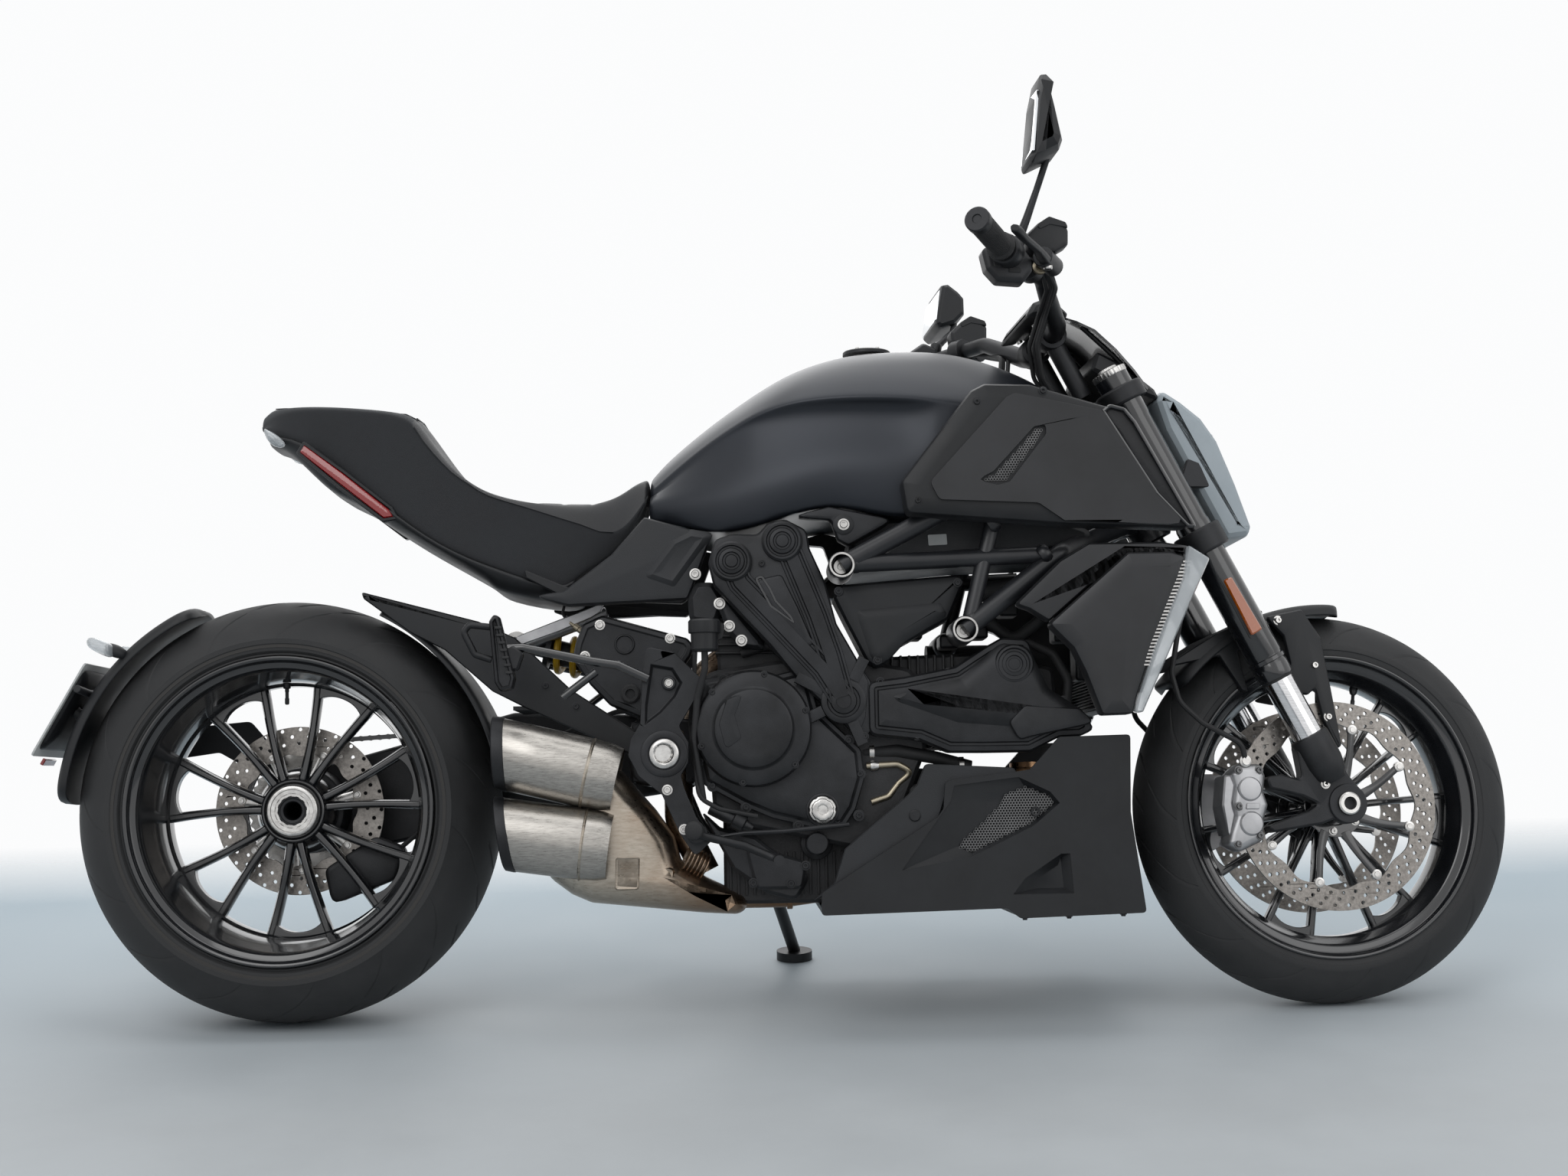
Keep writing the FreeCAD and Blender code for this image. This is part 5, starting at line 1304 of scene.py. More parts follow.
def front_belt_cover():
    """A level cover with a long rounded bulge and a plain panel at its nose."""
    front = relief(FRONT_BELT, 14, [(0, -151), (0, -186), (3, -191), (9, -192), (11, -190), (14, -190),
                                    (16, -194), (24, -195.5)])
    rocket = [(920, 478), (1024, 502), (1070, 540), (1086, 552), (1124, 546), (1152, 484), (1206, 448),
              (1196, 430), (1150, 424), (1018, 436), (930, 468)]
    nose_shape = relief(rocket, 16, [(-2, -193), (4, -198), (14, -202), (24, -203)])
    plain = relief([(1094, 436), (1117, 459), (1196, 453), (1218, 434), (1126, 416), (1108, 411)], 8,
                   [(-2, -200), (0, -204.4), (4, -205.6)])
    cam = [(30, 190), (29, 200), (27, 203.4), (24, 204), (22, 201), (19, 201), (17.6, 204), (13, 204.6),
           (11.6, 201.6), (9.6, 201.6), (8.4, 203.6), (0, 204)]
    parts = [front, nose_shape, plain, spin(cam, (1103, 0, 522), RIGHT, 64)]
    piece("front_belt_cover", merged(*parts), CAST, sharp=28)


def belt_hub_cover():
    hub = [(34, 186), (33, 191), (30, 192.4), (25, 192.4), (23.4, 190.4), (20, 190.4), (18.4, 193.4),
           (11.6, 194.6), (11, 193), (0, 193)]
    star = []
    for angle in (63, 152, 205, 293):
        x, z = polar(BELT_HUB_SPOT, 34, angle)
        fx, fz = polar(BELT_HUB_SPOT, 70 if angle in (63, 293) else 78, angle)
        star.append(sweep([(x, z), (fx, fz)], [(9, -184), (8, -191.5), (0, -192.5), (-8, -191.5),
                                               (-9, -184)]))
    plate = relief([(786, 502), (840, 540), (878, 522), (892, 500), (890, 424), (874, 416), (838, 450)], 10,
                   [(0, -170), (0, -184), (2, -187), (6, -188)])
    piece("belt_hub_cover", merged(plate, spin(hub, BELT_HUB, RIGHT, 64), *star), CAST, sharp=28)


def belt_cover_bolts():
    spots = [(732, -190, 678), (876, -188, 521), (880, -188, 419), (790, -186, 502), (905, -187, 500),
             (1006, -187, 512), (958, -187, 418), (1176, -187, 468), (806, -186, 664)]
    piece("belt_cover_bolts", bolts(spots, RIGHT, 4.4), CAST)


def side_box():
    base = relief(BOX, 8, [(0, -92), (0, -170), (4, -177), (10, -179), (16, -180)])
    lower = relief([(872, 608), (1000, 618), (1006, 598), (944, 562), (916, 534), (900, 528), (892, 540),
                    (874, 590)], 8, [(-2, -178), (6, -183), (14, -184)])
    piece("side_box_shell", merged(base, lower), SATIN, "machine", ["side_box"], bevel=1, sharp=26)
    piece("side_box_bolts", bolts([(902, -181, 532), (846, -180, 636), (1024, -180, 646)], RIGHT, 4.6), CAST)


def airbox():
    airbox = slab([(858, 676), (872, 744), (1000, 752), (1186, 742), (1240, 722), (1200, 694), (1040, 690)],
                  12, -158, 158, 8)
    piece("airbox_shell", airbox, PANEL, bevel=1)
    label = relief([(983, 721), (1011, 722), (1012, 706), (984, 705)], 1.5, [(0, -157), (0, -158.8)])
    piece("blank_label", label, PLATE)


def frame_hangers():
    hanger = relief([(772, 748), (834, 763), (934, 742), (862, 703), (846, 712), (836, 742)], 8,
                    [(0, -160), (0, -184), (2, -188), (6, -189)])
    piece("frame_hanger_plates", both(hanger), CAST, bevel=0.8)
    washer = [(16, 186), (15.4, 190), (12.4, 191.4), (0, 191.4)]
    piece("frame_hanger_washers", both(spin(washer, (855, 0, 735), RIGHT, 40)), SATIN)
    piece("frame_hanger_bolts", both(bolts([(855, -191, 735)], RIGHT, 6)), STEEL)


def rear_cylinder():
    bump_shape = slab([(622, 596), (620, 634), (632, 656), (660, 656), (676, 628), (664, 592)], 12, -150,
                      -120, 8)
    side_left = slab([(700, 556), (742, 550), (700, 604), (672, 640), (664, 620), (682, 576)], 10, -160,
                     -120, 6)
    piece("rear_cylinder_side", merged(bump_shape, side_left), CAST, bevel=1)
    piece("rear_cylinder_bolts", bolts([(682, -162, 588), (668, -162, 622), (632, -151, 668),
                                        (700, -162, 566)], RIGHT, 6), STEEL)


def engine_hoses():
    pipes = [tube([(884, -150, 376), (930, -152, 378), (952, -148, 366), (932, -146, 350), (916, -148, 330),
                   (890, -150, 322)], 5, 12, 12)]
    piece("coolant_pipe", merged(*pipes), BRASS)
    hoses = [tube([(880, -140, 396), (930, -146, 398), (990, -146, 386), (1040, -140, 372)], 10, 20, 14),
             tube([(886, -132, 350), (940, -136, 336), (980, -140, 344)], 8, 18, 12),
             tube([(700, -128, 548), (740, -136, 560), (790, -134, 540), (830, -128, 556)], 7, 20, 12),
             tube([(632, -190, 560), (628, -184, 500), (622, -170, 440), (634, -186, 332), (664, -186, 316),
                   (720, -184, 304)], 3.6, 26, 10),
             tube([(1060, -140, 600), (1110, -136, 560), (1150, -140, 590), (1180, -134, 640)], 9, 24, 12),
             tube([(1130, -130, 560), (1170, -140, 540), (1190, -150, 500), (1186, -150, 460)], 7, 24, 12)]
    piece("engine_hoses", merged(*hoses), RUBBER)


def hose_clips():
    clips = []
    for x, y, z, r in ((896, -141, 397, 11), (1030, -141, 375, 11), (896, -133, 347, 9)):
        clips.append(spin([(r, 0), (r + 1.3, 0), (r + 1.3, 7), (r, 7)], (x, y, z), (-1, 0, 0), 28, True))
    clips.append(spin([(6, 0), (8, 0), (8.5, 4), (6.5, 12), (6, 12)], (890, -150, 376), (1, 0, 0), 24))
    piece("hose_clips", merged(*clips), STEEL)


def engine_ancillaries():
    clutter = []
    for x, z, w, h, y in ((1040, 566, 34, 26, -124), (1092, 600, 30, 34, -118), (1176, 560, 30, 44, -110),
                          (1206, 500, 24, 60, -120), (930, 566, 44, 18, -128), (1000, 552, 30, 20, -126)):
        clutter.append(slab([(x, z), (x, z + h), (x + w, z + h), (x + w, z)], 5, y, y + 60, 3))
    piece("engine_ancillaries", merged(*clutter), SATIN, bevel=1)


def generator_cover():
    profile = [(0, 196), (34, 196), (50, 195), (54, 191), (60, 189), (88, 186), (94, 182), (98, 172),
               (99, 150)]
    ribs = []
    for a in (0.4, 1.4, 2.4, 3.4, 4.4, 5.4):
        inner, outer = Vector((math.cos(a), math.sin(a))) * 58, Vector((math.cos(a), math.sin(a))) * 90
        corners = [(839 + inner.x, 437 + inner.y), (845 + inner.x, 434 + inner.y), (856 + outer.x,
                                                                                    443 + outer.y),
                   (850 + outer.x, 446 + outer.y)]
        ribs.append(relief(corners, 2, [(0, 180), (0, 189)]))
    piece("generator_cover_bowl", merged(spin(profile, GENERATOR, LEFT, 96), *ribs), CAST, "machine",
          ["engine_covers_left"], sharp=28)
    spots = [polar((GENERATOR[0], GENERATOR[2]), 91, 12 + k * 40) for k in range(9)]
    piece("generator_cover_bolts", bolts([(x, 184, z) for x, z in spots], LEFT, 4.6), CAST)


def sprocket_guard():
    guard_line = [(648, 372), (648, 480), (700, 488), (722, 430), (704, 366)]
    guard = relief(guard_line, 12, [(0, 189), (0, 193), (3, 196), (8, 196.4)])
    posts = [tube([(700, 150, z), (700, 190, z)], 6, 1, 12) for z in (378, 474)]
    piece("sprocket_guard_plate", merged(guard, *posts), SATIN, bevel=0.8)
    piece("sprocket_guard_bolts", bolts([(700, 196, 378), (700, 196, 474), (660, 196, 388)], LEFT, 4.6),
          STEEL)


def front_sprocket():
    gear = lambda a: 1 + 0.05 * math.cos(a * 15)
    ring = [(0, 179), (13, 179.6), (14, 178), (14, 175.6), (36, 175.6), (37, 174), (37, 169), (36, 168),
            (0, 168)]
    shaft = [(14, 168), (14, 150)]
    piece("front_sprocket_disc", merged(spin(ring, DRIVE_SPROCKET, LEFT, 90, wave=gear),
                                        spin(shaft, DRIVE_SPROCKET, LEFT, 24)), STEEL, "machine",
          ["drive_sprocket"])


def link_path(count):
    """Places along the drive chain's loop, with the direction of each."""
    rear, front = Vector(REAR_SPOT), Vector((DRIVE_SPROCKET[0], DRIVE_SPROCKET[2]))
    big, small = 111, 43
    run = front - rear
    heading = math.atan2(run.y, run.x)
    lift = math.acos((big - small) / run.length)
    straight = math.sqrt(run.length ** 2 - (big - small) ** 2)
    arc_small, arc_big = 2 * lift * small, (2 * math.pi - 2 * lift) * big
    total = 2 * straight + arc_small + arc_big
    for k in range(count):
        s = total * k / count
        if s < straight:
            start = rear + Vector((math.cos(heading + lift), math.sin(heading + lift))) * big
            end = front + Vector((math.cos(heading + lift), math.sin(heading + lift))) * small
            spot, angle = start.lerp(end, s / straight), heading + lift - math.pi / 2
        elif s < straight + arc_small:
            turn = heading + lift - (s - straight) / small
            spot, angle = front + Vector((math.cos(turn), math.sin(turn))) * small, turn - math.pi / 2
        elif s < 2 * straight + arc_small:
            t = (s - straight - arc_small) / straight
            start = front + Vector((math.cos(heading - lift), math.sin(heading - lift))) * small
            end = rear + Vector((math.cos(heading - lift), math.sin(heading - lift))) * big
            spot, angle = start.lerp(end, t), math.atan2(end.y - start.y, end.x - start.x)
        else:
            turn = heading - lift - (s - 2 * straight - arc_small) / big
            spot, angle = rear + Vector((math.cos(turn), math.sin(turn))) * big, turn - math.pi / 2
        yield spot, angle


LINK_OUTLINE = [(-11, -2.4), (-8, -4.4), (-4, -3.4), (4, -3.4), (8, -4.4), (11, -2.4), (11, 2.4), (8, 4.4),
                (4, 3.4), (-4, 3.4), (-8, 4.4), (-11, 2.4)]


def chain():
    plates, pins = [], []
    for k, (spot, angle) in enumerate(link_path(122)):
        wide = 0 if k % 2 else 1.6
        cs, sn = math.cos(angle), math.sin(angle)
        line = [(spot.x + a * cs - b * sn, spot.y + a * sn + b * cs) for a, b in LINK_OUTLINE]
        for y in (165.6 - wide * 0.3, 176.4 + wide * 0.6):
            rows = [[(x, y, z) for x, z in line], [(x, y + 1.6, z) for x, z in line]]
            plates.append(skin(rows))
        foot = (spot.x + 7.9 * cs, 0, spot.y + 7.9 * sn)
        pins.append(spin([(0, -165), (3.6, -165), (3.6, -177), (2.2, -178.6), (0, -178.6)], foot, RIGHT, 8))
    piece("chain_links", merged(*plates, *pins), STEEL_DARK, "machine", ["drive_chain"])


def swingarm():
    outline = [(-58, 268), (-66, 380), (60, 404), (330, 476), (520, 470), (632, 452), (632, 350), (520, 334),
               (300, 300), (70, 256)]
    arm = relief(outline, 34, [(4, 126), (0, 130), (0, 144), (3, 148.6), (12, 150)])
    pocket = relief([(110, 300), (120, 392), (330, 448), (500, 444), (520, 368), (300, 322)], 24,
                    [(-2, 146), (0, 151.6), (5, 152), (9, 149), (12, 146)])
    hub = spin([(31, 66), (60, 66), (67, 69), (68.5, 76), (68.5, 142), (66, 150), (58, 152), (48, 152),
                (46, 149), (31, 149)], REAR_AXLE, LEFT, 96, True)
    cross = block((530, -78, 358), (630, 128, 450))
    cross_cover = slab([(526, 352), (526, 456), (634, 456), (634, 352)], 26, -79, 130, 5)
    piece("swingarm_casting", merged(arm, pocket, hub, cross, cross_cover), CAST, "machine", ["swingarm"],
          bevel=2, sharp=30)
    pin = [(0, -206), (12, -206), (16, -203), (16, 203), (12, 206), (0, 206)]
    piece("swingarm_pin_rod", spin([(r, -h) for r, h in pin[::-1]], (582, 0, 399), RIGHT, 40), STEEL)
    piece("swingarm_bolts", bolts([(40, 150, 290), (-40, 150, 300), (-30, 150, 366)], LEFT, 6), STEEL)


def rear_brake():
    outline = [(52, 176), (150, 214), (168, 262), (120, 282), (40, 232)]
    inner = relief(outline, 14, [(6, 40), (0, 43), (0, 49), (2, 50)])
    outer = relief(outline, 14, [(2, 60), (0, 62), (0, 82), (4, 87), (12, 88)])
    bridge = relief([(96, 190), (120, 202), (160, 262), (140, 270), (90, 214)], 6, [(0, 44), (0, 84)])
    piece("rear_caliper_body", merged(inner, outer, bridge), CAST, "machine", ["rear_caliper"], bevel=1.5)
    piece("rear_caliper_bolts", bolts([(72, 88, 200), (132, 88, 236), (110, 88, 266), (64, 88, 230)], LEFT,
                                      6), STEEL)
    piece("rear_brake_pads", relief([(70, 196), (130, 220), (120, 262), (60, 226)], 6, [(0, 48.5), (0, 51)]),
          BRASS)
    piece("rear_caliper_stay", tube([(100, 84, 272), (100, 127, 272)], 10, 1, 16), CAST)


def rear_brake_hose():
    hose = tube([(150, 66, 258), (200, 70, 300), (300, 78, 360), (420, 60, 440), (500, 20, 470),
                 (560, -20, 470)], 4, 40, 10)
    piece("rear_brake_hose", hose, RUBBER)


TIP_ENDS = (((345, 456), (348, 347), (512, 362)), ((344, 338), (360, 228), (500, 262)))
TIP_SIDE = -152
TIP_HALF_WIDTH = 50


def tip(sizes, top, bottom, root):
    """An outlet's shell from its slanted mouth to its root; sizes lists (share of the way, scale)."""
    middle = (Vector(top) + Vector(bottom)) / 2
    mouth_up = (Vector(top) - Vector(bottom)) / 2
    ahead = (Vector(root) - middle).normalized()
    root_up = Vector((-ahead.y, ahead.x)) * mouth_up.length * 0.96
    if root_up.y < 0:
        root_up = -root_up
    rows = []
    for share, size in sizes:
        centre = middle.lerp(Vector(root), share)
        up = mouth_up.lerp(root_up, min(1, max(0, share) * 2.4))
        rows.append([(centre.x + up.x * math.cos(a) * size, TIP_SIDE + TIP_HALF_WIDTH * math.sin(a) * size,
                      centre.y + up.y * math.cos(a) * size) for a in turns(48)])
    return skin(rows, caps=False)


def silencer_tips():
    shells, bands, bores = [], [], []
    for top, bottom, root in TIP_ENDS:
        shells.append(tip([(-0.01, 0.98), (0, 1), (0.3, 1), (0.7, 1), (0.9, 0.97), (1, 0.9)], top, bottom,
                          root))
        bands.append(tip([(-0.02, 0.84), (-0.1, 0.86), (-0.11, 0.95), (-0.1, 1.0), (-0.02, 1.02),
                          (0.0, 1.01)], top, bottom, root))
        bores.append(tip([(-0.09, 0.9), (-0.02, 0.82), (0.1, 0.8), (0.6, 0.76), (0.62, 0.2)], top, bottom,
                         root))
    piece("silencer_tip_shells", merged(*shells), STAINLESS, "machine", ["silencer"])
    piece("silencer_tip_bands", merged(*bands), CAST)
    piece("silencer_tip_bores", merged(*bores), BORE)


def silencer_body():
    """The folded box ahead of the outlets, with their weld beads and two pressed panels."""
    body = [(400, 222), (440, 192), (470, 179), (640, 161), (690, 158), (703, 168), (700, 184), (640, 214),
            (604, 236), (594, 276), (566, 316), (538, 348), (512, 380), (480, 380), (444, 340), (420, 300)]
    shape = relief(body, 26, [(34, -24), (14, -30), (3, -44), (0, -66), (0, -108), (3, -126), (9, -140),
                              (18, -150), (30, -156)], 4)
    piece("silencer_body", shape, HEATED, sharp=40)
    seams = []
    for top, bottom, root in TIP_ENDS:
        seams.append(tip([(0.72, 1.0), (0.735, 1.035), (0.75, 1.0)], top, bottom, root))
    panels = [relief([(508, 247), (545, 247), (543, 199), (507, 199)], 5, [(-1, -153), (1, -157.6),
                                                                           (3, -156)]),
              relief([(554, 238), (596, 228), (590, 196), (556, 204)], 8,
                     [(-1, -148), (2, -153), (6, -151)])]
    piece("silencer_seams", merged(*seams, *panels), HEATED, bevel=0.5)


def headers():
    pipe = tube([(1140, 0, 378), (1140, -10, 262), (1060, -40, 209), (890, -60, 206), (760, -64, 190),
                 (690, -70, 190)], 25, 46, 24)
    rear = tube([(690, -20, 560), (640, -40, 520), (600, -60, 420), (600, -62, 300), (640, -64, 220)], 22,
                50, 24)
    flange = spin([(25, 0), (32, 0), (33, 3), (33, 9), (25, 10)], (1140, 0, 372), (0, 0, -1), 40, True)
    joints = [spin([(25, 0), (29, 1), (29, 9), (25, 10)], (x, y, z), (-1, 0, 0), 40, True)
              for x, y, z in ((900, -60, 206), (1000, -52, 207), (772, -64, 191))]
    piece("header_pipes", merged(pipe, rear, flange, *joints), HEATED, "machine", ["exhaust_headers"])
    rings = []
    for k in range(6):
        rings.append(spin([(17, 0), (20, 1.4), (20, 3), (17, 4.4)], (612 + k * 5, -132 + k * 2, 246 - k * 3),
                          (1, 0.2, -0.5), 32, True))
    piece("header_flex_joint", merged(*rings), HEATED)


def shock():
    spring = coil((392, 92, 572), (560, 92, 528), 28, 5.6, 6.5)
    piece("shock_spring_coil", spring, SPRING, "machine", ["rear_shock"])
    axis = (Vector((640, 92, 507)) - Vector((340, 92, 586))).normalized()
    body = [(0, 0), (12, 0), (14, 3), (14, 44), (34, 46), (34, 54), (20, 56), (20, 120), (13, 124), (13, 206),
            (34, 210), (34, 220), (15, 222), (15, 300), (0, 306)]
    piece("shock_damper_body", spin(body, (342, 92, 586), axis, 40), CAST)
    eye = spin([(9, 70), (17, 70), (18, 72), (18, 112), (17, 114), (9, 114)], (340, 0, 586), LEFT, 36, True)
    piece("shock_eye_bush", eye, STEEL)


def subframe_struts():
    strut_rows = []
    for x, z, h, w in ((352, 577, 8, 5), (362, 580, 9, 6), (420, 601, 10, 6), (470, 620, 9, 6),
                       (486, 628, 7, 5)):
        strut_rows.append([(x - 2, -60 - w, z - h), (x - 2, -60 + w, z - h), (x + 3, -60 + w, z + h),
                           (x + 3, -60 - w, z + h)])
    strut_left = tube([(352, 62, 580), (486, 62, 630)], 10, 1, 16)
    piece("subframe_struts", merged(skin(strut_rows), strut_left), CALIPER, bevel=1.6)


def exhaust_sensor():
    sensor = [(0, 0), (3, 0), (3.4, 8), (6, 9), (6, 16), (4.6, 17), (4.6, 26), (7, 27), (7, 34), (4, 35),
              (4, 42), (0, 42)]
    piece("exhaust_sensor", spin(sensor, (436, -64, 605), (0.79, 0, -0.62), 20), BRASS)
    lead = tube([(438, -64, 604), (424, -62, 618), (430, -58, 640), (446, -50, 656)], 2.4, 14, 8)
    piece("exhaust_sensor_lead", lead, RUBBER)


def heel_plates():
    plate = [(560, 556), (601, 547), (641, 507), (638, 490), (606, 438), (620, 414), (619, 384), (608, 366),
             (613, 346), (630, 304), (652, 270), (628, 247), (606, 280), (580, 338), (546, 366), (531, 396),
             (535, 420), (549, 442), (553, 520)]
    recess = [(566, 530), (598, 524), (612, 502), (602, 482), (580, 458), (556, 440), (557, 470)]
    floor_line = inset(recess, 3.5)
    outline = [(p.x, p.y) for p in softened(plate, 7, 3)]
    face = holed(outline, [recess], -189, -204)
    back = relief(inset(plate, 5), 6, [(0, -183), (0, -192)])
    well = funnel(recess, -203, [(p.x, p.y) for p in floor_line], -196)
    boss = spin([(11, 194), (10.4, 203), (9, 204.4), (7, 204.4), (6.4, 200), (0, 200)], (592, 0, 502), RIGHT,
                32)
    piece("heel_plate_faces", both(merged(face, back, well, boss)), CAST, "machine", ["footrest_plates"],
          bevel=1.6)
    piece("heel_plate_bolts", both(bolts([(592, -200, 502), (588, -204, 345), (612, -204, 287)], RIGHT,
                                         5.4)), STEEL)


def pivot_covers():
    """The ringed collars and star-socket nuts over the swingarm's pivot."""
    collar = [(22, 200), (24, 206), (30, 207), (34, 205.6), (35.4, 201), (35.4, 190)]
    piece("pivot_collars", both(spin(collar, SWING_PIVOT, RIGHT, 64)), CAST)
    nut = [(22, 203), (21.4, 208.6), (19.6, 210), (16, 210.2), (14.4, 209)]
    star = [(14.4, 209), (13.4, 203), (0, 203)]
    wavy = lambda a: 1 + 0.05 * math.cos(a * 10)
    piece("pivot_nuts", both(merged(spin(nut, SWING_PIVOT, RIGHT, 64), spin(star, SWING_PIVOT, RIGHT, 80,
                                                                               wave=wavy))), STEEL)


def rear_cast_plates():
    cast = [(444, 545), (449, 570), (460, 598), (490, 611), (618, 574), (628, 562), (622, 546), (596, 512),
            (576, 470), (556, 450), (520, 466), (500, 474), (470, 506)]
    plate_shape = relief(cast, 12, [(0, -96), (0, -116), (3, -121), (9, -122), (11, -120), (18, -119.6)])
    dish = spin([(16, 118), (15, 122.6), (13, 123), (12, 119), (0, 117)], (523, 0, 566), RIGHT, 40)
    piece("rear_cast_plates", both(merged(plate_shape, dish)), CAST, bevel=0.6)
    plug = [(15, 118), (14.6, 124), (12, 126), (7.4, 126), (7, 122), (0, 122)]
    piece("rear_cast_plugs", both(spin(plug, (531, 0, 491), RIGHT, 40)), RUBBER)
    piece("rear_cast_bolts", both(bolts([(592, -121, 574), (463, -121, 549), (486, -121, 596)], RIGHT, 5.4)),
          STEEL)


def pillion_footrests():
    bar = tube([(352, -212, 556), (378, -212, 557), (480, -212, 535), (518, -212, 529), (562, -211, 508)],
               6.6, 16, 14)
    brace = tube([(486, -211, 520), (436, -208, 483)], 6, 4, 12)
    piece("pillion_bars", both(merged(bar, brace)), GLOSS, "machine", ["passenger_footrests"])
    peg = [(330, 596), (337, 606), (345, 603), (368, 512), (364, 496), (346, 492), (338, 506)]
    peg_shape = relief(peg, 6, [(4, -200), (0, -203), (0, -222), (2, -226), (5, -227), (7, -224), (9, -224)])
    pads = [block((339 + k * 2.6, -229, 584 - k * 11), (349 + k * 2.6, -221, 588 - k * 11)) for k in range(7)]
    hinge = relief([(336, 520), (372, 524), (380, 548), (366, 560), (344, 552)], 6, [(0, -202), (0, -218),
                                                                                     (3, -221)])
    loop = tube([(334, -210, 588), (300, -210, 592), (291, -210, 582), (308, -210, 548), (332, -210, 540)],
                5, 9, 12)
    piece("pillion_pegs", both(merged(peg_shape, hinge, loop)), CAST, bevel=0.8)
    piece("pillion_peg_rubbers", both(merged(*pads)), RUBBER, bevel=0.8)


def rider_footrests():
    ridge = lambda h: 13.6 if int(h / 4) % 2 else 12.4
    ridges = [(ridge(h), h) for h in range(272, 212, -2)]
    profile = [(0, 276), (9, 276), (12, 274)] + ridges + [(10, 210), (10, 204)]
    peg_solid = spin(profile, (628, 0, 286), RIGHT, 32)
    piece("rider_peg_rubbers", both(peg_solid), RUBBER)


def foot_levers():
    lever = tube([(630, -213, 279), (700, -214, 262), (748, -219, 241), (750, -250, 240)],
                 [6, 6.4, 5.6, 5.6], 16, 12)
    toe = tube([(750, -228, 240), (750, -252, 240)], 8, 1, 16)
    pivot = spin([(15, 204), (15, 214), (13, 216), (6, 216), (5, 218), (0, 218)], (631, 0, 280), RIGHT, 32)
    piece("foot_levers", both(merged(lever, toe, pivot)), CAST, "machine", ["foot_controls"])
    rod_line = tube([(640, -200, 272), (700, -203, 280), (760, -202, 282), (854, -198, 290)], 3.4, 20, 10)
    pump = spin([(0, 0), (9, 0), (10, 2), (10, 38), (13, 40), (13, 56), (9, 58), (6, 70), (0, 70)],
                (650, -176, 318), (0.8, -0.05, -0.42), 24)
    piece("rear_brake_pump", merged(pump, rod_line), CAST)


def rear_reservoir():
    pot = [(0, 546), (17, 546), (19.6, 549), (20, 572), (23, 573), (23.4, 576), (23.4, 590), (21, 593),
           (12, 593.6), (11, 592), (0, 592)]
    ribbed = lambda a: 1 + 0.012 * (math.cos(a * 20) > 0)
    piece("rear_fluid_reservoir", spin(pot, (646, -229, 0), (0, 0, 1), 80, wave=ribbed), SATIN, "machine",
          ["brake_reservoir"])
    feed = tube([(646, -228, 547), (646, -224, 520), (634, -208, 480), (628, -196, 420), (640, -180, 330)],
                5, 24, 12)
    arm = relief([(660, 560), (672, 566), (676, 586), (664, 590)], 3, [(0, -200), (0, -226)])
    piece("rear_reservoir_hose", merged(feed, arm), RUBBER)


def frame_trellis():
    pieces = []
    for side in (-1, 1):
        upper = [(850, side * 208, 671), (1000, side * 203, 750), (1245, side * 28, 862)]
        lower = [(1030, side * 208, 573), (1177, side * 196, 686), (1300, side * 28, 745),
                 (1334, side * 6, 749)]
        pieces.append(tube(upper, 15, 30, 20))
        pieces.append(tube(lower, 15, 20, 20))
        pieces.append(tube([(872, side * 206, 674), (1158, side * 197, 684)], 13, 2, 20))
        pieces.append(tube([(1040, side * 205, 592), (1076, side * 196, 731), (1085, side * 147, 787)], 12,
                           14, 20))
        for x, z in ((850, 671), (1030, 573)):
            socket = [(14, 122), (18, 122), (20, 125), (20, 222), (19.4, 224.6), (17, 225), (15.6, 223),
                      (15.2, 190), (0, 190)]
            pieces.append(spin(socket, (x, 0, z), LEFT if side > 0 else RIGHT, 48))
        for x, z, r in ((868, 676, 17), (1044, 588, 16), (1152, 684, 15.4), (1076, 731, 14)):
            pieces.append(spin([(r - 3, -8), (r, -3), (r, 3), (r - 3, 8)], (x, side * 204, z), (0.8, 0, 0.5),
                               24))
    head_low, head_high = on_axis(722), on_axis(892)
    length = (head_high - head_low).length
    pieces.append(spin([(20, 0), (30, 0), (32.4, 3), (32.4, 14), (30.4, 18), (30.4, length - 18),
                        (32.4, length - 14), (32.4, length - 3), (30, length), (20, length)], head_low,
                       STEER_UP, 48, True))
    piece("frame_tubes", merged(*pieces), TUBE, "machine", ["frame_trellis"])


def frame_sockets():
    rings = [spin([(15.4, 224), (15.8, 225.6), (18.4, 225.6), (19, 224)], (x, 0, z), RIGHT, 48)
             for x, z in ((850, 671), (1030, 573))]
    piece("frame_socket_rims", both(merged(*rings)), STEEL)
    plugs = [spin([(13, 196), (11, 198), (6, 198), (5, 194), (0, 194)], (x, 0, z), RIGHT, 32)
             for x, z in ((850, 671), (1030, 573))]
    piece("frame_socket_bolts", both(merged(*plugs)), STEEL)


# Fork, front brake, handlebar and everything that steers

FORK_SIDE = 105


def along_fork(profile, low, ahead=30, side=0, finish_steps=48, wave=None):
    """A turned shape round the fork's own line, its heights given square to the ground."""
    stretched = [(r, (h - low) / math.cos(RAKE)) for r, h in profile]
    return spin(stretched, on_axis(low, ahead, side), STEER_UP, finish_steps, wave=wave)


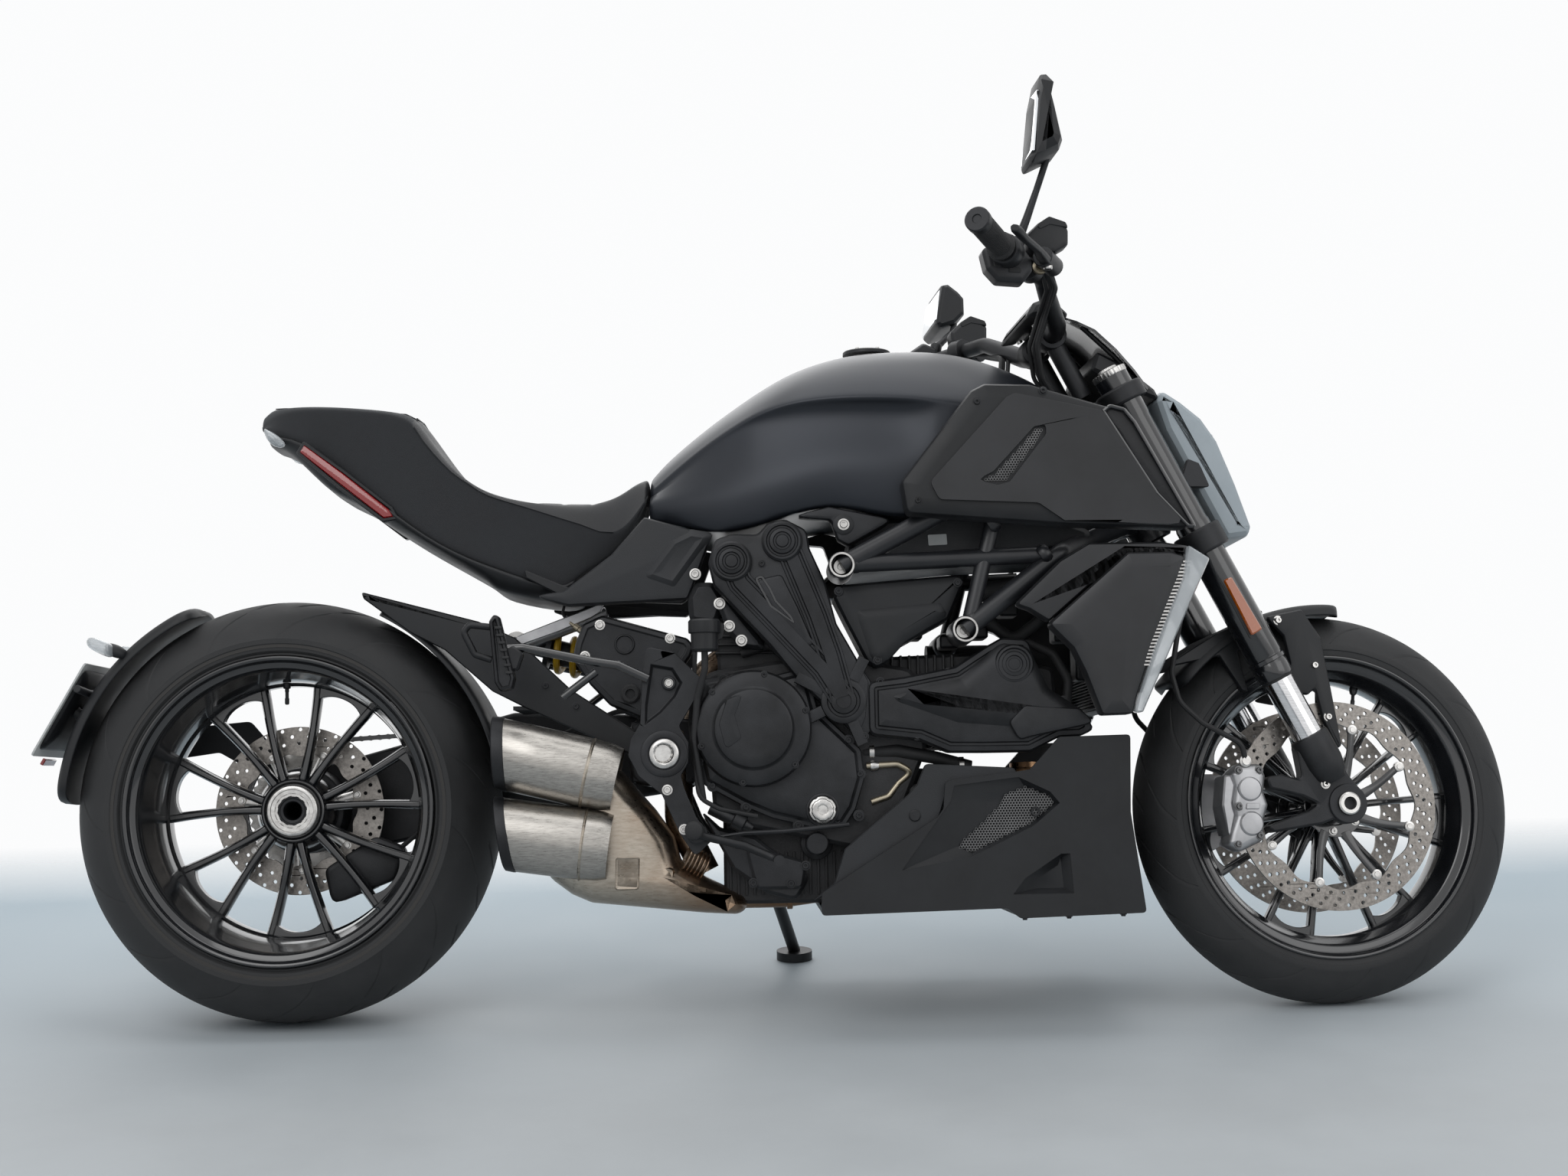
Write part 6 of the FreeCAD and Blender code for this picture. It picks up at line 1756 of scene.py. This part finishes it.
def fork_tubes():
    tubes, rings, sliders, caps, rims = [], [], [], [], []
    for side in (-FORK_SIDE, FORK_SIDE):
        tubes.append(along_fork([(24, 480), (27, 480), (28, 482), (28, 500), (26.8, 502), (26.8, 512),
                                 (28, 515), (27.4, 660), (27.4, 716), (26, 720), (26, 880), (27, 884),
                                 (27, 948), (24, 950)], 480, side=side))
        rings.append(along_fork([(24, 476), (25.4, 477), (25.4, 481), (24, 482)], 476, side=side))
        sliders.append(along_fork([(23.4, 386), (23.4, 480)], 386, side=side))
        knurl = lambda a: 1 + 0.02 * (math.cos(a * 30) > 0)
        caps.append(along_fork([(0, 948), (26, 948), (27, 950), (27, 956), (25, 957), (16, 957.6), (15, 961),
                                (10, 961.6), (9.4, 958), (0, 958)], 948, side=side, finish_steps=120,
                               wave=knurl))
        rims.append(along_fork([(27, 503), (29, 504), (29, 509), (27, 510)], 503, side=side))
    piece("fork_outer_tubes", merged(*tubes, *rims), GLOSS, "front_end", ["fork_tubes"])
    piece("fork_wiper_rings", merged(*rings), RUBBER, "front_end")
    piece("fork_chrome_sliders", merged(*sliders), CHROME, "front_end", ["fork_sliders"])
    piece("fork_top_caps", merged(*caps), STEEL, "front_end")


def fork_lugs():
    """Black castings from the sliders round the axle, with two legs back to each caliper."""
    lugs = []
    web = [(1524, 392), (1576, 404), (1604, 344), (1626, 318), (1624, 292), (1606, 280), (1584, 279),
           (1560, 270), (1480, 258), (1474, 268), (1540, 290), (1556, 300), (1530, 312), (1480, 324),
           (1474, 342), (1500, 346), (1532, 336)]
    for side, facing_out in ((-FORK_SIDE, -1), (FORK_SIDE, 1)):
        sleeve = along_fork([(24, 392), (29, 391), (30.5, 388), (30.5, 350), (27, 332), (20, 322)], 322,
                            side=side)
        low, high = sorted((side - 14, side + 10)) if facing_out < 0 else sorted((side - 10, side + 14))
        clamp = spin([(17, low), (29, low), (30, low + 2), (30, high - 2), (29, high), (17, high)],
                     FRONT_AXLE, LEFT, 56, True)
        y_low, y_high = sorted((side - facing_out * 18, side + facing_out * 10))
        lugs.append(merged(sleeve, clamp, slab(web, 8, y_low, y_high, 3)))
    piece("fork_axle_lugs", merged(*lugs), CAST, "front_end", bevel=1.5)
    pinch = []
    for side in (-1, 1):
        for x, z in ((1566, 330), (1580, 356)):
            pinch.append((x, side * 116, z))
    piece("fork_pinch_bolts", merged(bolts([p for p in pinch if p[1] < 0], RIGHT, 5),
                                     bolts([p for p in pinch if p[1] > 0], LEFT, 5)), STEEL, "front_end")


def front_axle():
    axle = [(10, -126), (15, -126), (17, -124), (17, -116), (14, -114), (14, 114), (17, 116), (17, 124),
            (15, 126), (10, 126)]
    piece("front_axle_tube", spin([(r, -h) for r, h in axle[::-1]], FRONT_AXLE, RIGHT, 48, True), STEEL,
          "front_end", ["front_axle"])


def front_calipers():
    outline = [(1418, 348), (1432, 362), (1466, 362), (1474, 344), (1470, 320), (1476, 300), (1469, 280),
               (1464, 246), (1428, 230), (1408, 242), (1414, 262), (1423, 284), (1420, 304), (1424, 326)]
    outer = relief(outline, 7, [(2, -82), (0, -84), (0, -108), (3, -114), (7, -117), (12, -118)])
    inner = relief(outline, 7, [(3, -61.4), (3, -63)])
    bridge = slab([(1412, 246), (1424, 286), (1420, 304), (1426, 330), (1420, 346), (1410, 346),
                   (1404, 300)], 4, -112, -62, 3)
    cups = [spin([(19, 104), (18.4, 119), (16, 121.6), (8, 122.4), (0, 122.4)], (x, 0, z), RIGHT, 48)
            for x, z in ((1446, 272), (1446, 324))]
    waist = relief([(1436, 292), (1460, 292), (1462, 304), (1438, 304)], 3, [(0, -112), (2, -121)])
    piece("front_caliper_bodies", both(merged(outer, inner, bridge, *cups, waist)), CALIPER, "front_end",
          ["front_calipers"], bevel=1.6)
    spots = [(1428, -117, 298), (1430, -117, 352), (1424, -116, 242), (1462, -117, 352), (1458, -117, 254)]
    piece("front_caliper_bolts", both(bolts(spots, RIGHT, 4.6)), STEEL_DARK, "front_end")
    pads = relief([(1432, 246), (1468, 256), (1466, 346), (1434, 350)], 5, [(0, -80.5), (0, -83)])
    piece("front_brake_pads", both(pads), BRASS, "front_end")


def front_hoses():
    banjo = spin([(0, 0), (8, 0), (9, 1), (9, 5), (6, 6), (6, 9), (0, 9)], (1442, -112, 366), (0, -1, 0), 28)
    piece("brake_banjos", both(banjo), STEEL, "front_end")
    hose = tube([(1442, -116, 366), (1436, -122, 392), (1412, -124, 404), (1376, -122, 424),
                 (1344, -116, 456), (1336, -108, 500), (1352, -96, 560), (1372, -80, 620), (1386, -60, 676),
                 (1392, -30, 696)], 4.2, 34, 10)
    piece("front_brake_hoses", both(hose), RUBBER, "front_end")


def side_reflectors():
    glass = relief([(1417, 640), (1430, 645), (1474, 565), (1457, 555)], 3, [(0, -128), (0, -133), (2, -135)])
    piece("side_reflectors", both(glass), AMBER, "front_end")
    backing = relief([(1411, 641), (1433, 652), (1480, 566), (1456, 549)], 4, [(0, -124), (0, -130)])
    piece("side_reflector_backs", both(backing), SATIN, "front_end")


def front_guard():
    blade = band(FRONT_AXLE, 304, 315, 71, 84, 58, 8, 2, 0.6)
    piece("front_mudguard_blade", blade, SATIN, "front_end", ["front_mudguard"], level=1)
    stay = [(1500, 592), (1560, 604), (1588, 560), (1600, 480), (1606, 436), (1612, 392), (1604, 386),
            (1584, 430), (1574, 480), (1562, 470), (1530, 476), (1536, 520), (1528, 562)]
    stay_shape = relief(stay, 6, [(0, -71), (0, -75), (2, -78), (6, -79)])
    tail_line = [(1500, 606), (1490, 597), (1424, 568), (1350, 524), (1356, 518), (1426, 532), (1460, 478),
                 (1470, 476), (1456, 540), (1500, 570)]
    tail_shape = relief(tail_line, 3, [(0, -60), (0, -66), (2, -69)])
    piece("front_mudguard_stays", both(merged(stay_shape, tail_shape)), SATIN, "front_end", bevel=1)
    piece("front_mudguard_bolts", both(bolts([(1575, -78, 516), (1592, -78, 436), (1520, -78, 586)], RIGHT,
                                             5)), STEEL, "front_end")


def clamps():
    shapes = []
    for height, half in ((691, 17), (918, 12)):
        for side in (-FORK_SIDE, FORK_SIDE):
            ring = [(28.4, height - half), (36, height - half), (38, height - half + 2),
                    (38, height + half - 2), (36, height + half), (28.4, height + half)]
            shapes.append(along_fork(ring, height - half, side=side))
        across = [on_axis(height, 12, -90), on_axis(height, 6, -40), on_axis(height, 6, 40),
                  on_axis(height, 12, 90)]
        rows = []
        for k, spot in enumerate(across):
            wide = 30 if k in (0, 3) else 42
            corners = [(-wide, -half), (wide * 0.7, -half), (wide * 0.8, -half + 3), (wide * 0.8, half - 3),
                       (wide * 0.7, half), (-wide, half)]
            rows.append([spot + STEER_FORWARD * a + STEER_UP * b for a, b in corners])
        shapes.append(skin(rows))
    piece("fork_clamps", merged(*shapes), CAST, "front_end", ["triple_clamps"], bevel=1.5)
    nut = [(0, 0), (20, 0), (21, 2), (21, 9), (19, 11), (9, 11), (8, 8), (0, 8)]
    top = spin(nut, on_axis(930, 0), STEER_UP, 48)
    stem = spin([(17, 0), (17, 246)], on_axis(700), STEER_UP, 32)
    piece("steering_stem_nut", merged(top, stem), STEEL_DARK, "front_end")
    pinch = []
    for height in (684, 698, 918):
        for side in (-1, 1):
            foot = on_axis(height, -4, side * 92)
            pinch.append(tube([foot - STEER_FORWARD * 14, foot + STEER_FORWARD * 8], 4.4, 1, 14))
    piece("fork_clamp_bolts", merged(*pinch), STEEL, "front_end")


def handlebar():
    line = [(985, -430, 1100), (1046, -330, 1091), (1138, -190, 1092), (1184, -95, 1042), (1184, 0, 1040),
            (1184, 95, 1042), (1138, 190, 1092), (1046, 330, 1091), (985, 430, 1100)]
    widths = [11, 11, 13, 15.6, 15.6, 15.6, 13, 11, 11]
    risers = []
    for side in (-50, 50):
        head = Vector((1184, side, 1042))
        risers.append(tube([head + STEER_UP * 8, head - STEER_UP * 112], 15, 1, 28))
        risers.append(spin([(17, -18), (23, -16), (24, -14), (24, 14), (23, 16), (17, 18)],
                           (1184, side, 1041), LEFT, 32))
    piece("handlebar_tube", merged(tube(line, widths, 40, 24), *risers), CAST, "front_end", ["handlebar"])
    ring = [Vector((1184, side, 1041)) + STEER_UP * 24 + STEER_FORWARD * off
            for side in (-50, 50) for off in (-12, 12)]
    heads = [spin([(0, 0), (5, 0), (5, 4), (3, 4.6), (0, 4.6)], spot, STEER_UP, 16) for spot in ring]
    piece("handlebar_clamp_bolts", merged(*heads), STEEL, "front_end")


def grips():
    start, end = Vector((1040, -338, 1091.6)), Vector((986, -428, 1099.8))
    heading = (end - start)
    profile = [(11, 0), (20, 0), (21, 2), (21, 6), (18, 8)]
    h = 8
    while h < heading.length - 16:
        profile += [(17.2, h + 1), (17.2, h + 2.6), (16.2, h + 3.2), (16.2, h + 4)]
        h += 4
    profile += [(17, h + 2), (18, h + 4), (17.6, h + 9), (12, h + 10)]
    waffle = lambda a: 1 + 0.012 * (math.cos(a * 22) > 0)
    piece("grip_rubbers", both(spin(profile, start, heading, 66, wave=waffle)), RUBBER, "front_end",
          ["grips"])
    weight = spin([(0, 0), (17, 0), (18.6, 1.6), (18.6, 12), (17, 14), (7, 14), (6, 12), (0, 12)],
                  end - heading.normalized() * 6, heading, 40)
    piece("bar_end_weights", both(weight), CAST, "front_end")


def control_housings():
    axis = Vector((1046, -330, 1091)) - Vector((1138, -190, 1092))
    at = Vector((1052, -322, 1091))
    housing = spin([(13, -16), (21, -15), (23, -12), (23.4, 10), (21, 14), (13, 15)], at, axis, 40)
    pod = relief([(1018, 1096), (1024, 1068), (1040, 1050), (1078, 1048), (1092, 1066), (1092, 1084),
                  (1074, 1110), (1052, 1120)], 8, [(4, -278), (0, -284), (0, -306), (3, -310), (8, -312)])
    buttons = [block((1034, -314, 1070), (1046, -311, 1082)), block((1056, -314, 1062), (1074, -311, 1070)),
               block((1052, -314, 1086), (1070, -311, 1094))]
    pump = tube([(1142, -244, 1093), (1112, -294, 1093)], 15, 1, 24)
    perch = spin([(12, -12), (21, -11), (21, 11), (12, 12)], (1106, -239, 1092), axis, 36)
    piece("control_housings", both(merged(housing, pod, pump, perch)), CAST, "front_end", ["hand_controls"],
          bevel=1.2)
    piece("control_buttons", both(merged(*buttons)), RUBBER, "front_end", bevel=1)


def front_reservoirs():
    pot = [(1094, 1112), (1092, 1130), (1112, 1149), (1128, 1156), (1150, 1148), (1157, 1140), (1156, 1116),
           (1136, 1104), (1108, 1102)]
    body = relief([(x, z) for x, z in pot], 8, [(6, -246), (1, -250), (0, -256), (0, -276), (2, -280),
                                                (7, -282)])
    lid = relief([(1110, 1146), (1128, 1158), (1152, 1150), (1156, 1142), (1128, 1146), (1112, 1138)], 3,
                 [(0, -245), (-1, -250), (-1, -278), (0, -283)])
    piece("front_fluid_pots", both(merged(body, lid)), SATIN, "front_end", bevel=0.8)
    fitting = spin([(0, 0), (7, 0), (8, 1), (8, 5), (11, 6), (11, 11), (7, 12), (7, 16), (0, 16)],
                   (1116, -252, 1086), (0, -1, 0.1), 28)
    piece("master_fittings", both(fitting), BRASS, "front_end")


def hand_levers():
    rows = []
    for spot, w, h in (((1126, -280, 1090), 12, 9), ((1112, -302, 1088), 11, 7), ((1092, -346, 1086), 8, 5),
                       ((1060, -396, 1086), 8, 5), ((1042, -426, 1088), 9, 6), ((1036, -434, 1089), 6, 5)):
        x, y, z = spot
        rows.append([(x - w, y, z - h * 0.5), (x - w * 0.4, y - 1, z - h), (x + w * 0.6, y, z - h),
                     (x + w, y, z), (x + w * 0.6, y, z + h), (x - w * 0.4, y - 1, z + h),
                     (x - w, y, z + h * 0.5)])
    piece("hand_levers", both(skin(rows)), SATIN, "front_end", bevel=1.4)
    piece("lever_pivots", both(spin([(0, 1076), (6, 1076), (7, 1078), (7, 1100), (6, 1102), (0, 1102)],
                                    (1122, -284, 0), (0, 0, 1), 24)), STEEL, "front_end")


def handlebar_cables():
    wires = []
    for dx, dy in ((0, 0), (7, 4), (-6, 8), (2, -9)):
        wires.append(tube([(1128 + dx, -246, 1090), (1150 + dx, -200 + dy, 1074),
                           (1154 + dx, -130 + dy, 1052), (1144 + dx, -104 + dy, 1010),
                           (1156 + dx, -80 + dy, 966), (1190 + dx, -56, 930)], 3.6, 34, 8))
    piece("handlebar_cables", both(merged(*wires)), RUBBER, "front_end")


def mirrors():
    right = [(1104, 1350), (1114, 1348), (1124, 1300), (1133, 1250), (1127, 1234), (1086, 1213), (1083, 1222),
             (1094, 1308)]
    shell_right = relief(right, 5, [(7, -292), (2, -296), (0, -304), (0, -352), (6, -368), (18, -376)])
    left = [(1096, 1236), (1108, 1238), (1126, 1224), (1136, 1212), (1136, 1184), (1118, 1166), (1092, 1157),
            (1083, 1166)]
    shell_left = flipped(relief(left, 5, [(7, -318), (2, -322), (0, -330), (0, -428), (6, -442), (16, -450)]))
    piece("mirror_housings", merged(shell_right, shell_left), SATIN, "front_end", ["mirrors"], bevel=1.2,
          sharp=24)
    stems = []
    for points in (((1076, -292, 1114), (1090, -298, 1150), (1104, -306, 1190), (1118, -324, 1236),
                    (1120, -332, 1262)), ((1076, 292, 1114), (1092, 302, 1130), (1112, 322, 1150),
                                          (1120, 336, 1170), (1118, 360, 1196))):
        stems.append(tube(points, [7, 6, 5, 5, 6], 20, 14))
        foot = Vector(points[0])
        stems.append(spin([(0, -12), (9, -12), (10, -10), (10, 4), (8, 7), (0, 7)], foot, (0.2, 0, 1), 24))
    piece("mirror_stems", merged(*stems), CAST, "front_end")


def mirror_glass():
    right_glass = [(1085, -298, 1226), (1085, -366, 1228), (1097, -360, 1322), (1101, -304, 1330)]
    left_glass = [(1086, 324, 1174), (1085, 442, 1172), (1093, 436, 1226), (1095, 330, 1228)]
    sheets = []
    for line in (right_glass, left_glass):
        sheets.append(skin([[(x - 1.4, y, z) for x, y, z in line], [(x + 3, y, z) for x, y, z in line]]))
    piece("mirror_glass", merged(*sheets), MIRROR, "front_end", bevel=0.6)


def headlight():
    side = [(1349, 950), (1380, 930), (1412, 904), (1436, 868), (1462, 800), (1484, 732), (1479, 717),
            (1440, 712), (1400, 792), (1354, 884), (1340, 930)]
    shell = relief(side, 10, [(24, 93), (8, 90), (2, 84), (0, 74), (0, -74), (2, -84), (8, -90), (24, -93)],
                   4)
    piece("headlight_shell", shell, LAMP_SHELL, "front_end", ["headlight"], sharp=30)
    rows = []
    for x, z, w in ((1398, 918, 60), (1416, 900, 74), (1438, 866, 82), (1462, 804, 80), (1482, 748, 66),
                    (1484, 732, 54)):
        rows.append([(x + 2 - 10 * (abs(t) ** 3), t * w, z + 2) for t in [k / 8 - 1 for k in range(17)]])
    lens = skin(rows, around=False, caps=False)
    piece("headlight_lens", lens, CLEAR_LENS, "front_end")
    inside_rows = [[(x - 8, y * 0.9, z) for x, y, z in row] for row in rows]
    piece("headlight_reflector", skin(inside_rows, around=False, caps=False), CHROME, "front_end")
    bars = []
    for z, x, w in ((870, 1434, 72), (776, 1470, 62)):
        bars.append(tube([(x - 4, -w, z + 8), (x, -w * 0.5, z), (x, w * 0.5, z), (x - 4, w, z + 8)], 4, 20,
                         10))
    piece("headlight_light_bars", merged(*bars), CHROME, "front_end")
    brackets = [slab([(1372, 806), (1382, 792), (1420, 792), (1404, 832), (1384, 838)], 5, -92, -84, 2),
                slab([(1372, 806), (1382, 792), (1420, 792), (1404, 832), (1384, 838)], 5, 84, 92, 2)]
    piece("headlight_brackets", merged(*brackets), CAST, "front_end")


def flyscreen():
    rows = []
    for x, z, w in ((1208, 1078, 74), (1232, 1066, 88), (1258, 1050, 98), (1290, 1018, 102), (1318, 986, 100),
                    (1341, 959, 92)):
        rows.append([(x - 14 * abs(t) ** 2.4, t * w,
                      z - 10 * abs(t) ** 2.4) for t in [k / 10 - 1 for k in range(21)]])
    low_rows = [[(x - 2, y, z - 3) for x, y, z in row] for row in rows]
    shield = skin([outer + inner[::-1] for outer, inner in zip(rows, low_rows)])
    piece("flyscreen_shield", shield, GLOSS, "front_end", ["flyscreen"])
    rails = [tube([(1230, y, 1052), (1280, y * 1.04, 1004), (1330, y, 952)], 4, 20, 10) for y in (-70, 70)]
    cowl = slab([(1250, 1010), (1290, 990), (1340, 950), (1350, 930), (1300, 950), (1240, 980)], 6, -84, 84,
                5)
    piece("flyscreen_rails", merged(*rails, cowl), SATIN, "front_end")


def dashboard():
    dash = relief([(1136, 1060), (1160, 1064), (1176, 1072), (1202, 1060), (1204, 1068), (1192, 1080),
                   (1168, 1091), (1150, 1084)], 4, [(6, 91), (0, 86), (0, -86), (6, -91)])
    piece("dash_housing", dash, SATIN, "front_end", ["dashboard"], bevel=1)
    face_rows = [[(1140, -74, 1065.4), (1140, 74, 1065.4)], [(1164, -78, 1088), (1164, 78, 1088)]]
    piece("dash_display", skin([[(x - 2, y, z + 1.6) for x, y, z in row] for row in face_rows], around=False,
                               caps=False), GLOSS, "front_end")


def dress_frame():
    for name, item in frame["nodes"].items():
        item.data.materials.clear()
        item.data.materials.append(SLOT_MATERIAL[NODE_SLOT[name]])
        for face in item.data.polygons:
            face.use_smooth = True
        item.data.set_sharp_from_angle(angle=math.radians(32))


# Camera, floor and light


def camera():
    """Stands at the machine's right side, a little above the seat, looking slightly down."""
    data = bpy.data.cameras.new("camera")
    data.sensor_width = 36
    data.lens = 51.59
    item = bpy.data.objects.new("camera", data)
    bpy.context.scene.collection.objects.link(item)
    item.location = (-0.0483, -3.6014, 0.9157)
    turn = Matrix.Rotation(math.radians(-0.92), 4, "Z") @ Matrix.Rotation(math.radians(-4.31), 4, "X")
    turn = turn @ Matrix.Rotation(math.radians(0.96), 4, "Y") @ Matrix.Rotation(math.radians(90), 4, "X")
    item.rotation_euler = turn.to_euler()
    bpy.context.scene.camera = item


def seen_directly(made):
    """A socket that is 1 where the camera sees a surface itself, in a mirror or through glass."""
    paths = made.node_tree.nodes.new("ShaderNodeLightPath")
    total = paths.outputs["Is Camera Ray"]
    for name in ("Is Glossy Ray", "Is Transmission Ray"):
        adding = made.node_tree.nodes.new("ShaderNodeMath")
        adding.operation = "MAXIMUM"
        link(made, total, adding.inputs[0])
        link(made, paths.outputs[name], adding.inputs[1])
        total = adding.outputs["Value"]
    return total


FLOOR_END = 0.83


def pale_floor():
    """Grey in front, with painted bluish light towards the back, and gone into the white beyond the floor's
    far edge.
    """
    made = grained("pale_floor", (0.66, 0.68, 0.69), (0.71, 0.73, 0.74), (0.5, 0.65), 60, 0.0002, 0.0, 3)
    coordinates = made.node_tree.nodes.new("ShaderNodeTexCoord")
    split = made.node_tree.nodes.new("ShaderNodeSeparateXYZ")
    link(made, coordinates.outputs["Object"], split.inputs["Vector"])
    # The blend towards blue along the floor's depth is painted bluish light, not the floor's own colour.
    depth = spread(made, split.outputs["Y"], 0, 1, -0.7, 0.8)
    mix = made.node_tree.nodes.new("ShaderNodeMix")
    mix.data_type = "RGBA"
    link(made, depth, mix.inputs["Factor"])
    shader = shader_of(made)
    link(made, shader.inputs["Base Color"].links[0].from_socket, mix.inputs["A"])
    mix.inputs["B"].default_value = (0.66, 0.76, 0.82, 1)
    link(made, mix.outputs["Result"], shader.inputs["Base Color"])
    link(made, spread(made, split.outputs["Y"], 1, 0, FLOOR_END - 0.1, FLOOR_END + 0.5),
         shader.inputs["Alpha"])
    return made


def studio():
    world = bpy.data.worlds.new("studio")
    world.use_nodes = True
    bpy.context.scene.world = world
    backdrop = world.node_tree.nodes["Background"]
    seen = seen_directly(world)
    strength = spread(world, seen, 0.27, 1.0, 0, 1)
    link(world, strength, backdrop.inputs["Strength"])
    tone = world.node_tree.nodes.new("ShaderNodeMix")
    tone.data_type = "RGBA"
    link(world, seen, tone.inputs["Factor"])
    tone.inputs["A"].default_value = (0.8, 0.91, 1, 1)
    tone.inputs["B"].default_value = (0.97, 0.975, 0.98, 1)
    link(world, tone.outputs["Result"], backdrop.inputs["Color"])
    floor = bpy.data.meshes.new("floor")
    reach = 14
    floor.from_pydata([(-reach, -reach, 0), (reach, -reach, 0), (reach, reach, 0), (-reach, reach, 0)], [],
                      [(0, 1, 2, 3)])
    item = bpy.data.objects.new("floor", floor)
    bpy.context.scene.collection.objects.link(item)
    floor.materials.append(pale_floor())
    for name, spot, aim, power, size in (("key", (-1.6, -3.2, 3.4), (0, 0, 0.6), 44, 2.6),
                                         ("fill", (2.8, -2.4, 2.2), (0.4, 0, 0.6), 20, 2.4),
                                         ("top", (0.2, 0.4, 4.2), (0, 0, 0.5), 50, 3.6),
                                         ("rear", (-0.6, 3.4, 2.6), (0, 0, 0.7), 26, 2.6)):
        data = bpy.data.lights.new(name, "AREA")
        data.energy = power
        data.size = size
        lamp = bpy.data.objects.new(name, data)
        bpy.context.scene.collection.objects.link(lamp)
        lamp.location = spot
        lamp.rotation_euler = (Vector(aim) - Vector(spot)).to_track_quat("-Z", "Y").to_euler()
    bpy.context.scene.view_settings.view_transform = "Standard"


camera()
studio()
dress_frame()
rear_wheel()
rear_disc()
rear_axle()
rear_valve()
rear_sprocket()
front_wheel()
front_discs()
front_valve()
seat()
seat_piping()
tail()
tank()
intakes()
radiator_group()
belly()
side_panels()
rear_mudguard()
plate_holder()
number_plate()
rear_indicators()
hugger()
engine_core()
side_covers()
clutch_cover()
oil_filler()
rear_belt_cover()
front_belt_cover()
belt_hub_cover()
belt_cover_bolts()
side_box()
airbox()
frame_hangers()
rear_cylinder()
engine_hoses()
hose_clips()
engine_ancillaries()
generator_cover()
sprocket_guard()
front_sprocket()
chain()
swingarm()
rear_brake()
rear_brake_hose()
silencer_tips()
silencer_body()
headers()
shock()
subframe_struts()
exhaust_sensor()
heel_plates()
pivot_covers()
rear_cast_plates()
pillion_footrests()
rider_footrests()
foot_levers()
rear_reservoir()
frame_trellis()
frame_sockets()
fork_tubes()
fork_lugs()
front_axle()
front_calipers()
front_hoses()
side_reflectors()
front_guard()
clamps()
handlebar()
grips()
control_housings()
front_reservoirs()
hand_levers()
handlebar_cables()
mirrors()
mirror_glass()
headlight()
flyscreen()
dashboard()
